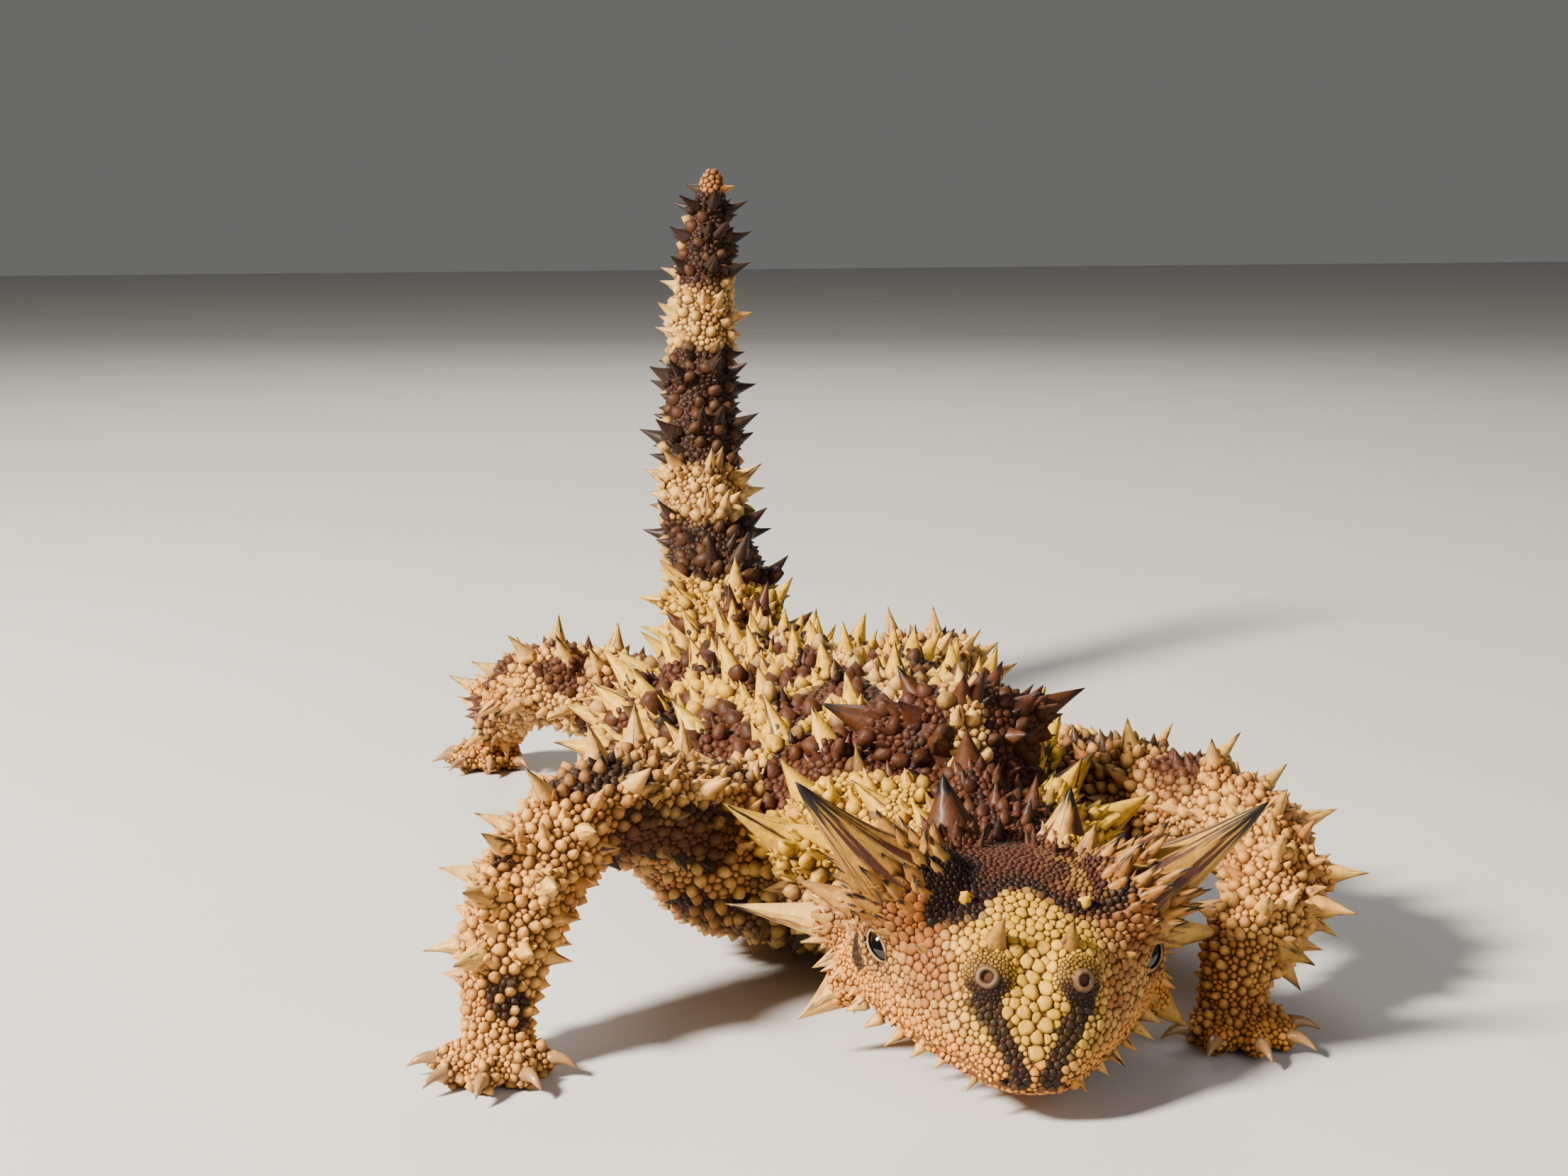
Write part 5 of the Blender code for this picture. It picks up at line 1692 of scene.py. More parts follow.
    def shape(self, mesh: Mesh) -> None:
        """Blend the roots of the limbs, open the eyes, press in the mouth and flatten the soles.

        Args:
            mesh: The skin's mesh.
        """
        points = read_rows(mesh.vertices, "co")
        count = len(points)
        edges = read_rows(mesh.edges, "vertices", 2, int)
        ends, others = np.concatenate([edges, edges[:, ::-1]]).T
        degree = np.bincount(ends, minlength=count)[:, None]
        spots = self.body.locate(points)
        weight = spots.junction[:, None]
        for _ in range(self.junction_smoothing):
            near = np.stack([np.bincount(ends, points[others, k], count) for k in range(3)], -1) / degree
            points = points + (near - points) * weight * 0.6
        head = self.body.head
        for side in (RIGHT, LEFT):
            local = into_frame(head.eye_frame(side), points)
            opening = (local[:, 0] / self.slit[0]) ** 2 + (local[:, 1] / self.slit[1]) ** 2
            inside = (opening < 1.0) & (local[:, 2] > self.slit_floor)
            inside &= np.linalg.norm(local, axis=1) < self.slit_reach
            centre = np.array(head.point(head.eye, side))
            points[inside] = centre + unit(points[inside] - centre) * (head.eye_radius - self.slit_depth)
        local = head.local(points)
        away = np.full(count, 9.0)
        for place in head.mouth_line():
            away = np.minimum(away, np.linalg.norm(local - place, axis=1))
        inward = unit(np.stack([-local[:, 0], np.full(count, -3.0), np.zeros(count)], -1))
        matrix = np.array(head.matrix.to_3x3()) @ np.diag([1.0, -1.0, 1.0])
        points += (inward @ matrix.T) * (self.mouth_depth * (1 - ramp(away, *self.mouth_span)))[:, None]
        points[:, 2] = np.maximum(points[:, 2], FLOOR_GAP)
        mesh.vertices.foreach_set("co", points.ravel())
        mesh.update()


@dataclass
class Seeds:
    """The roots of scales on the skin, with their frames, sizes and spots."""

    points: Array
    normals: Array
    gaps: Array
    peaks: Array
    spots: Spots

    def select(self, mask: Array) -> "Seeds":
        """Return only the roots that the mask or index keeps."""
        spots = Spots(*(getattr(self.spots, name)[mask] for name in self.spots.__dataclass_fields__))
        return Seeds(self.points[mask], self.normals[mask], self.gaps[mask], self.peaks[mask], spots)

    def join(self, other: "Seeds") -> "Seeds":
        """Return these roots and another set's.

        Args:
            other: The other set of roots.

        Returns:
            Both sets in one.
        """
        names = self.spots.__dataclass_fields__
        spots = Spots(*(np.concatenate([getattr(self.spots, n), getattr(other.spots, n)]) for n in names))
        arrays = ("points", "normals", "gaps", "peaks")
        return Seeds(*(np.concatenate([getattr(self, n), getattr(other, n)]) for n in arrays), spots)


@dataclass
class Scatter:
    """Spreads roots of scales over the skin as closely as their sizes allow.

    A gap is the distance that neighbouring scales keep, in millimetres.
    """

    body: Body
    thorns: list[Thorn]
    mesh: Mesh
    markings: Markings
    candidates: int = 400000
    relax_rounds: int = 3
    tubercle_share: float = 0.06
    tubercle_size: float = 1.9
    filler_size: float = 0.66
    sole: float = 0.30
    body_gap: float = 0.72
    neck_gaps: Rows = ((0.0, 0.42), (NECK_END, 0.68))
    tail_gaps: Rows = ((10.5, 0.72), (17.0, 0.56))
    limb_gaps: Rows = ((2.0, 0.60), (4.6, 0.50), (5.4, 0.42))
    head_gap: float = 0.50
    snout_gap: Span = (0.78, 0.08)
    crown_gap: float = 0.36
    jaw_gap: float = 0.40
    jaw: Rows = ((4.0, -2.0), (18.0, -0.9))
    eye_gap: float = 0.34
    eye_zone: float = 2.6
    ear_zone: float = 1.2
    nostril_gap: float = 0.24
    nostril_zone: float = 1.55
    nostril_hole: float = 0.72
    slit: Span = (1.36, 0.74)
    mouth_gap: float = 0.2
    clear_share: float = 0.46
    pushed_share: float = 1.18
    push_strength: float = 0.35

    def __post_init__(self) -> None:
        """Read the skin's triangles and vertices."""
        self.mesh.calc_loop_triangles()
        self.vertices = read_rows(self.mesh.vertices, "co")
        self.vertex_normals = read_rows(self.mesh.vertices, "normal")
        self.triangles = read_rows(self.mesh.loop_triangles, "vertices", 3, int)
        self.tree = BVHTree.FromPolygons(self.vertices.tolist(), self.triangles.tolist())
        self.noise = Cells(SEED + 4)
        self.thorns = [thorn for thorn in self.thorns if self.outside(thorn.middle(0.8)) > 0.2]

    def outside(self, point: Vector) -> float:
        """Return how far a point lies outside the skin, or less than 0 inside it.

        Args:
            point: The point.

        Returns:
            The distance, with its sign.
        """
        spot, _, index, _ = self.tree.find_nearest(point)
        a, b, c = (Vector(self.vertices[corner]) for corner in self.triangles[index])
        return (point - spot).dot((b - a).cross(c - a).normalized())

    def gap_at(self, spots: Spots) -> Array:
        """Return the distance that scales keep at each spot, in millimetres.

        Args:
            spots: The places on the body.

        Returns:
            The distance at each spot.
        """
        gaps = np.full(len(spots.points), self.body_gap)
        limbs = spots.part >= Part.ARM_RIGHT.value
        gaps[limbs] = curve(spots.place[limbs], self.limb_gaps)
        tail = spots.on(Part.TRUNK) & (spots.place > self.tail_gaps[0][0])
        gaps[tail] = curve(spots.place[tail], self.tail_gaps)
        neck = spots.on(Part.TRUNK) & (spots.place < NECK_END)
        gaps[neck] = curve(spots.place[neck], self.neck_gaps)
        side, forward, up = spots.folded().T
        snout_gap, narrowing = self.snout_gap
        edge = curve(spots.local[:, 0], self.markings.crown_edge)
        snout = (side < 2.0) & (forward > 11.8) & (up > -1.4)
        head = np.where(snout, snout_gap - narrowing * side, self.head_gap)
        for where, gap in (
            ((forward < edge - 0.3) & (up > 1.5), self.crown_gap),
            (up < curve(forward, self.jaw), self.jaw_gap),
            ((self.markings.snout_stripes(spots) < 0.8) & (forward > 14.2), self.jaw_gap),
            (spots.from_point(self.body.head.eye) < self.eye_zone, self.eye_gap),
            (spots.from_point(self.body.head.nostril) < self.nostril_zone, self.nostril_gap),
            (spots.from_point(self.markings.ear_blotch) < self.ear_zone, self.eye_gap),
        ):
            head = np.where(where, gap, head)
        on = spots.on(Part.HEAD)
        gaps[on] = head[on]
        return gaps

    def draw(self, rng: np.random.Generator) -> Seeds:
        """Draw candidate roots evenly over the skin.

        Args:
            rng: The random draws.

        Returns:
            The candidates, in random order.
        """
        a, b, c = (self.vertices[self.triangles[:, k]] for k in range(3))
        areas = np.linalg.norm(np.cross(b - a, c - a), axis=1) / 2
        centre_spots = self.body.locate((a + b + c) / 3)
        weights = areas / self.gap_at(centre_spots) ** 2
        chosen = rng.choice(len(areas), self.candidates, p=weights / weights.sum())
        u, v = rng.random((2, self.candidates))
        flip = u + v > 1
        u, v = np.where(flip, 1 - u, u), np.where(flip, 1 - v, v)
        share = np.stack([1 - u - v, u, v], -1)[:, :, None]
        corners = self.triangles[chosen]
        points = (self.vertices[corners] * share).sum(1)
        normals = unit((self.vertex_normals[corners] * share).sum(1))
        spots = self.body.locate(points)
        return Seeds(points, normals, self.gap_at(spots), np.zeros(len(points)), spots)

    def blocked(self, points: Array) -> Array:
        """Tell which points lie in an eye slit, a horn, a nostril, a thorn or the mouth.

        Args:
            points: The points, one a row.

        Returns:
            True for each point where no scale may grow.
        """
        head = self.body.head
        bad = np.zeros(len(points), bool)
        for side in (RIGHT, LEFT):
            local = into_frame(head.eye_frame(side), points)
            opening = (local[:, 0] / self.slit[0]) ** 2 + (local[:, 1] / self.slit[1]) ** 2
            bad |= (opening < 1) & (local[:, 2] > 0) & (local[:, 2] < 3)
            nostril = np.array(head.point(head.nostril, side))
            bad |= np.linalg.norm(points - nostril, axis=1) < self.nostril_hole
            brow, aim, _ = head.horn_axis(side)
            offset = points - np.array(brow)
            high = offset @ np.array(aim)
            flat = np.linalg.norm(offset - high[:, None] * np.array(aim), axis=1)
            bad |= (high > head.horn_start - 0.5) & (flat < head.horn_radius * 0.9) & (high < 9)
        for thorn in self.thorns:
            reach = thorn.length + thorn.radius
            near = np.flatnonzero(np.abs(points[:, 1] - thorn.root.y) < reach)
            near = near[np.abs(points[near, 0] - thorn.root.x) < reach]
            offset, direction = points[near] - np.array(thorn.root), np.array(thorn.direction)
            high = offset @ direction / thorn.length
            flat = np.linalg.norm(offset - (high * thorn.length)[:, None] * direction, axis=1)
            low = -0.3 if thorn.bare or thorn.length <= FOOTED_THORN else 0.36
            reach = thorn.radius * np.clip(0.9 - 0.8 * high, 0.0, 0.9)
            bad[near] |= (high > low) & (high < 1.0) & (flat < reach)
        local = head.local(points)
        muzzle = (np.abs(local[:, 0]) < 11) & (local[:, 1] > 8) & (local[:, 1] < 19) & (local[:, 2] < 0)
        near = np.flatnonzero(muzzle)
        for place in head.mouth_line(40):
            bad[near] |= np.linalg.norm(local[near] - place, axis=1) < self.mouth_gap
        return bad

    def spread(self) -> Seeds:
        """Return roots that keep their distance: first tubercles, then scales, then fillers between.

        Returns:
            The roots of all scales.
        """
        rng = np.random.default_rng(SEED)
        seeds = self.draw(rng)
        seeds = seeds.select(~self.blocked(seeds.points))
        body = ~seeds.spots.on(Part.HEAD)
        upper = seeds.spots.on(Part.TRUNK) & (np.sin(seeds.spots.angle) > 0.1)
        share = self.tubercle_share * np.where(upper, 0.4, 1.0)
        big = body & (rng.random(len(body)) < share) & (seeds.spots.place < 16.6)
        kept: Seeds | None = None
        passes = ((big, self.tubercle_size, 1.0), (~big, 1.0, 0.3), (~big, self.filler_size, 0.2))
        for mask, factor, peak in passes:
            batch = seeds.select(mask)
            slim = np.where((peak == 1.0) & (batch.spots.part >= Part.ARM_RIGHT.value), 0.78, 1.0)
            batch.gaps = batch.gaps * factor * slim * (1 + 0.24 * (rng.random(mask.sum()) - 0.4))
            limbs = batch.spots.part >= Part.ARM_RIGHT.value
            strength = peak * np.where(limbs | (peak == 1.0), 1.0, 0.5)
            batch.peaks = np.where(batch.spots.on(Part.HEAD), 0.0, strength)
            if kept is not None:
                batch = batch.select(self.clear_of(batch, kept))
            batch = batch.select(np.array(self.thin(batch.points, batch.gaps)))
            kept = batch if kept is None else kept.join(batch)
        return self.relax(kept)

    def clear_of(self, batch: Seeds, kept: Seeds) -> Array:
        """Tell which roots of a batch keep their distance from the nearest kept root.

        Args:
            batch: The roots to test.
            kept: The roots that are kept already.

        Returns:
            True for each root that is clear.
        """
        tree = point_tree(kept.points.tolist())
        found = [tree.find(point)[1:] for point in batch.points.tolist()]
        owner = np.array([item[0] for item in found])
        return np.array([item[1] for item in found]) > self.clear_share * (batch.gaps + kept.gaps[owner])

    def thin(self, points: Array, gaps: Array) -> list[int]:
        """Return the indices that stay where each point drops later ones that are too near.

        Args:
            points: The points, first come first kept.
            gaps: The distance that each keeps from others like it.

        Returns:
            The indices of the kept points.
        """
        cell = float(gaps.max())
        keys = np.floor(points / cell).astype(int).tolist()
        steps = [(a - 1, b - 1, c - 1) for a, b, c in np.ndindex(3, 3, 3)]
        grid: dict[tuple[int, int, int], list[Sizes]] = {}
        kept = []
        for index, ((x, y, z), gap, (a, b, c)) in enumerate(zip(points.tolist(), gaps.tolist(), keys)):
            near = [other for i, j, k in steps for other in grid.get((a + i, b + j, c + k), ())]
            if all(
                (x - u) ** 2 + (y - v) ** 2 + (z - w) ** 2 >= (0.5 * (gap + far)) ** 2
                for u, v, w, far in near
            ):
                kept.append(index)
                grid.setdefault((a, b, c), []).append((x, y, z, gap))
        return kept

    def neighbours(self, seeds: Seeds, count: int = 9) -> Array:
        """Return the indices of each root's nearest roots.

        Args:
            seeds: The roots.
            count: How many neighbours each root gets.

        Returns:
            One row of indices for each root.
        """
        tree = point_tree(seeds.points.tolist())
        found = np.empty((len(seeds.points), count), int)
        for index, point in enumerate(seeds.points.tolist()):
            near = [item[1] for item in tree.find_n(point, count + 1)]
            near = [item for item in near if item != index][:count]
            found[index] = near + [near[-1]] * (count - len(near))
        return found

    def relax(self, seeds: Seeds) -> Seeds:
        """Push roots apart so that the scales pack evenly, and set them back on the skin.

        Args:
            seeds: The roots.

        Returns:
            The roots in their new places.
        """
        for _ in range(self.relax_rounds):
            near = self.neighbours(seeds, 7)
            offset = seeds.points[:, None] - seeds.points[near]
            away = np.linalg.norm(offset, axis=2)
            want = 0.5 * (seeds.gaps[:, None] + seeds.gaps[near]) * self.pushed_share
            facing = dots(seeds.normals, seeds.normals[near]) > 0.3
            push = np.clip(want - away, 0.0, None) * facing
            moved = seeds.points + (unit(offset) * push[:, :, None]).sum(1) * self.push_strength
            for index, point in enumerate(moved.tolist()):
                spot, normal, _, _ = self.tree.find_nearest(point)
                seeds.points[index] = spot
                seeds.normals[index] = unit(seeds.normals[index] * 0.5 + np.array(normal))
        seeds = seeds.select(~self.blocked(seeds.points) & (seeds.points[:, 2] > self.sole))
        seeds.spots = self.body.locate(seeds.points)
        return seeds


class Coat(Enum):
    """The pieces that the scales are joined to."""

    HEAD = "scales_head"
    TRUNK = "scales_trunk"
    TAIL = "scales_tail"
    RIGHT = "scales_limbs_right"
    LEFT = "scales_limbs_left"


def chart(spots: Spots, coat_of: Array) -> Array:
    """Unwrap the skin for each coat piece: along its parts and round them.

    Args:
        spots: The roots of scales or thorns.
        coat_of: The index of each one's coat piece.

    Returns:
        UV places between 0 and 1, spread over the whole square for each piece.
    """
    around = np.mod(spots.angle / math.tau + 0.25, 1.0)
    uv = np.zeros((len(spots.points), 2))
    trunk = spots.on(Part.TRUNK)
    uv[trunk] = np.stack([around, np.interp(spots.place, (0.0, 11.0), (0.0, 1.0))], -1)[trunk]
    tail = coat_of == 2
    uv[tail] = np.stack([around, np.interp(spots.place, (TAIL_START, 17.0), (0.0, 1.0))], -1)[tail]
    for low, parts in ((0.0, (Part.ARM_RIGHT, Part.ARM_LEFT)), (0.5, (Part.LEG_RIGHT, Part.LEG_LEFT))):
        on = spots.on(*parts)
        uv[on] = np.stack([low + around * 0.46, np.interp(spots.place, (0.5, 6.0), (0.0, 1.0))], -1)[on]
    on = spots.on(Part.HEAD)
    side, forward, up = spots.local.T
    turn = np.mod(np.arctan2(up + 2.6, side) / math.tau + 0.25, 1.0)
    uv[on] = np.stack([turn, np.interp(forward, (-1.0, 14.0, 18.4), (0.0, 0.68, 1.0))], -1)[on]
    return 0.004 + 0.992 * uv


def frames_of(normals: Array, towards: Array) -> tuple[Array, Array]:
    """Return two tangents for each normal, the first along a given direction."""
    first = unit(towards - np.einsum("ij,ij->i", towards, normals)[:, None] * normals)
    return first, np.cross(normals, first)


def join_shapes(
    name: str, points: Array, faces: list[list[int]], marks: Array, finish: Array, uv: Array
) -> Mesh:
    """Join like shapes to one mesh with their masks and their patches of the bake map.

    Args:
        name: The mesh's name.
        points: The vertices, shaped count, corners, 3.
        faces: The faces of one shape.
        marks: Rust, gold and dark for each vertex.
        finish: Pink, tone and painted crease shade for each vertex.
        uv: The bake map's place of each vertex.

    Returns:
        The joined mesh in millimetres.
    """
    count, corners = points.shape[:2]
    mesh = bpy.data.meshes.new(name)
    all_faces = [[corner + index * corners for corner in face] for index in range(count) for face in faces]
    mesh.from_pydata(points.reshape(-1, 3), [], all_faces)
    set_vectors(mesh, "marks", marks.reshape(-1, 3))
    set_vectors(mesh, "finish", finish.reshape(-1, 3))
    layer = mesh.uv_layers.new(name="OFBake")
    indices = np.empty(len(mesh.loops), int)
    mesh.loops.foreach_get("vertex_index", indices)
    layer.data.foreach_set("uv", np.ascontiguousarray(uv.reshape(-1, 2)[indices], np.float32).ravel())
    return mesh


def ring_faces(sides: int, rings: int) -> list[list[int]]:
    """Return the faces of a closed cone of rings below one apex.

    Args:
        sides: How many sides a ring has.
        rings: How many rings there are.

    Returns:
        The vertex numbers of each face.
    """
    faces = [list(reversed(range(sides)))]
    for ring in range(rings - 1):
        for k in range(sides):
            after, low, high = (k + 1) % sides, ring * sides, (ring + 1) * sides
            faces.append([low + k, low + after, high + after, high + k])
    top = (rings - 1) * sides
    return faces + [[top + k, top + (k + 1) % sides, rings * sides] for k in range(sides)]


@dataclass(frozen=True)
class ScaleStyle:
    """The rings of one scale: its reach, the heights of a cobble and of a point, and the share of painted
    crease shade on each ring.
    """

    sides: int
    shares: Sizes
    cobble: Sizes
    point: Sizes
    crease_shade_shares: Sizes


def coat_of(spots: Spots) -> Array:
    """Return the index of the coat piece that each root belongs to.

    Args:
        spots: The places on the body.

    Returns:
        The piece's number for each root.
    """
    coat = np.zeros(len(spots.points), int)
    coat[spots.on(Part.TRUNK)] = 1
    coat[spots.on(Part.TRUNK) & (spots.place >= TAIL_START)] = 2
    coat[spots.on(Part.ARM_RIGHT, Part.LEG_RIGHT)] = 3
    coat[spots.on(Part.ARM_LEFT, Part.LEG_LEFT)] = 4
    return coat


@dataclass
class ScaleCoat:
    """Domed scales that fill the skin like cobbles, with pointed tubercles among them."""

    scatter: Scatter
    seeds: Seeds
    markings: Markings
    overlap: float = 1.07
    brow_reach: Span = (3.4, 5.6)
    fine: ScaleStyle = ScaleStyle(
        9, (1.0, 0.97, 0.82, 0.48), (-0.4, 0.22, 0.74, 0.95, 1.0), (-0.4, 0.2, 0.55, 0.9, 1.4),
        (0.95, 0.8, 0.2, 0.0),
    )
    plain: ScaleStyle = ScaleStyle(
        7, (1.0, 0.88, 0.52), (-0.4, 0.46, 0.90, 1.02), (-0.4, 0.36, 0.82, 1.28), (0.95, 0.62, 0.0)
    )
    heights: Rows = ((0.0, 0.50), (0.45, 0.66), (1.0, 0.95))
    facing_least: float = 0.15
    widest: float = 0.84
    narrowest: float = 0.16

    def outlines(self, sides: int) -> tuple[Array, Array, Array, Array]:
        """Work out each scale's tangents, angles and reach to its neighbours' borders.

        Args:
            sides: The number of directions.

        Returns:
            The two tangents, the angles and the reach along each.
        """
        seeds = self.seeds
        rng = np.random.default_rng(SEED + 1)
        near = self.near
        back = np.tile(np.array([0.05, 1.0, 0.1]), (len(seeds.points), 1))
        head = self.scatter.body.head
        tips = np.array([head.point(head.horn_tip, side) for side in (RIGHT, LEFT)])
        on = seeds.spots.on(Part.HEAD)
        back[on] = (tips[(seeds.spots.local[:, 0] > 0).astype(int)] - seeds.points)[on]
        first, second = frames_of(seeds.normals, back)
        offset = seeds.points[near] - seeds.points[:, None]
        flat = np.stack([dots(first, offset), dots(second, offset)], -1)
        away = np.maximum(np.linalg.norm(flat, axis=2), 1e-6)
        facing = dots(seeds.normals, seeds.normals[near]) > 0.1
        weight = seeds.gaps[:, None] / (seeds.gaps[:, None] + seeds.gaps[near])
        angles = (np.arange(sides) / sides)[None] * math.tau + rng.random((len(near), 1)) * math.tau
        way = np.stack([np.cos(angles), np.sin(angles)], -1)
        cosine = np.einsum("ikc,ijc->ikj", way, flat / away[..., None])
        border = (away * weight)[:, None] / np.maximum(cosine, self.facing_least)
        limit = np.where((cosine > self.facing_least) & facing[:, None], border, 9.0)
        reach = np.minimum(limit.min(2) * self.overlap, seeds.gaps[:, None] * self.widest)
        return first, second, angles, np.maximum(reach, seeds.gaps[:, None] * self.narrowest)

    def build(self, placement: Placement, finish: Material) -> None:
        """Build the joined coats of scales.

        Args:
            placement: Where the pieces go.
            finish: Their material.
        """
        self.near = self.scatter.neighbours(self.seeds, 10)
        coat = coat_of(self.seeds.spots)
        head = self.seeds.spots.on(Part.HEAD)
        for index, piece in enumerate(Coat):
            if piece is Coat.HEAD:
                cobbles = head & (self.seeds.gaps > 0.42)
                self.build_piece(placement, finish, piece.value, self.fine, cobbles)
                self.build_piece(placement, finish, "scales_head_fine", self.plain, head & ~cobbles)
                continue
            self.build_piece(placement, finish, piece.value, self.plain, coat == index)

    def build_piece(
        self, placement: Placement, finish: Material, name: str, style: ScaleStyle, on: Array
    ) -> None:
        """Build one joined piece.

        Args:
            placement: Where the piece goes.
            finish: Its material.
            name: Its name.
            style: The rings of its scales.
            on: The mask of its roots.
        """
        first, second, angles, reach = (values[on] for values in self.outlines(style.sides))
        seeds = self.seeds.select(on)
        count = len(seeds.points)
        rng = np.random.default_rng(SEED + 2 + len(name))
        masks = self.coloured(seeds)
        brow = self.near_brow(seeds.spots)
        size = reach.mean(1)
        peaks = np.maximum(seeds.peaks, brow * 0.8)
        tall = size * curve(peaks, self.heights) * (0.8 + 0.4 * rng.random(count))
        lean = (rng.random((count, 2)) - 0.5) * 0.3
        lean[:, 0] += 0.12 + 0.35 * peaks + 0.5 * brow
        layers = []
        for step, share in enumerate((*style.shares, 0.0)):
            height = style.cobble[step] * (1 - peaks) + style.point[step] * peaks
            lift = np.minimum(height * tall, np.where(height < 0, -0.08, 9.0))
            points = first[:, None] * (np.cos(angles) * reach * share)[..., None]
            points = points + second[:, None] * (np.sin(angles) * reach * share)[..., None]
            slide = (first * lean[:, :1] + second * lean[:, 1:]) * (size * np.maximum(height, 0))[:, None]
            points = points + (seeds.points + seeds.normals * lift[:, None] + slide)[:, None]
            layers.append(points if share else points[:, :1])
        points = np.concatenate(layers, 1)
        points[..., 2] = np.maximum(points[..., 2], FLOOR_GAP)
        corners = points.shape[1]
        turn = np.tile(np.arange(style.sides) / style.sides * math.tau, len(style.shares))
        shares = np.repeat(style.shares, style.sides)[:, None]
        disc = np.stack([np.cos(turn), np.sin(turn)], -1) * shares * PATCH
        uv = chart(seeds.spots, coat_of(seeds.spots))[:, None] + np.vstack([disc, [[0.0, 0.0]]])[None]
        marks = np.repeat(masks[:, None, :3], corners, 1)
        marks[:, -1, 2] += brow * 0.8 + 0.25 * (peaks > 0.9)
        shade = 0.25 + 0.75 * rng.random(count) - 0.75 * masks[:, 4] + 0.5 * (seeds.peaks > 0.9)
        shade = np.clip(shade, 0.0, 1.0)
        # Painted crease shade: the outer rings of each scale darken towards the crease colour, where
        # neighbouring scales meet.
        rim = np.append(np.repeat(style.crease_shade_shares, style.sides), 0.0)[None] * np.ones((count, 1))
        pink, shade = (np.repeat(values[:, None], corners, 1) for values in (masks[:, 3], shade))
        dress = np.stack([pink, shade, rim], -1)
        faces = ring_faces(style.sides, len(style.shares))
        most = MOST_TRIANGLES // (style.sides * 2 * len(style.shares) - 2)
        parts = -(-count // most)
        for part in range(parts):
            label = name if parts == 1 else f"{name}_{part + 1}"
            own_points, *own = (values[part::parts] for values in (points, marks, dress, uv))
            mesh = join_shapes(label, own_points, faces, *own)
            placement.finish(mesh, label, "skin", finish)

    def coloured(self, seeds: Seeds) -> Array:
        """Return the markings of scales, with tubercles paler than the scales round them.

        Args:
            seeds: The roots.

        Returns:
            One row of masks for each scale.
        """
        masks = self.markings.masks(seeds.spots)
        big = seeds.peaks > 0.9
        trunk, low = seeds.spots.on(Part.TRUNK), seeds.points[:, 2] < 6.5
        lower = np.where(trunk, np.sin(seeds.spots.angle) < 0.15, low)
        masks[:, 0] *= np.where(big & lower, 0.25, 1.0)
        masks[:, 2] *= np.where(big & lower, 0.12, np.where(big, 0.5, 1.0))
        return masks

    def near_brow(self, spots: Spots) -> Array:
        """Return 1 at the foot of the horns, falling to 0 a few millimetres off."""
        head = self.scatter.body.head
        return (1 - ramp(spots.from_point(head.brow), *self.brow_reach)) * spots.on(Part.HEAD)


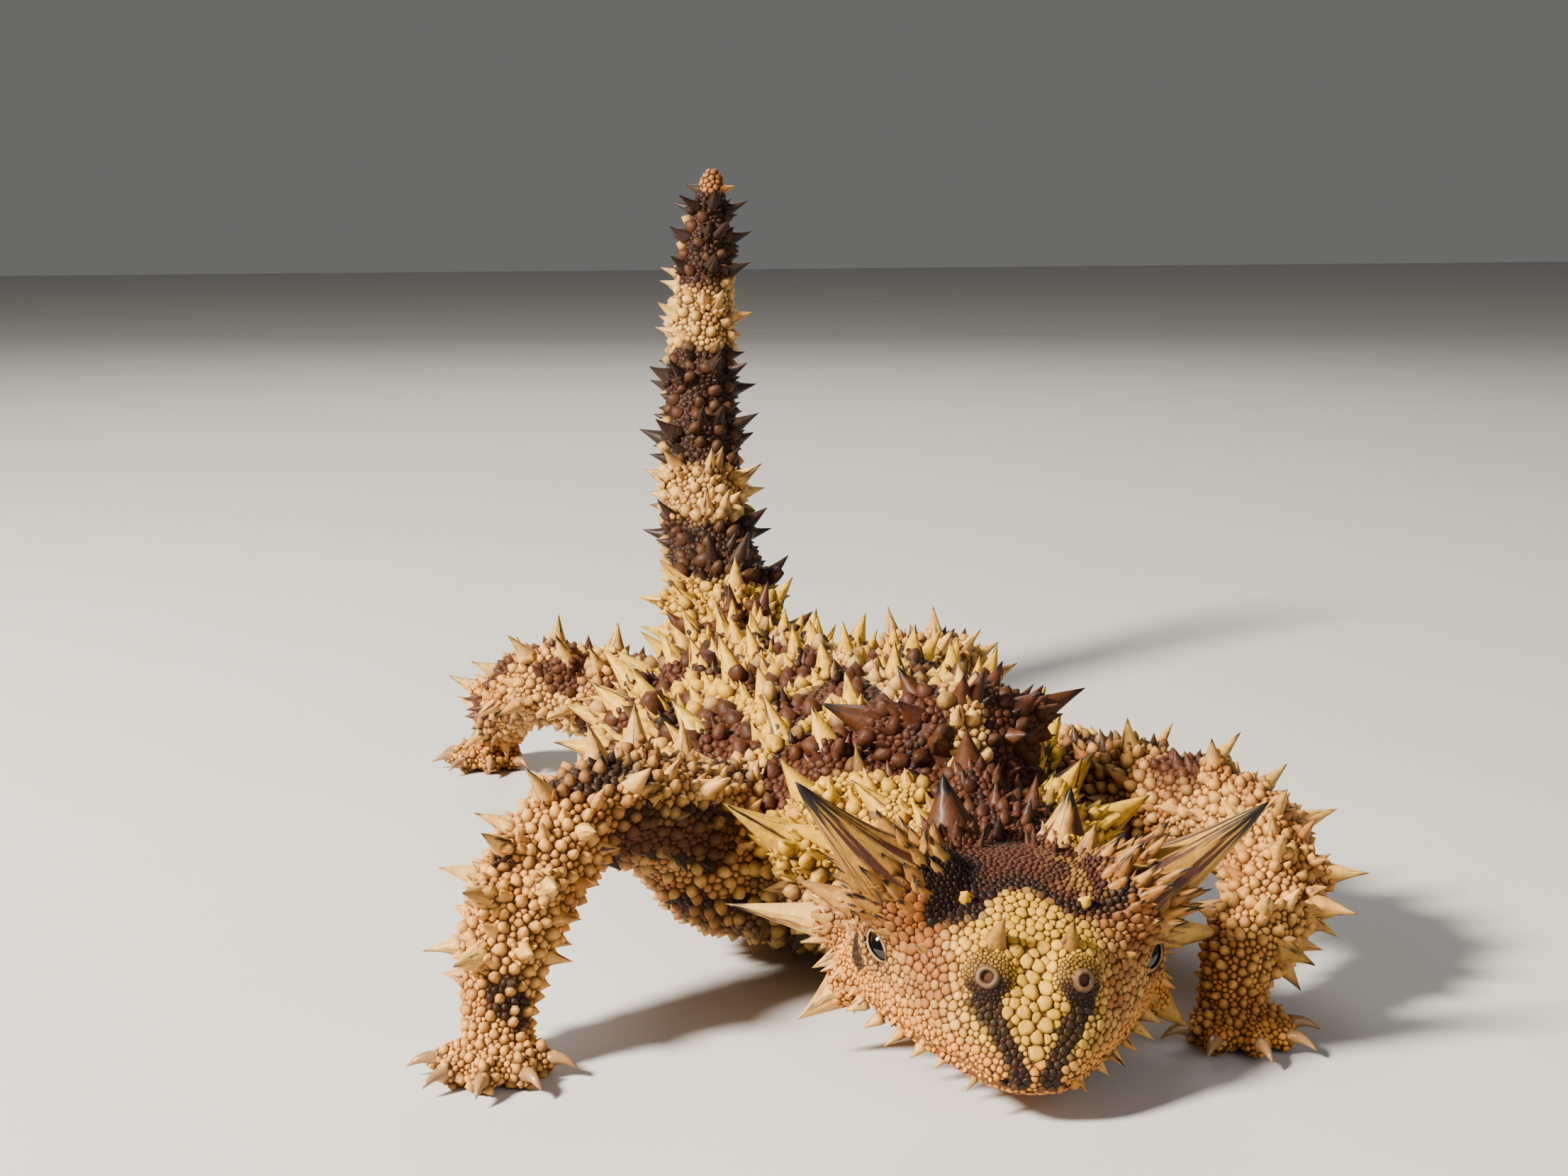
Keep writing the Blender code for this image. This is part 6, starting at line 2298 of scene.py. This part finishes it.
@dataclass
class ThornCoat:
    """The main thorns, the pointed scales round their feet and the small spines between."""

    body: Body
    markings: Markings
    scatter: Scatter
    thorns: list[Thorn]
    small_gap: float = 2.5
    large: tuple = (
        8, ((-0.22, 0.96), (0.0, 1.0), (0.12, 0.86), (0.30, 0.66), (0.52, 0.44), (0.76, 0.22), (0.93, 0.07)),
    )
    small: tuple = (6, ((-0.25, 0.95), (0.04, 0.92), (0.36, 0.58), (0.74, 0.22)))

    def feet(self) -> list[Thorn]:
        """Return the pointed scales that stand round the feet of the larger thorns.

        Returns:
            The scales, as thorns.
        """
        rng = np.random.default_rng(SEED + 5)
        made = []
        for thorn in self.thorns:
            if thorn.length < 2.2:
                continue
            on_back = thorn.root.y > -14 and thorn.root.z < 20
            count = int((3 if on_back else 5) + thorn.radius * 2)
            turn = turn_to(thorn.direction).to_3x3()
            for tier, (height, reach, size) in enumerate(((0.02, 1.02, 0.34), (0.24, 0.66, 0.26))):
                if tier and thorn.length < 4:
                    continue
                for index in range(count):
                    angle = math.tau * (index + 0.5 * tier + 0.4 * rng.random()) / count
                    outward = turn @ Vector((math.cos(angle), math.sin(angle), 0))
                    root = thorn.middle(height) + outward * thorn.radius * (reach - 0.1)
                    way = (thorn.direction + outward * 0.42).normalized()
                    length = thorn.length * size * (0.55 + 0.5 * rng.random())
                    radius = min(0.42 * thorn.radius, 0.5) * (0.8 + 0.4 * rng.random())
                    hue = thorn.hue if tier else Hue.SKIN
                    made.append(Thorn(root, way, min(length, 1.7), radius, hue=hue, tip=0.5))
        return made

    def small_spines(self) -> list[Thorn]:
        """Return small spines spread over back, flanks, limbs and tail.

        Returns:
            The spines, as thorns.
        """
        rng = np.random.default_rng(SEED + 6)
        scatter = self.scatter
        picks = rng.choice(len(scatter.vertices), 9000, replace=False)
        points = scatter.vertices[picks]
        spots = self.body.locate(points)
        on = ~spots.on(Part.HEAD)
        lift = np.where(spots.on(Part.TRUNK), np.sin(spots.angle) > -0.55, np.sin(spots.angle) > -0.8)
        on &= lift & (spots.place < np.where(spots.on(Part.TRUNK), 16.9, 5.0)) & (spots.points[:, 2] > 1.6)
        back = spots.on(Part.TRUNK) & (spots.place < TAIL_START) & (np.sin(spots.angle) > 0.0)
        on &= ~back | (self.markings.masks(spots)[:, 1] > 0.5) | (spots.place < NECK_END)
        tree = point_tree([thorn.root for thorn in self.thorns])
        kept: list[Array] = []
        made = []
        for index in np.flatnonzero(on):
            point = points[index]
            if kept:
                spacing = self.small_gap * (0.6 + 0.6 * rng.random())
                if np.linalg.norm(np.array(kept) - point, axis=1).min() < spacing:
                    continue
            _, owner, away = tree.find(point)
            if away < self.thorns[owner].radius * 1.5 + 0.5:
                continue
            kept.append(point)
            way = Vector(scatter.vertex_normals[picks[index]]) + Vector((0, 0.35, 0.1))
            size = (0.55 + 0.75 * rng.random()) * (1.6 if spots.on(Part.TRUNK)[index] else 1.35)
            made.append(Thorn(Vector(point), way.normalized(), size, 0.28 + 0.2 * size, bare=True, tip=0.6))
        return made

    def build(self, placement: Placement, finish: Material) -> None:
        """Build all thorns as joined pieces, by size and by part of the body.

        Args:
            placement: Where the pieces go.
            finish: Their material.
        """
        small = self.feet() + self.small_spines()
        sets = ((self.large, "thorns", [t for t in self.thorns if t.length > MAIN_THORN]),
                (self.small, "spikes", small + [t for t in self.thorns if t.length <= MAIN_THORN]))
        for (sides, profile), word, every in sets:
            spots = self.body.locate(np.array([thorn.root for thorn in every]))
            coat = coat_of(spots)
            for index, piece in enumerate(Coat):
                chosen = [thorn for thorn, owner in zip(every, coat) if owner == index]
                name = piece.value.replace("scales", word)
                self.build_piece(placement, finish, name, chosen, sides, profile)

    def build_piece(
        self,
        placement: Placement,
        finish: Material,
        name: str,
        every: list[Thorn],
        sides: int,
        profile: Rows,
    ) -> None:
        """Build one joined piece of thorns.

        Args:
            placement: Where the piece goes.
            finish: Its material.
            name: Its name.
            every: Its thorns.
            sides: The sides of each.
            profile: Its rings: share of the length and share of the radius.
        """
        roots = np.array([thorn.root for thorn in every])
        spots = self.body.locate(roots)
        masks = self.markings.masks(spots)
        rng = np.random.default_rng(SEED + 7)
        directions = np.array([thorn.direction for thorn in every])
        lengths = np.array([thorn.length for thorn in every])
        radii = np.array([thorn.radius for thorn in every])
        bends = np.array([thorn.bend for thorn in every])
        bends += np.where(lengths[:, None] > 2.0, (rng.random((len(every), 3)) - 0.5) * 0.16, 0.0)
        first, second = frames_of(directions, np.tile([0.3, 1.0, 0.2], (len(every), 1)))
        angles = rng.random((len(every), 1)) * math.tau + (np.arange(sides) / sides * math.tau)[None]
        ridge = 1 + 0.08 * np.where(np.arange(sides) % 2 == 0, 1, -1)
        layers, alongs = [], []
        for height, share in (*profile, (1.0, 0.0)):
            around = radii[:, None] * share * ridge
            points = first[:, None] * (np.cos(angles) * around)[..., None]
            points = points + second[:, None] * (np.sin(angles) * around)[..., None]
            middle = roots + directions * (lengths * height)[:, None]
            middle = middle + bends * (max(height, 0) ** 2 * lengths)[:, None]
            points = points + middle[:, None]
            layers.append(points if share else points[:, :1])
            alongs.append(np.full(sides if share else 1, height))
        points = np.concatenate(layers, 1)
        along = np.concatenate(alongs)
        corners = len(along)
        turn = np.tile(np.arange(sides) / sides * math.tau, len(profile))
        reach = (1 - np.clip(along[:-1], 0, 1)) * PATCH
        disc = np.vstack([np.stack([np.cos(turn) * reach, np.sin(turn) * reach], -1), [[0.0, 0.0]]])
        uv = chart(spots, coat_of(spots))[:, None] + disc[None]
        masks = np.repeat(masks[:, None], corners, 1)
        for index, thorn in enumerate(every):
            if thorn.hue is not Hue.SKIN:
                masks[index] = thorn.hue.value
            # The half turned to the animal's left gets its own hue: painted shade on the side away from the
            # light.
            if thorn.left_hue is not Hue.SKIN:
                axis = directions[index, 0] * along * lengths[index]
                on_left = points[index, :, 0] - roots[index, 0] > axis + 0.1
                masks[index, on_left] = thorn.left_hue.value
        marks = masks[..., :3]
        shade = np.clip(0.5 + 0.5 * rng.random((len(every), 1)) - 0.6 * masks[..., 4], 0.0, 1.0)
        # Painted shade: the ring at each thorn's foot darkens towards the crease colour where the thorn meets
        # the skin.
        rim = np.repeat(np.where(along <= 0.0, 0.6, 0.0)[None], len(every), 0)
        dress = np.stack([masks[..., 3] * 0.5, shade, rim], -1)
        streaks = np.empty((len(every), corners, 3))
        streaks[..., 0] = along[None] * np.array([thorn.tip for thorn in every])[:, None]
        streaks[..., 1] = np.append(np.tile(np.arange(sides) / sides, len(profile)), 0.5)[None]
        streaks[..., 2] = rng.random(len(every))[:, None] * 60
        mesh = join_shapes(name, points, ring_faces(sides, len(profile)), marks, dress, uv)
        set_vectors(mesh, "along", streaks.reshape(-1, 3))
        placement.finish(mesh, name, "skin", finish)


@dataclass
class Horns:
    """The two brow horns: ridged cones with dark tips."""

    head: HeadForm
    sides: int = 28
    rings: int = 16
    ridges: int = 7
    ridge_depth: float = 0.09
    clasps: tuple = ((0.5, 3.05, 12, 1.7), (1.6, 2.55, 10, 2.3), (2.9, 2.15, 7, 2.3))

    def build(self, placement: Placement, finish: Material) -> None:
        """Build both horns.

        Args:
            placement: Where the pieces go.
            finish: Their material.
        """
        for side, word in SIDES:
            brow, aim, length = self.head.horn_axis(side)
            mesh_edit = bmesh.new()
            loops = []
            long = length - self.head.horn_start
            for step in range(self.rings + 1):
                share = step / self.rings
                hollow = 1.0 - 0.12 * math.sin(math.pi * share)
                radius = self.head.horn_radius * (1 - share) ** 0.92 * hollow + 0.05
                rise = self.head.way((0, -0.4, 0.9)) * share * (1 - share) * -1.2
                middle = brow + aim * (self.head.horn_start - 0.5 + (long + 0.5) * share) + rise
                matrix = Matrix.Translation(middle) @ turn_to(aim)
                ring = bmesh.ops.create_circle(mesh_edit, segments=self.sides, radius=1.0)["verts"]
                for vertex in ring:
                    angle = math.atan2(vertex.co.y, vertex.co.x)
                    depth = self.ridge_depth * (1 - share * 0.6)
                    wave = abs(math.sin(angle * self.ridges / 2 + side + share * 0.6))
                    vertex.co = matrix @ (vertex.co * radius * (1 - depth + 1.6 * depth * wave))
                loops.append(loop_edges(ring))
            close_loops(mesh_edit, loops)
            piece = placement.finish_edit(mesh_edit, f"brow_horn_{word}", "horn", finish)
            self.mark(piece, placement, brow, aim, length)
            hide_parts(f"horn_{word}")

    def mark(self, piece: Piece, placement: Placement, brow: Vector, aim: Vector, length: float) -> None:
        """Store the way along and round the horn for its streaks.

        Args:
            piece: The horn's piece.
            placement: What puts pieces in the scene.
            brow: The middle of the horn's foot.
            aim: The direction of the horn.
            length: The horn's length.
        """
        points = read_rows(piece.data.vertices, "co") / MM - np.array(placement.shift) - np.array(brow)
        count = len(points)
        high = points @ np.array(aim)
        first, second = frames_of(np.array([aim]), np.array([[0.0, 0.3, 1.0]]))
        angle = np.arctan2(points @ second[0], points @ first[0])
        flat = np.stack([high / length * 0.98, np.abs(angle) / math.pi * 1.6, np.full(count, 3.0)], -1)
        set_vectors(piece.data, "along", flat)
        share = high / length
        marks = np.stack([0.35 * (1 - share), 0.25 + 0.35 * share, 0.25 * (1 - share)], -1)
        set_vectors(piece.data, "marks", np.clip(marks, 0.0, 1.0))
        set_vectors(piece.data, "finish", np.tile([0.0, 0.25, 0.0], (count, 1)))

    def scales(self) -> list[Thorn]:
        """Return long pointed scales that clasp the foot of each horn.

        Returns:
            The scales, as thorns.
        """
        rng = np.random.default_rng(SEED + 9)
        made = []
        for side in (RIGHT, LEFT):
            brow, aim, length = self.head.horn_axis(side)
            turn = turn_to(aim).to_3x3()
            for height, reach, count, size in self.clasps:
                for index in range(count):
                    angle = math.tau * (index + rng.random() * 0.5) / count
                    outward = turn @ Vector((math.cos(angle), math.sin(angle), 0))
                    way = (aim + outward * 0.30).normalized()
                    root = brow + aim * height + outward * (reach - 0.25)
                    length, radius = size * (0.7 + 0.5 * rng.random()), 0.55 * (0.8 + 0.5 * rng.random())
                    made.append(Thorn(root, way, length, radius, hue=Hue.BROWN, tip=1.1))
        return made


@dataclass
class Eyes:
    """The eyeballs and the fringe of small scales round each lid slit."""

    head: HeadForm
    slit: Span = (1.10, 0.48)

    def build(self, placement: Placement, eye_finish: Material, lid_finish: Material) -> None:
        """Build both eyes with their lids.

        Args:
            placement: What puts pieces in the scene.
            eye_finish: The eyes' material.
            lid_finish: The lids' material.
        """
        for side, word in SIDES:
            frame_at = self.head.eye_frame(side)
            mesh_edit = bmesh.new()
            bmesh.ops.create_uvsphere(mesh_edit, u_segments=40, v_segments=24, radius=self.head.eye_radius,
                                      matrix=frame_at)
            ball = placement.finish_edit(mesh_edit, f"eyeball_{word}", "eye", eye_finish)
            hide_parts(f"eye_{word}")
            points = read_rows(ball.data.vertices, "co") / MM - np.array(placement.shift)
            set_vectors(ball.data, "iris", into_frame(frame_at, points))
            self.build_lid(placement, frame_at, word, lid_finish)

    def build_lid(self, placement: Placement, frame_at: Matrix, word: str, finish: Material) -> None:
        """Build the rolled rim of the lids round one slit.

        Args:
            placement: Where the piece goes.
            frame_at: The eye's place.
            word: The side's name.
            finish: Its material.
        """
        mesh_edit = bmesh.new()
        section = bmesh.ops.create_circle(mesh_edit, segments=10, radius=0.095)["verts"]
        bmesh.ops.rotate(mesh_edit, matrix=Matrix.Rotation(math.pi / 2, 3, "X"), verts=section)
        bmesh.ops.translate(mesh_edit, verts=section, vec=(1.0, 0, 0))
        spin_round(mesh_edit, 48)
        shell = self.head.eye_radius + 0.10
        for vertex in mesh_edit.verts:
            flat = vertex.co.to_2d()
            angle = math.atan2(flat.y, flat.x)
            excess = flat.length - 1.0
            point = Vector((math.cos(angle) * self.slit[0],
                            math.copysign(abs(math.sin(angle)) ** 1.25, math.sin(angle)) * self.slit[1]))
            point += Vector((math.cos(angle), math.sin(angle))) * excess
            height = math.sqrt(max(shell**2 - point.length_squared, 0.1)) + vertex.co.z
            vertex.co = frame_at @ Vector((point.x, point.y, height))
        placement.finish_edit(mesh_edit, f"lid_rim_{word}", "skin", finish)


@dataclass
class Nostrils:
    """The raised rings of the nostrils with their openings, which the nostril finish paints dark as shade."""

    head: HeadForm
    profile: Rows = (
        (0.0, -0.22), (0.22, -0.20), (0.31, 0.06), (0.42, 0.24), (0.56, 0.24), (0.72, 0.06), (0.76, -0.12),
        (0.70, -0.5), (0.0, -0.5),
    )
    lift: float = 0.56
    wobble: float = 0.022

    def build(self, placement: Placement, finish: Material) -> None:
        """Build both nostrils by spinning their section.

        Args:
            placement: What puts pieces in the scene.
            finish: The material.
        """
        for side, word in SIDES:
            mesh_edit = bmesh.new()
            verts = [mesh_edit.verts.new((reach, 0.0, height)) for reach, height in self.profile]
            for pair in zip(verts, verts[1:]):
                mesh_edit.edges.new(pair)
            spin_round(mesh_edit, 28)
            bmesh.ops.remove_doubles(mesh_edit, verts=mesh_edit.verts, dist=0.001)
            place = Matrix.Translation(self.head.point(self.head.nostril, side))
            place = place @ turn_to(self.head.way(self.head.nostril_aim, side))
            place = place @ Matrix.Translation((0, 0, self.lift))
            flat = np.array([(v.co.to_2d().length, v.co.z, 0.0) for v in mesh_edit.verts])
            rng = random.Random(SEED + side)
            waves = [(rng.randint(2, 9), rng.uniform(0, math.tau)) for _ in range(5)]
            for vertex in mesh_edit.verts:
                angle = math.atan2(vertex.co.y, vertex.co.x)
                wave = sum(math.sin(angle * times + start) for times, start in waves) * self.wobble
                vertex.co *= 1 + wave
            bmesh.ops.transform(mesh_edit, matrix=place, verts=mesh_edit.verts)
            piece = placement.finish_edit(mesh_edit, f"nostril_{word}", "skin", finish)
            set_vectors(piece.data, "ring", flat)


@dataclass
class Claws:
    """The curved claws of every digit."""

    limbs: list[LimbForm]

    def build(self, placement: Placement, finish: Material) -> Piece:
        """Build all claws as one piece.

        Args:
            placement: What puts pieces in the scene.
            finish: The material.

        Returns:
            What was built.
        """
        mesh_edit = bmesh.new()
        for limb in self.limbs:
            for _, stop, way in limb.digits()[1]:
                points, radii = [], []
                for share in (0.0, 0.2, 0.4, 0.6, 0.8, 1.0):
                    rise = 0.28 * math.sin(math.pi * share) - 0.38 * share
                    along = way * (limb.claw_length * 1.05 * share - 0.25)
                    points.append(stop + along + Vector((0, 0, 0.25 + rise)))
                    radii.append(0.50 * (1 - share) ** 0.8 + 0.03)
                add_taper(mesh_edit, points, radii, 12)
        return placement.finish_edit(mesh_edit, "claws", "horn", finish)


@dataclass
class PieceFinishes:
    """The finishes that only one kind of piece wears."""

    iris: tuple = ((0.0, (0.002, 0.0015, 0.001)), (0.60, (0.002, 0.0015, 0.001)), (0.70, (0.018, 0.007, 0.003)),
                   (0.90, (0.010, 0.004, 0.002)), (0.98, (0.003, 0.002, 0.0015)))
    iris_waver: float = 0.22
    # The nostril ring's colours by reach from its middle: the near black pit, the dark brown inner wall and the
    # darker outer foot are painted shade.
    ring: tuple = ((0.36, (0.003, 0.002, 0.001)), (0.50, (0.035, 0.018, 0.009)), (0.68, (0.16, 0.085, 0.036)),
                   (0.92, (0.05, 0.025, 0.012)))
    ring_waver: float = 0.3
    lid_colours: Rows = ((0.10, 0.045, 0.016), (0.36, 0.22, 0.10))
    claw_colours: Rows = ((0.15, 0.060, 0.020), (0.42, 0.24, 0.10))
    floor_colours: Rows = ((0.52, 0.505, 0.48), (0.56, 0.545, 0.52))

    def eye(self) -> Material:
        """Return the glossy eye with its brown iris and dark pupil.

        Returns:
            The material.
        """
        made, nodes, shader = Finish("eye_glass", 0.05, 0.3, 0.5).start()
        place = nodes.attribute("iris")
        across, along, _ = nodes.split(place)
        flat = nodes.add("CombineXYZ", across, along).outputs[0]
        reach = nodes.add("VectorMath", flat, operation="LENGTH").outputs["Value"]
        noise = nodes.noise(6.0, 4.0, place)
        reach = nodes.add("Math", noise, self.iris_waver, reach, operation="MULTIPLY_ADD").outputs[0]
        nodes.feed(shader.inputs["Base Color"], nodes.bands(reach, self.iris))
        return made

    def lid(self) -> Material:
        """Return the lids' rim: mottled dark and light brown.

        Returns:
            The material.
        """
        made, nodes, shader = Finish("lid_rim", 0.35, 0.2).start()
        noise = nodes.noise(1100.0, 3.0)
        nodes.feed(shader.inputs["Base Color"], nodes.mix(nodes.span(noise, 0.40, 0.62), *self.lid_colours))
        nodes.bump(shader, noise, 0.6, 0.00005)
        return made

    def nostril(self) -> Material:
        """Return the nostril's ring: grey brown, with painted shade that makes it near black inside the pit and
        darker at its foot.

        Returns:
            The material.
        """
        made, nodes, shader = Finish("nostril_ring", 0.5).start()
        noise = nodes.noise(1500.0, 4.0)
        reach = nodes.split(nodes.attribute("ring"))[0]
        reach = nodes.add("Math", noise, self.ring_waver, reach, operation="MULTIPLY_ADD").outputs[0]
        nodes.feed(shader.inputs["Base Color"], nodes.bands(reach, self.ring))
        nodes.bump(shader, noise, 0.9, 0.00012)
        return made

    def claw(self) -> Material:
        """Return the claws' tan horn with paler streaks.

        Returns:
            The material.
        """
        made, nodes, shader = Finish("claw_horn", 0.3, 0.4).start()
        noise = nodes.noise(900.0, 4.0)
        nodes.feed(shader.inputs["Base Color"], nodes.mix(noise, *self.claw_colours))
        nodes.bump(shader, noise, 0.3, 0.00004)
        return made

    def floor(self) -> Material:
        """Return the pale studio floor.

        Returns:
            The material.
        """
        made, nodes, shader = Finish("studio_floor", 0.85).start()
        nodes.feed(shader.inputs["Base Color"], nodes.mix(nodes.noise(30.0, 3.0), *self.floor_colours))
        return made


@dataclass
class Studio:
    """The floor, the soft lights and the camera."""

    eye_point: Sizes = (-52.0, -160.0, 52.7)
    look_down: float = 10.0
    look_right: float = 16.6
    focal_pixels: float = 3100.0
    image_width: int = 2212
    sensor: float = 36.0
    lit_point: Sizes = (0.0, -0.02, 0.012)
    sky_colour: Sizes = (0.86, 0.86, 0.85, 1.0)
    sky_strength: float = 0.17

    def build(self, placement: Placement, finishes: PieceFinishes) -> None:
        """Build the studio.

        Args:
            placement: What puts pieces in the scene.
            finishes: The materials of the smaller pieces.
        """
        mesh_edit = bmesh.new()
        bmesh.ops.create_grid(mesh_edit, x_segments=8, y_segments=8, size=1500.0)
        mesh = bpy.data.meshes.new("floor")
        mesh_edit.to_mesh(mesh)
        mesh_edit.free()
        mesh.transform(Matrix.Scale(MM, 4))
        mesh.materials.append(finishes.floor())
        floor = bpy.data.objects.new("floor", mesh)
        bpy.context.scene.collection.objects.link(floor)
        self.add_light("key", (-0.40, -0.10, 0.30), 0.09, 12.0, (1.0, 0.93, 0.82))
        self.add_light("fill", (0.16, -0.42, 0.22), 0.40, 0.7, (0.92, 0.96, 1.0))
        self.add_light("back", (0.10, 0.42, 0.36), 0.30, 1.4, (1.0, 0.97, 0.92))
        world = bpy.data.worlds.new("studio")
        world.use_nodes = True
        sky = world.node_tree.nodes["Background"]
        sky.inputs["Color"].default_value = self.sky_colour
        sky.inputs["Strength"].default_value = self.sky_strength
        bpy.context.scene.world = world
        self.add_camera(placement)

    def add_light(self, name: str, spot: Sizes, size: float, power: float, colour: Sizes) -> None:
        """Add an area light that faces the animal.

        Args:
            name: Its name.
            spot: Its place in metres.
            size: Its width in metres.
            power: Its power in watts.
            colour: Its colour.
        """
        data = bpy.data.lights.new(name, "AREA")
        data.shape = "DISK"
        data.size, data.energy, data.color = size, power, colour
        light = bpy.data.objects.new(name, data)
        light.location = spot
        aim = Vector(self.lit_point) - Vector(spot)
        light.rotation_euler = aim.to_track_quat("-Z", "Y").to_euler()
        bpy.context.scene.collection.objects.link(light)

    def add_camera(self, placement: Placement) -> None:
        """Add the camera at the photograph's viewing angle.

        Args:
            placement: What puts pieces in the scene.
        """
        data = bpy.data.cameras.new("camera")
        data.sensor_width = self.sensor
        data.lens = self.focal_pixels / self.image_width * self.sensor
        data.clip_start, data.clip_end = 0.005, 20.0
        camera = bpy.data.objects.new("camera", data)
        camera.location = (Vector(self.eye_point) + placement.shift) * MM
        camera.rotation_euler = (math.radians(90 - self.look_down), 0.0, math.radians(-self.look_right))
        bpy.context.scene.collection.objects.link(camera)
        bpy.context.scene.camera = camera


def find_placement(head: HeadForm) -> Placement:
    """Find where the solids stand from the right eye's box."""
    low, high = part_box("eye_right")
    return Placement((low + high) / 2 / MM - head.point(head.eye, RIGHT))


def main() -> None:
    """Build every piece in order and report each."""
    logging.basicConfig(level=logging.INFO, format="%(message)s")
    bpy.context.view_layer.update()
    body = Body()
    placement = find_placement(body.head)
    LOG.info("placement %s", tuple(round(v, 3) for v in placement.shift))
    markings = Markings(body)
    hide = Hide()
    finishes = PieceFinishes()
    thorns = ThornPlan(body.head, body.spine, body.limbs).place_all()
    skin_mesh = Skin(body, thorns).build()
    scatter = Scatter(body, thorns, skin_mesh, markings)
    seeds = scatter.spread()
    LOG.info("%d scales, %d thorns", len(seeds.points), len(scatter.thorns))
    ScaleCoat(scatter, seeds, markings).build(placement, hide.dress("scale", 2600.0, 0.00004))
    horns = Horns(body.head)
    thorn_finish = hide.dress("thorn", 1800.0, 0.00005, 0.1, 0.56)
    ThornCoat(body, markings, scatter, scatter.thorns + horns.scales()).build(placement, thorn_finish)
    horns.build(placement, hide.dress("horn", 1500.0, 0.00005, 0.15, 0.43))
    Eyes(body.head).build(placement, finishes.eye(), finishes.lid())
    Nostrils(body.head).build(placement, finishes.nostril())
    Claws(body.limbs).build(placement, finishes.claw())
    skin_spots = body.locate(scatter.vertices)
    masks = markings.masks(skin_spots)
    set_vectors(skin_mesh, "marks", masks[:, :3])
    set_vectors(skin_mesh, "finish", np.column_stack([masks[:, 3], np.full((len(masks), 2), SKIN_TONE_AND_CREASE_SHADE)]))
    skin = placement.finish(skin_mesh, "skin", "skin", hide.dress("hide", 1500.0, 0.00006))
    flesh = ["head", "neck", "torso", "tail_base", "tail_middle", "tail_tip"]
    flesh += [name for limb in body.limbs for name in limb.node_names]
    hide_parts(*flesh)
    Studio().build(placement, finishes)


if __name__ == "__main__":
    main()
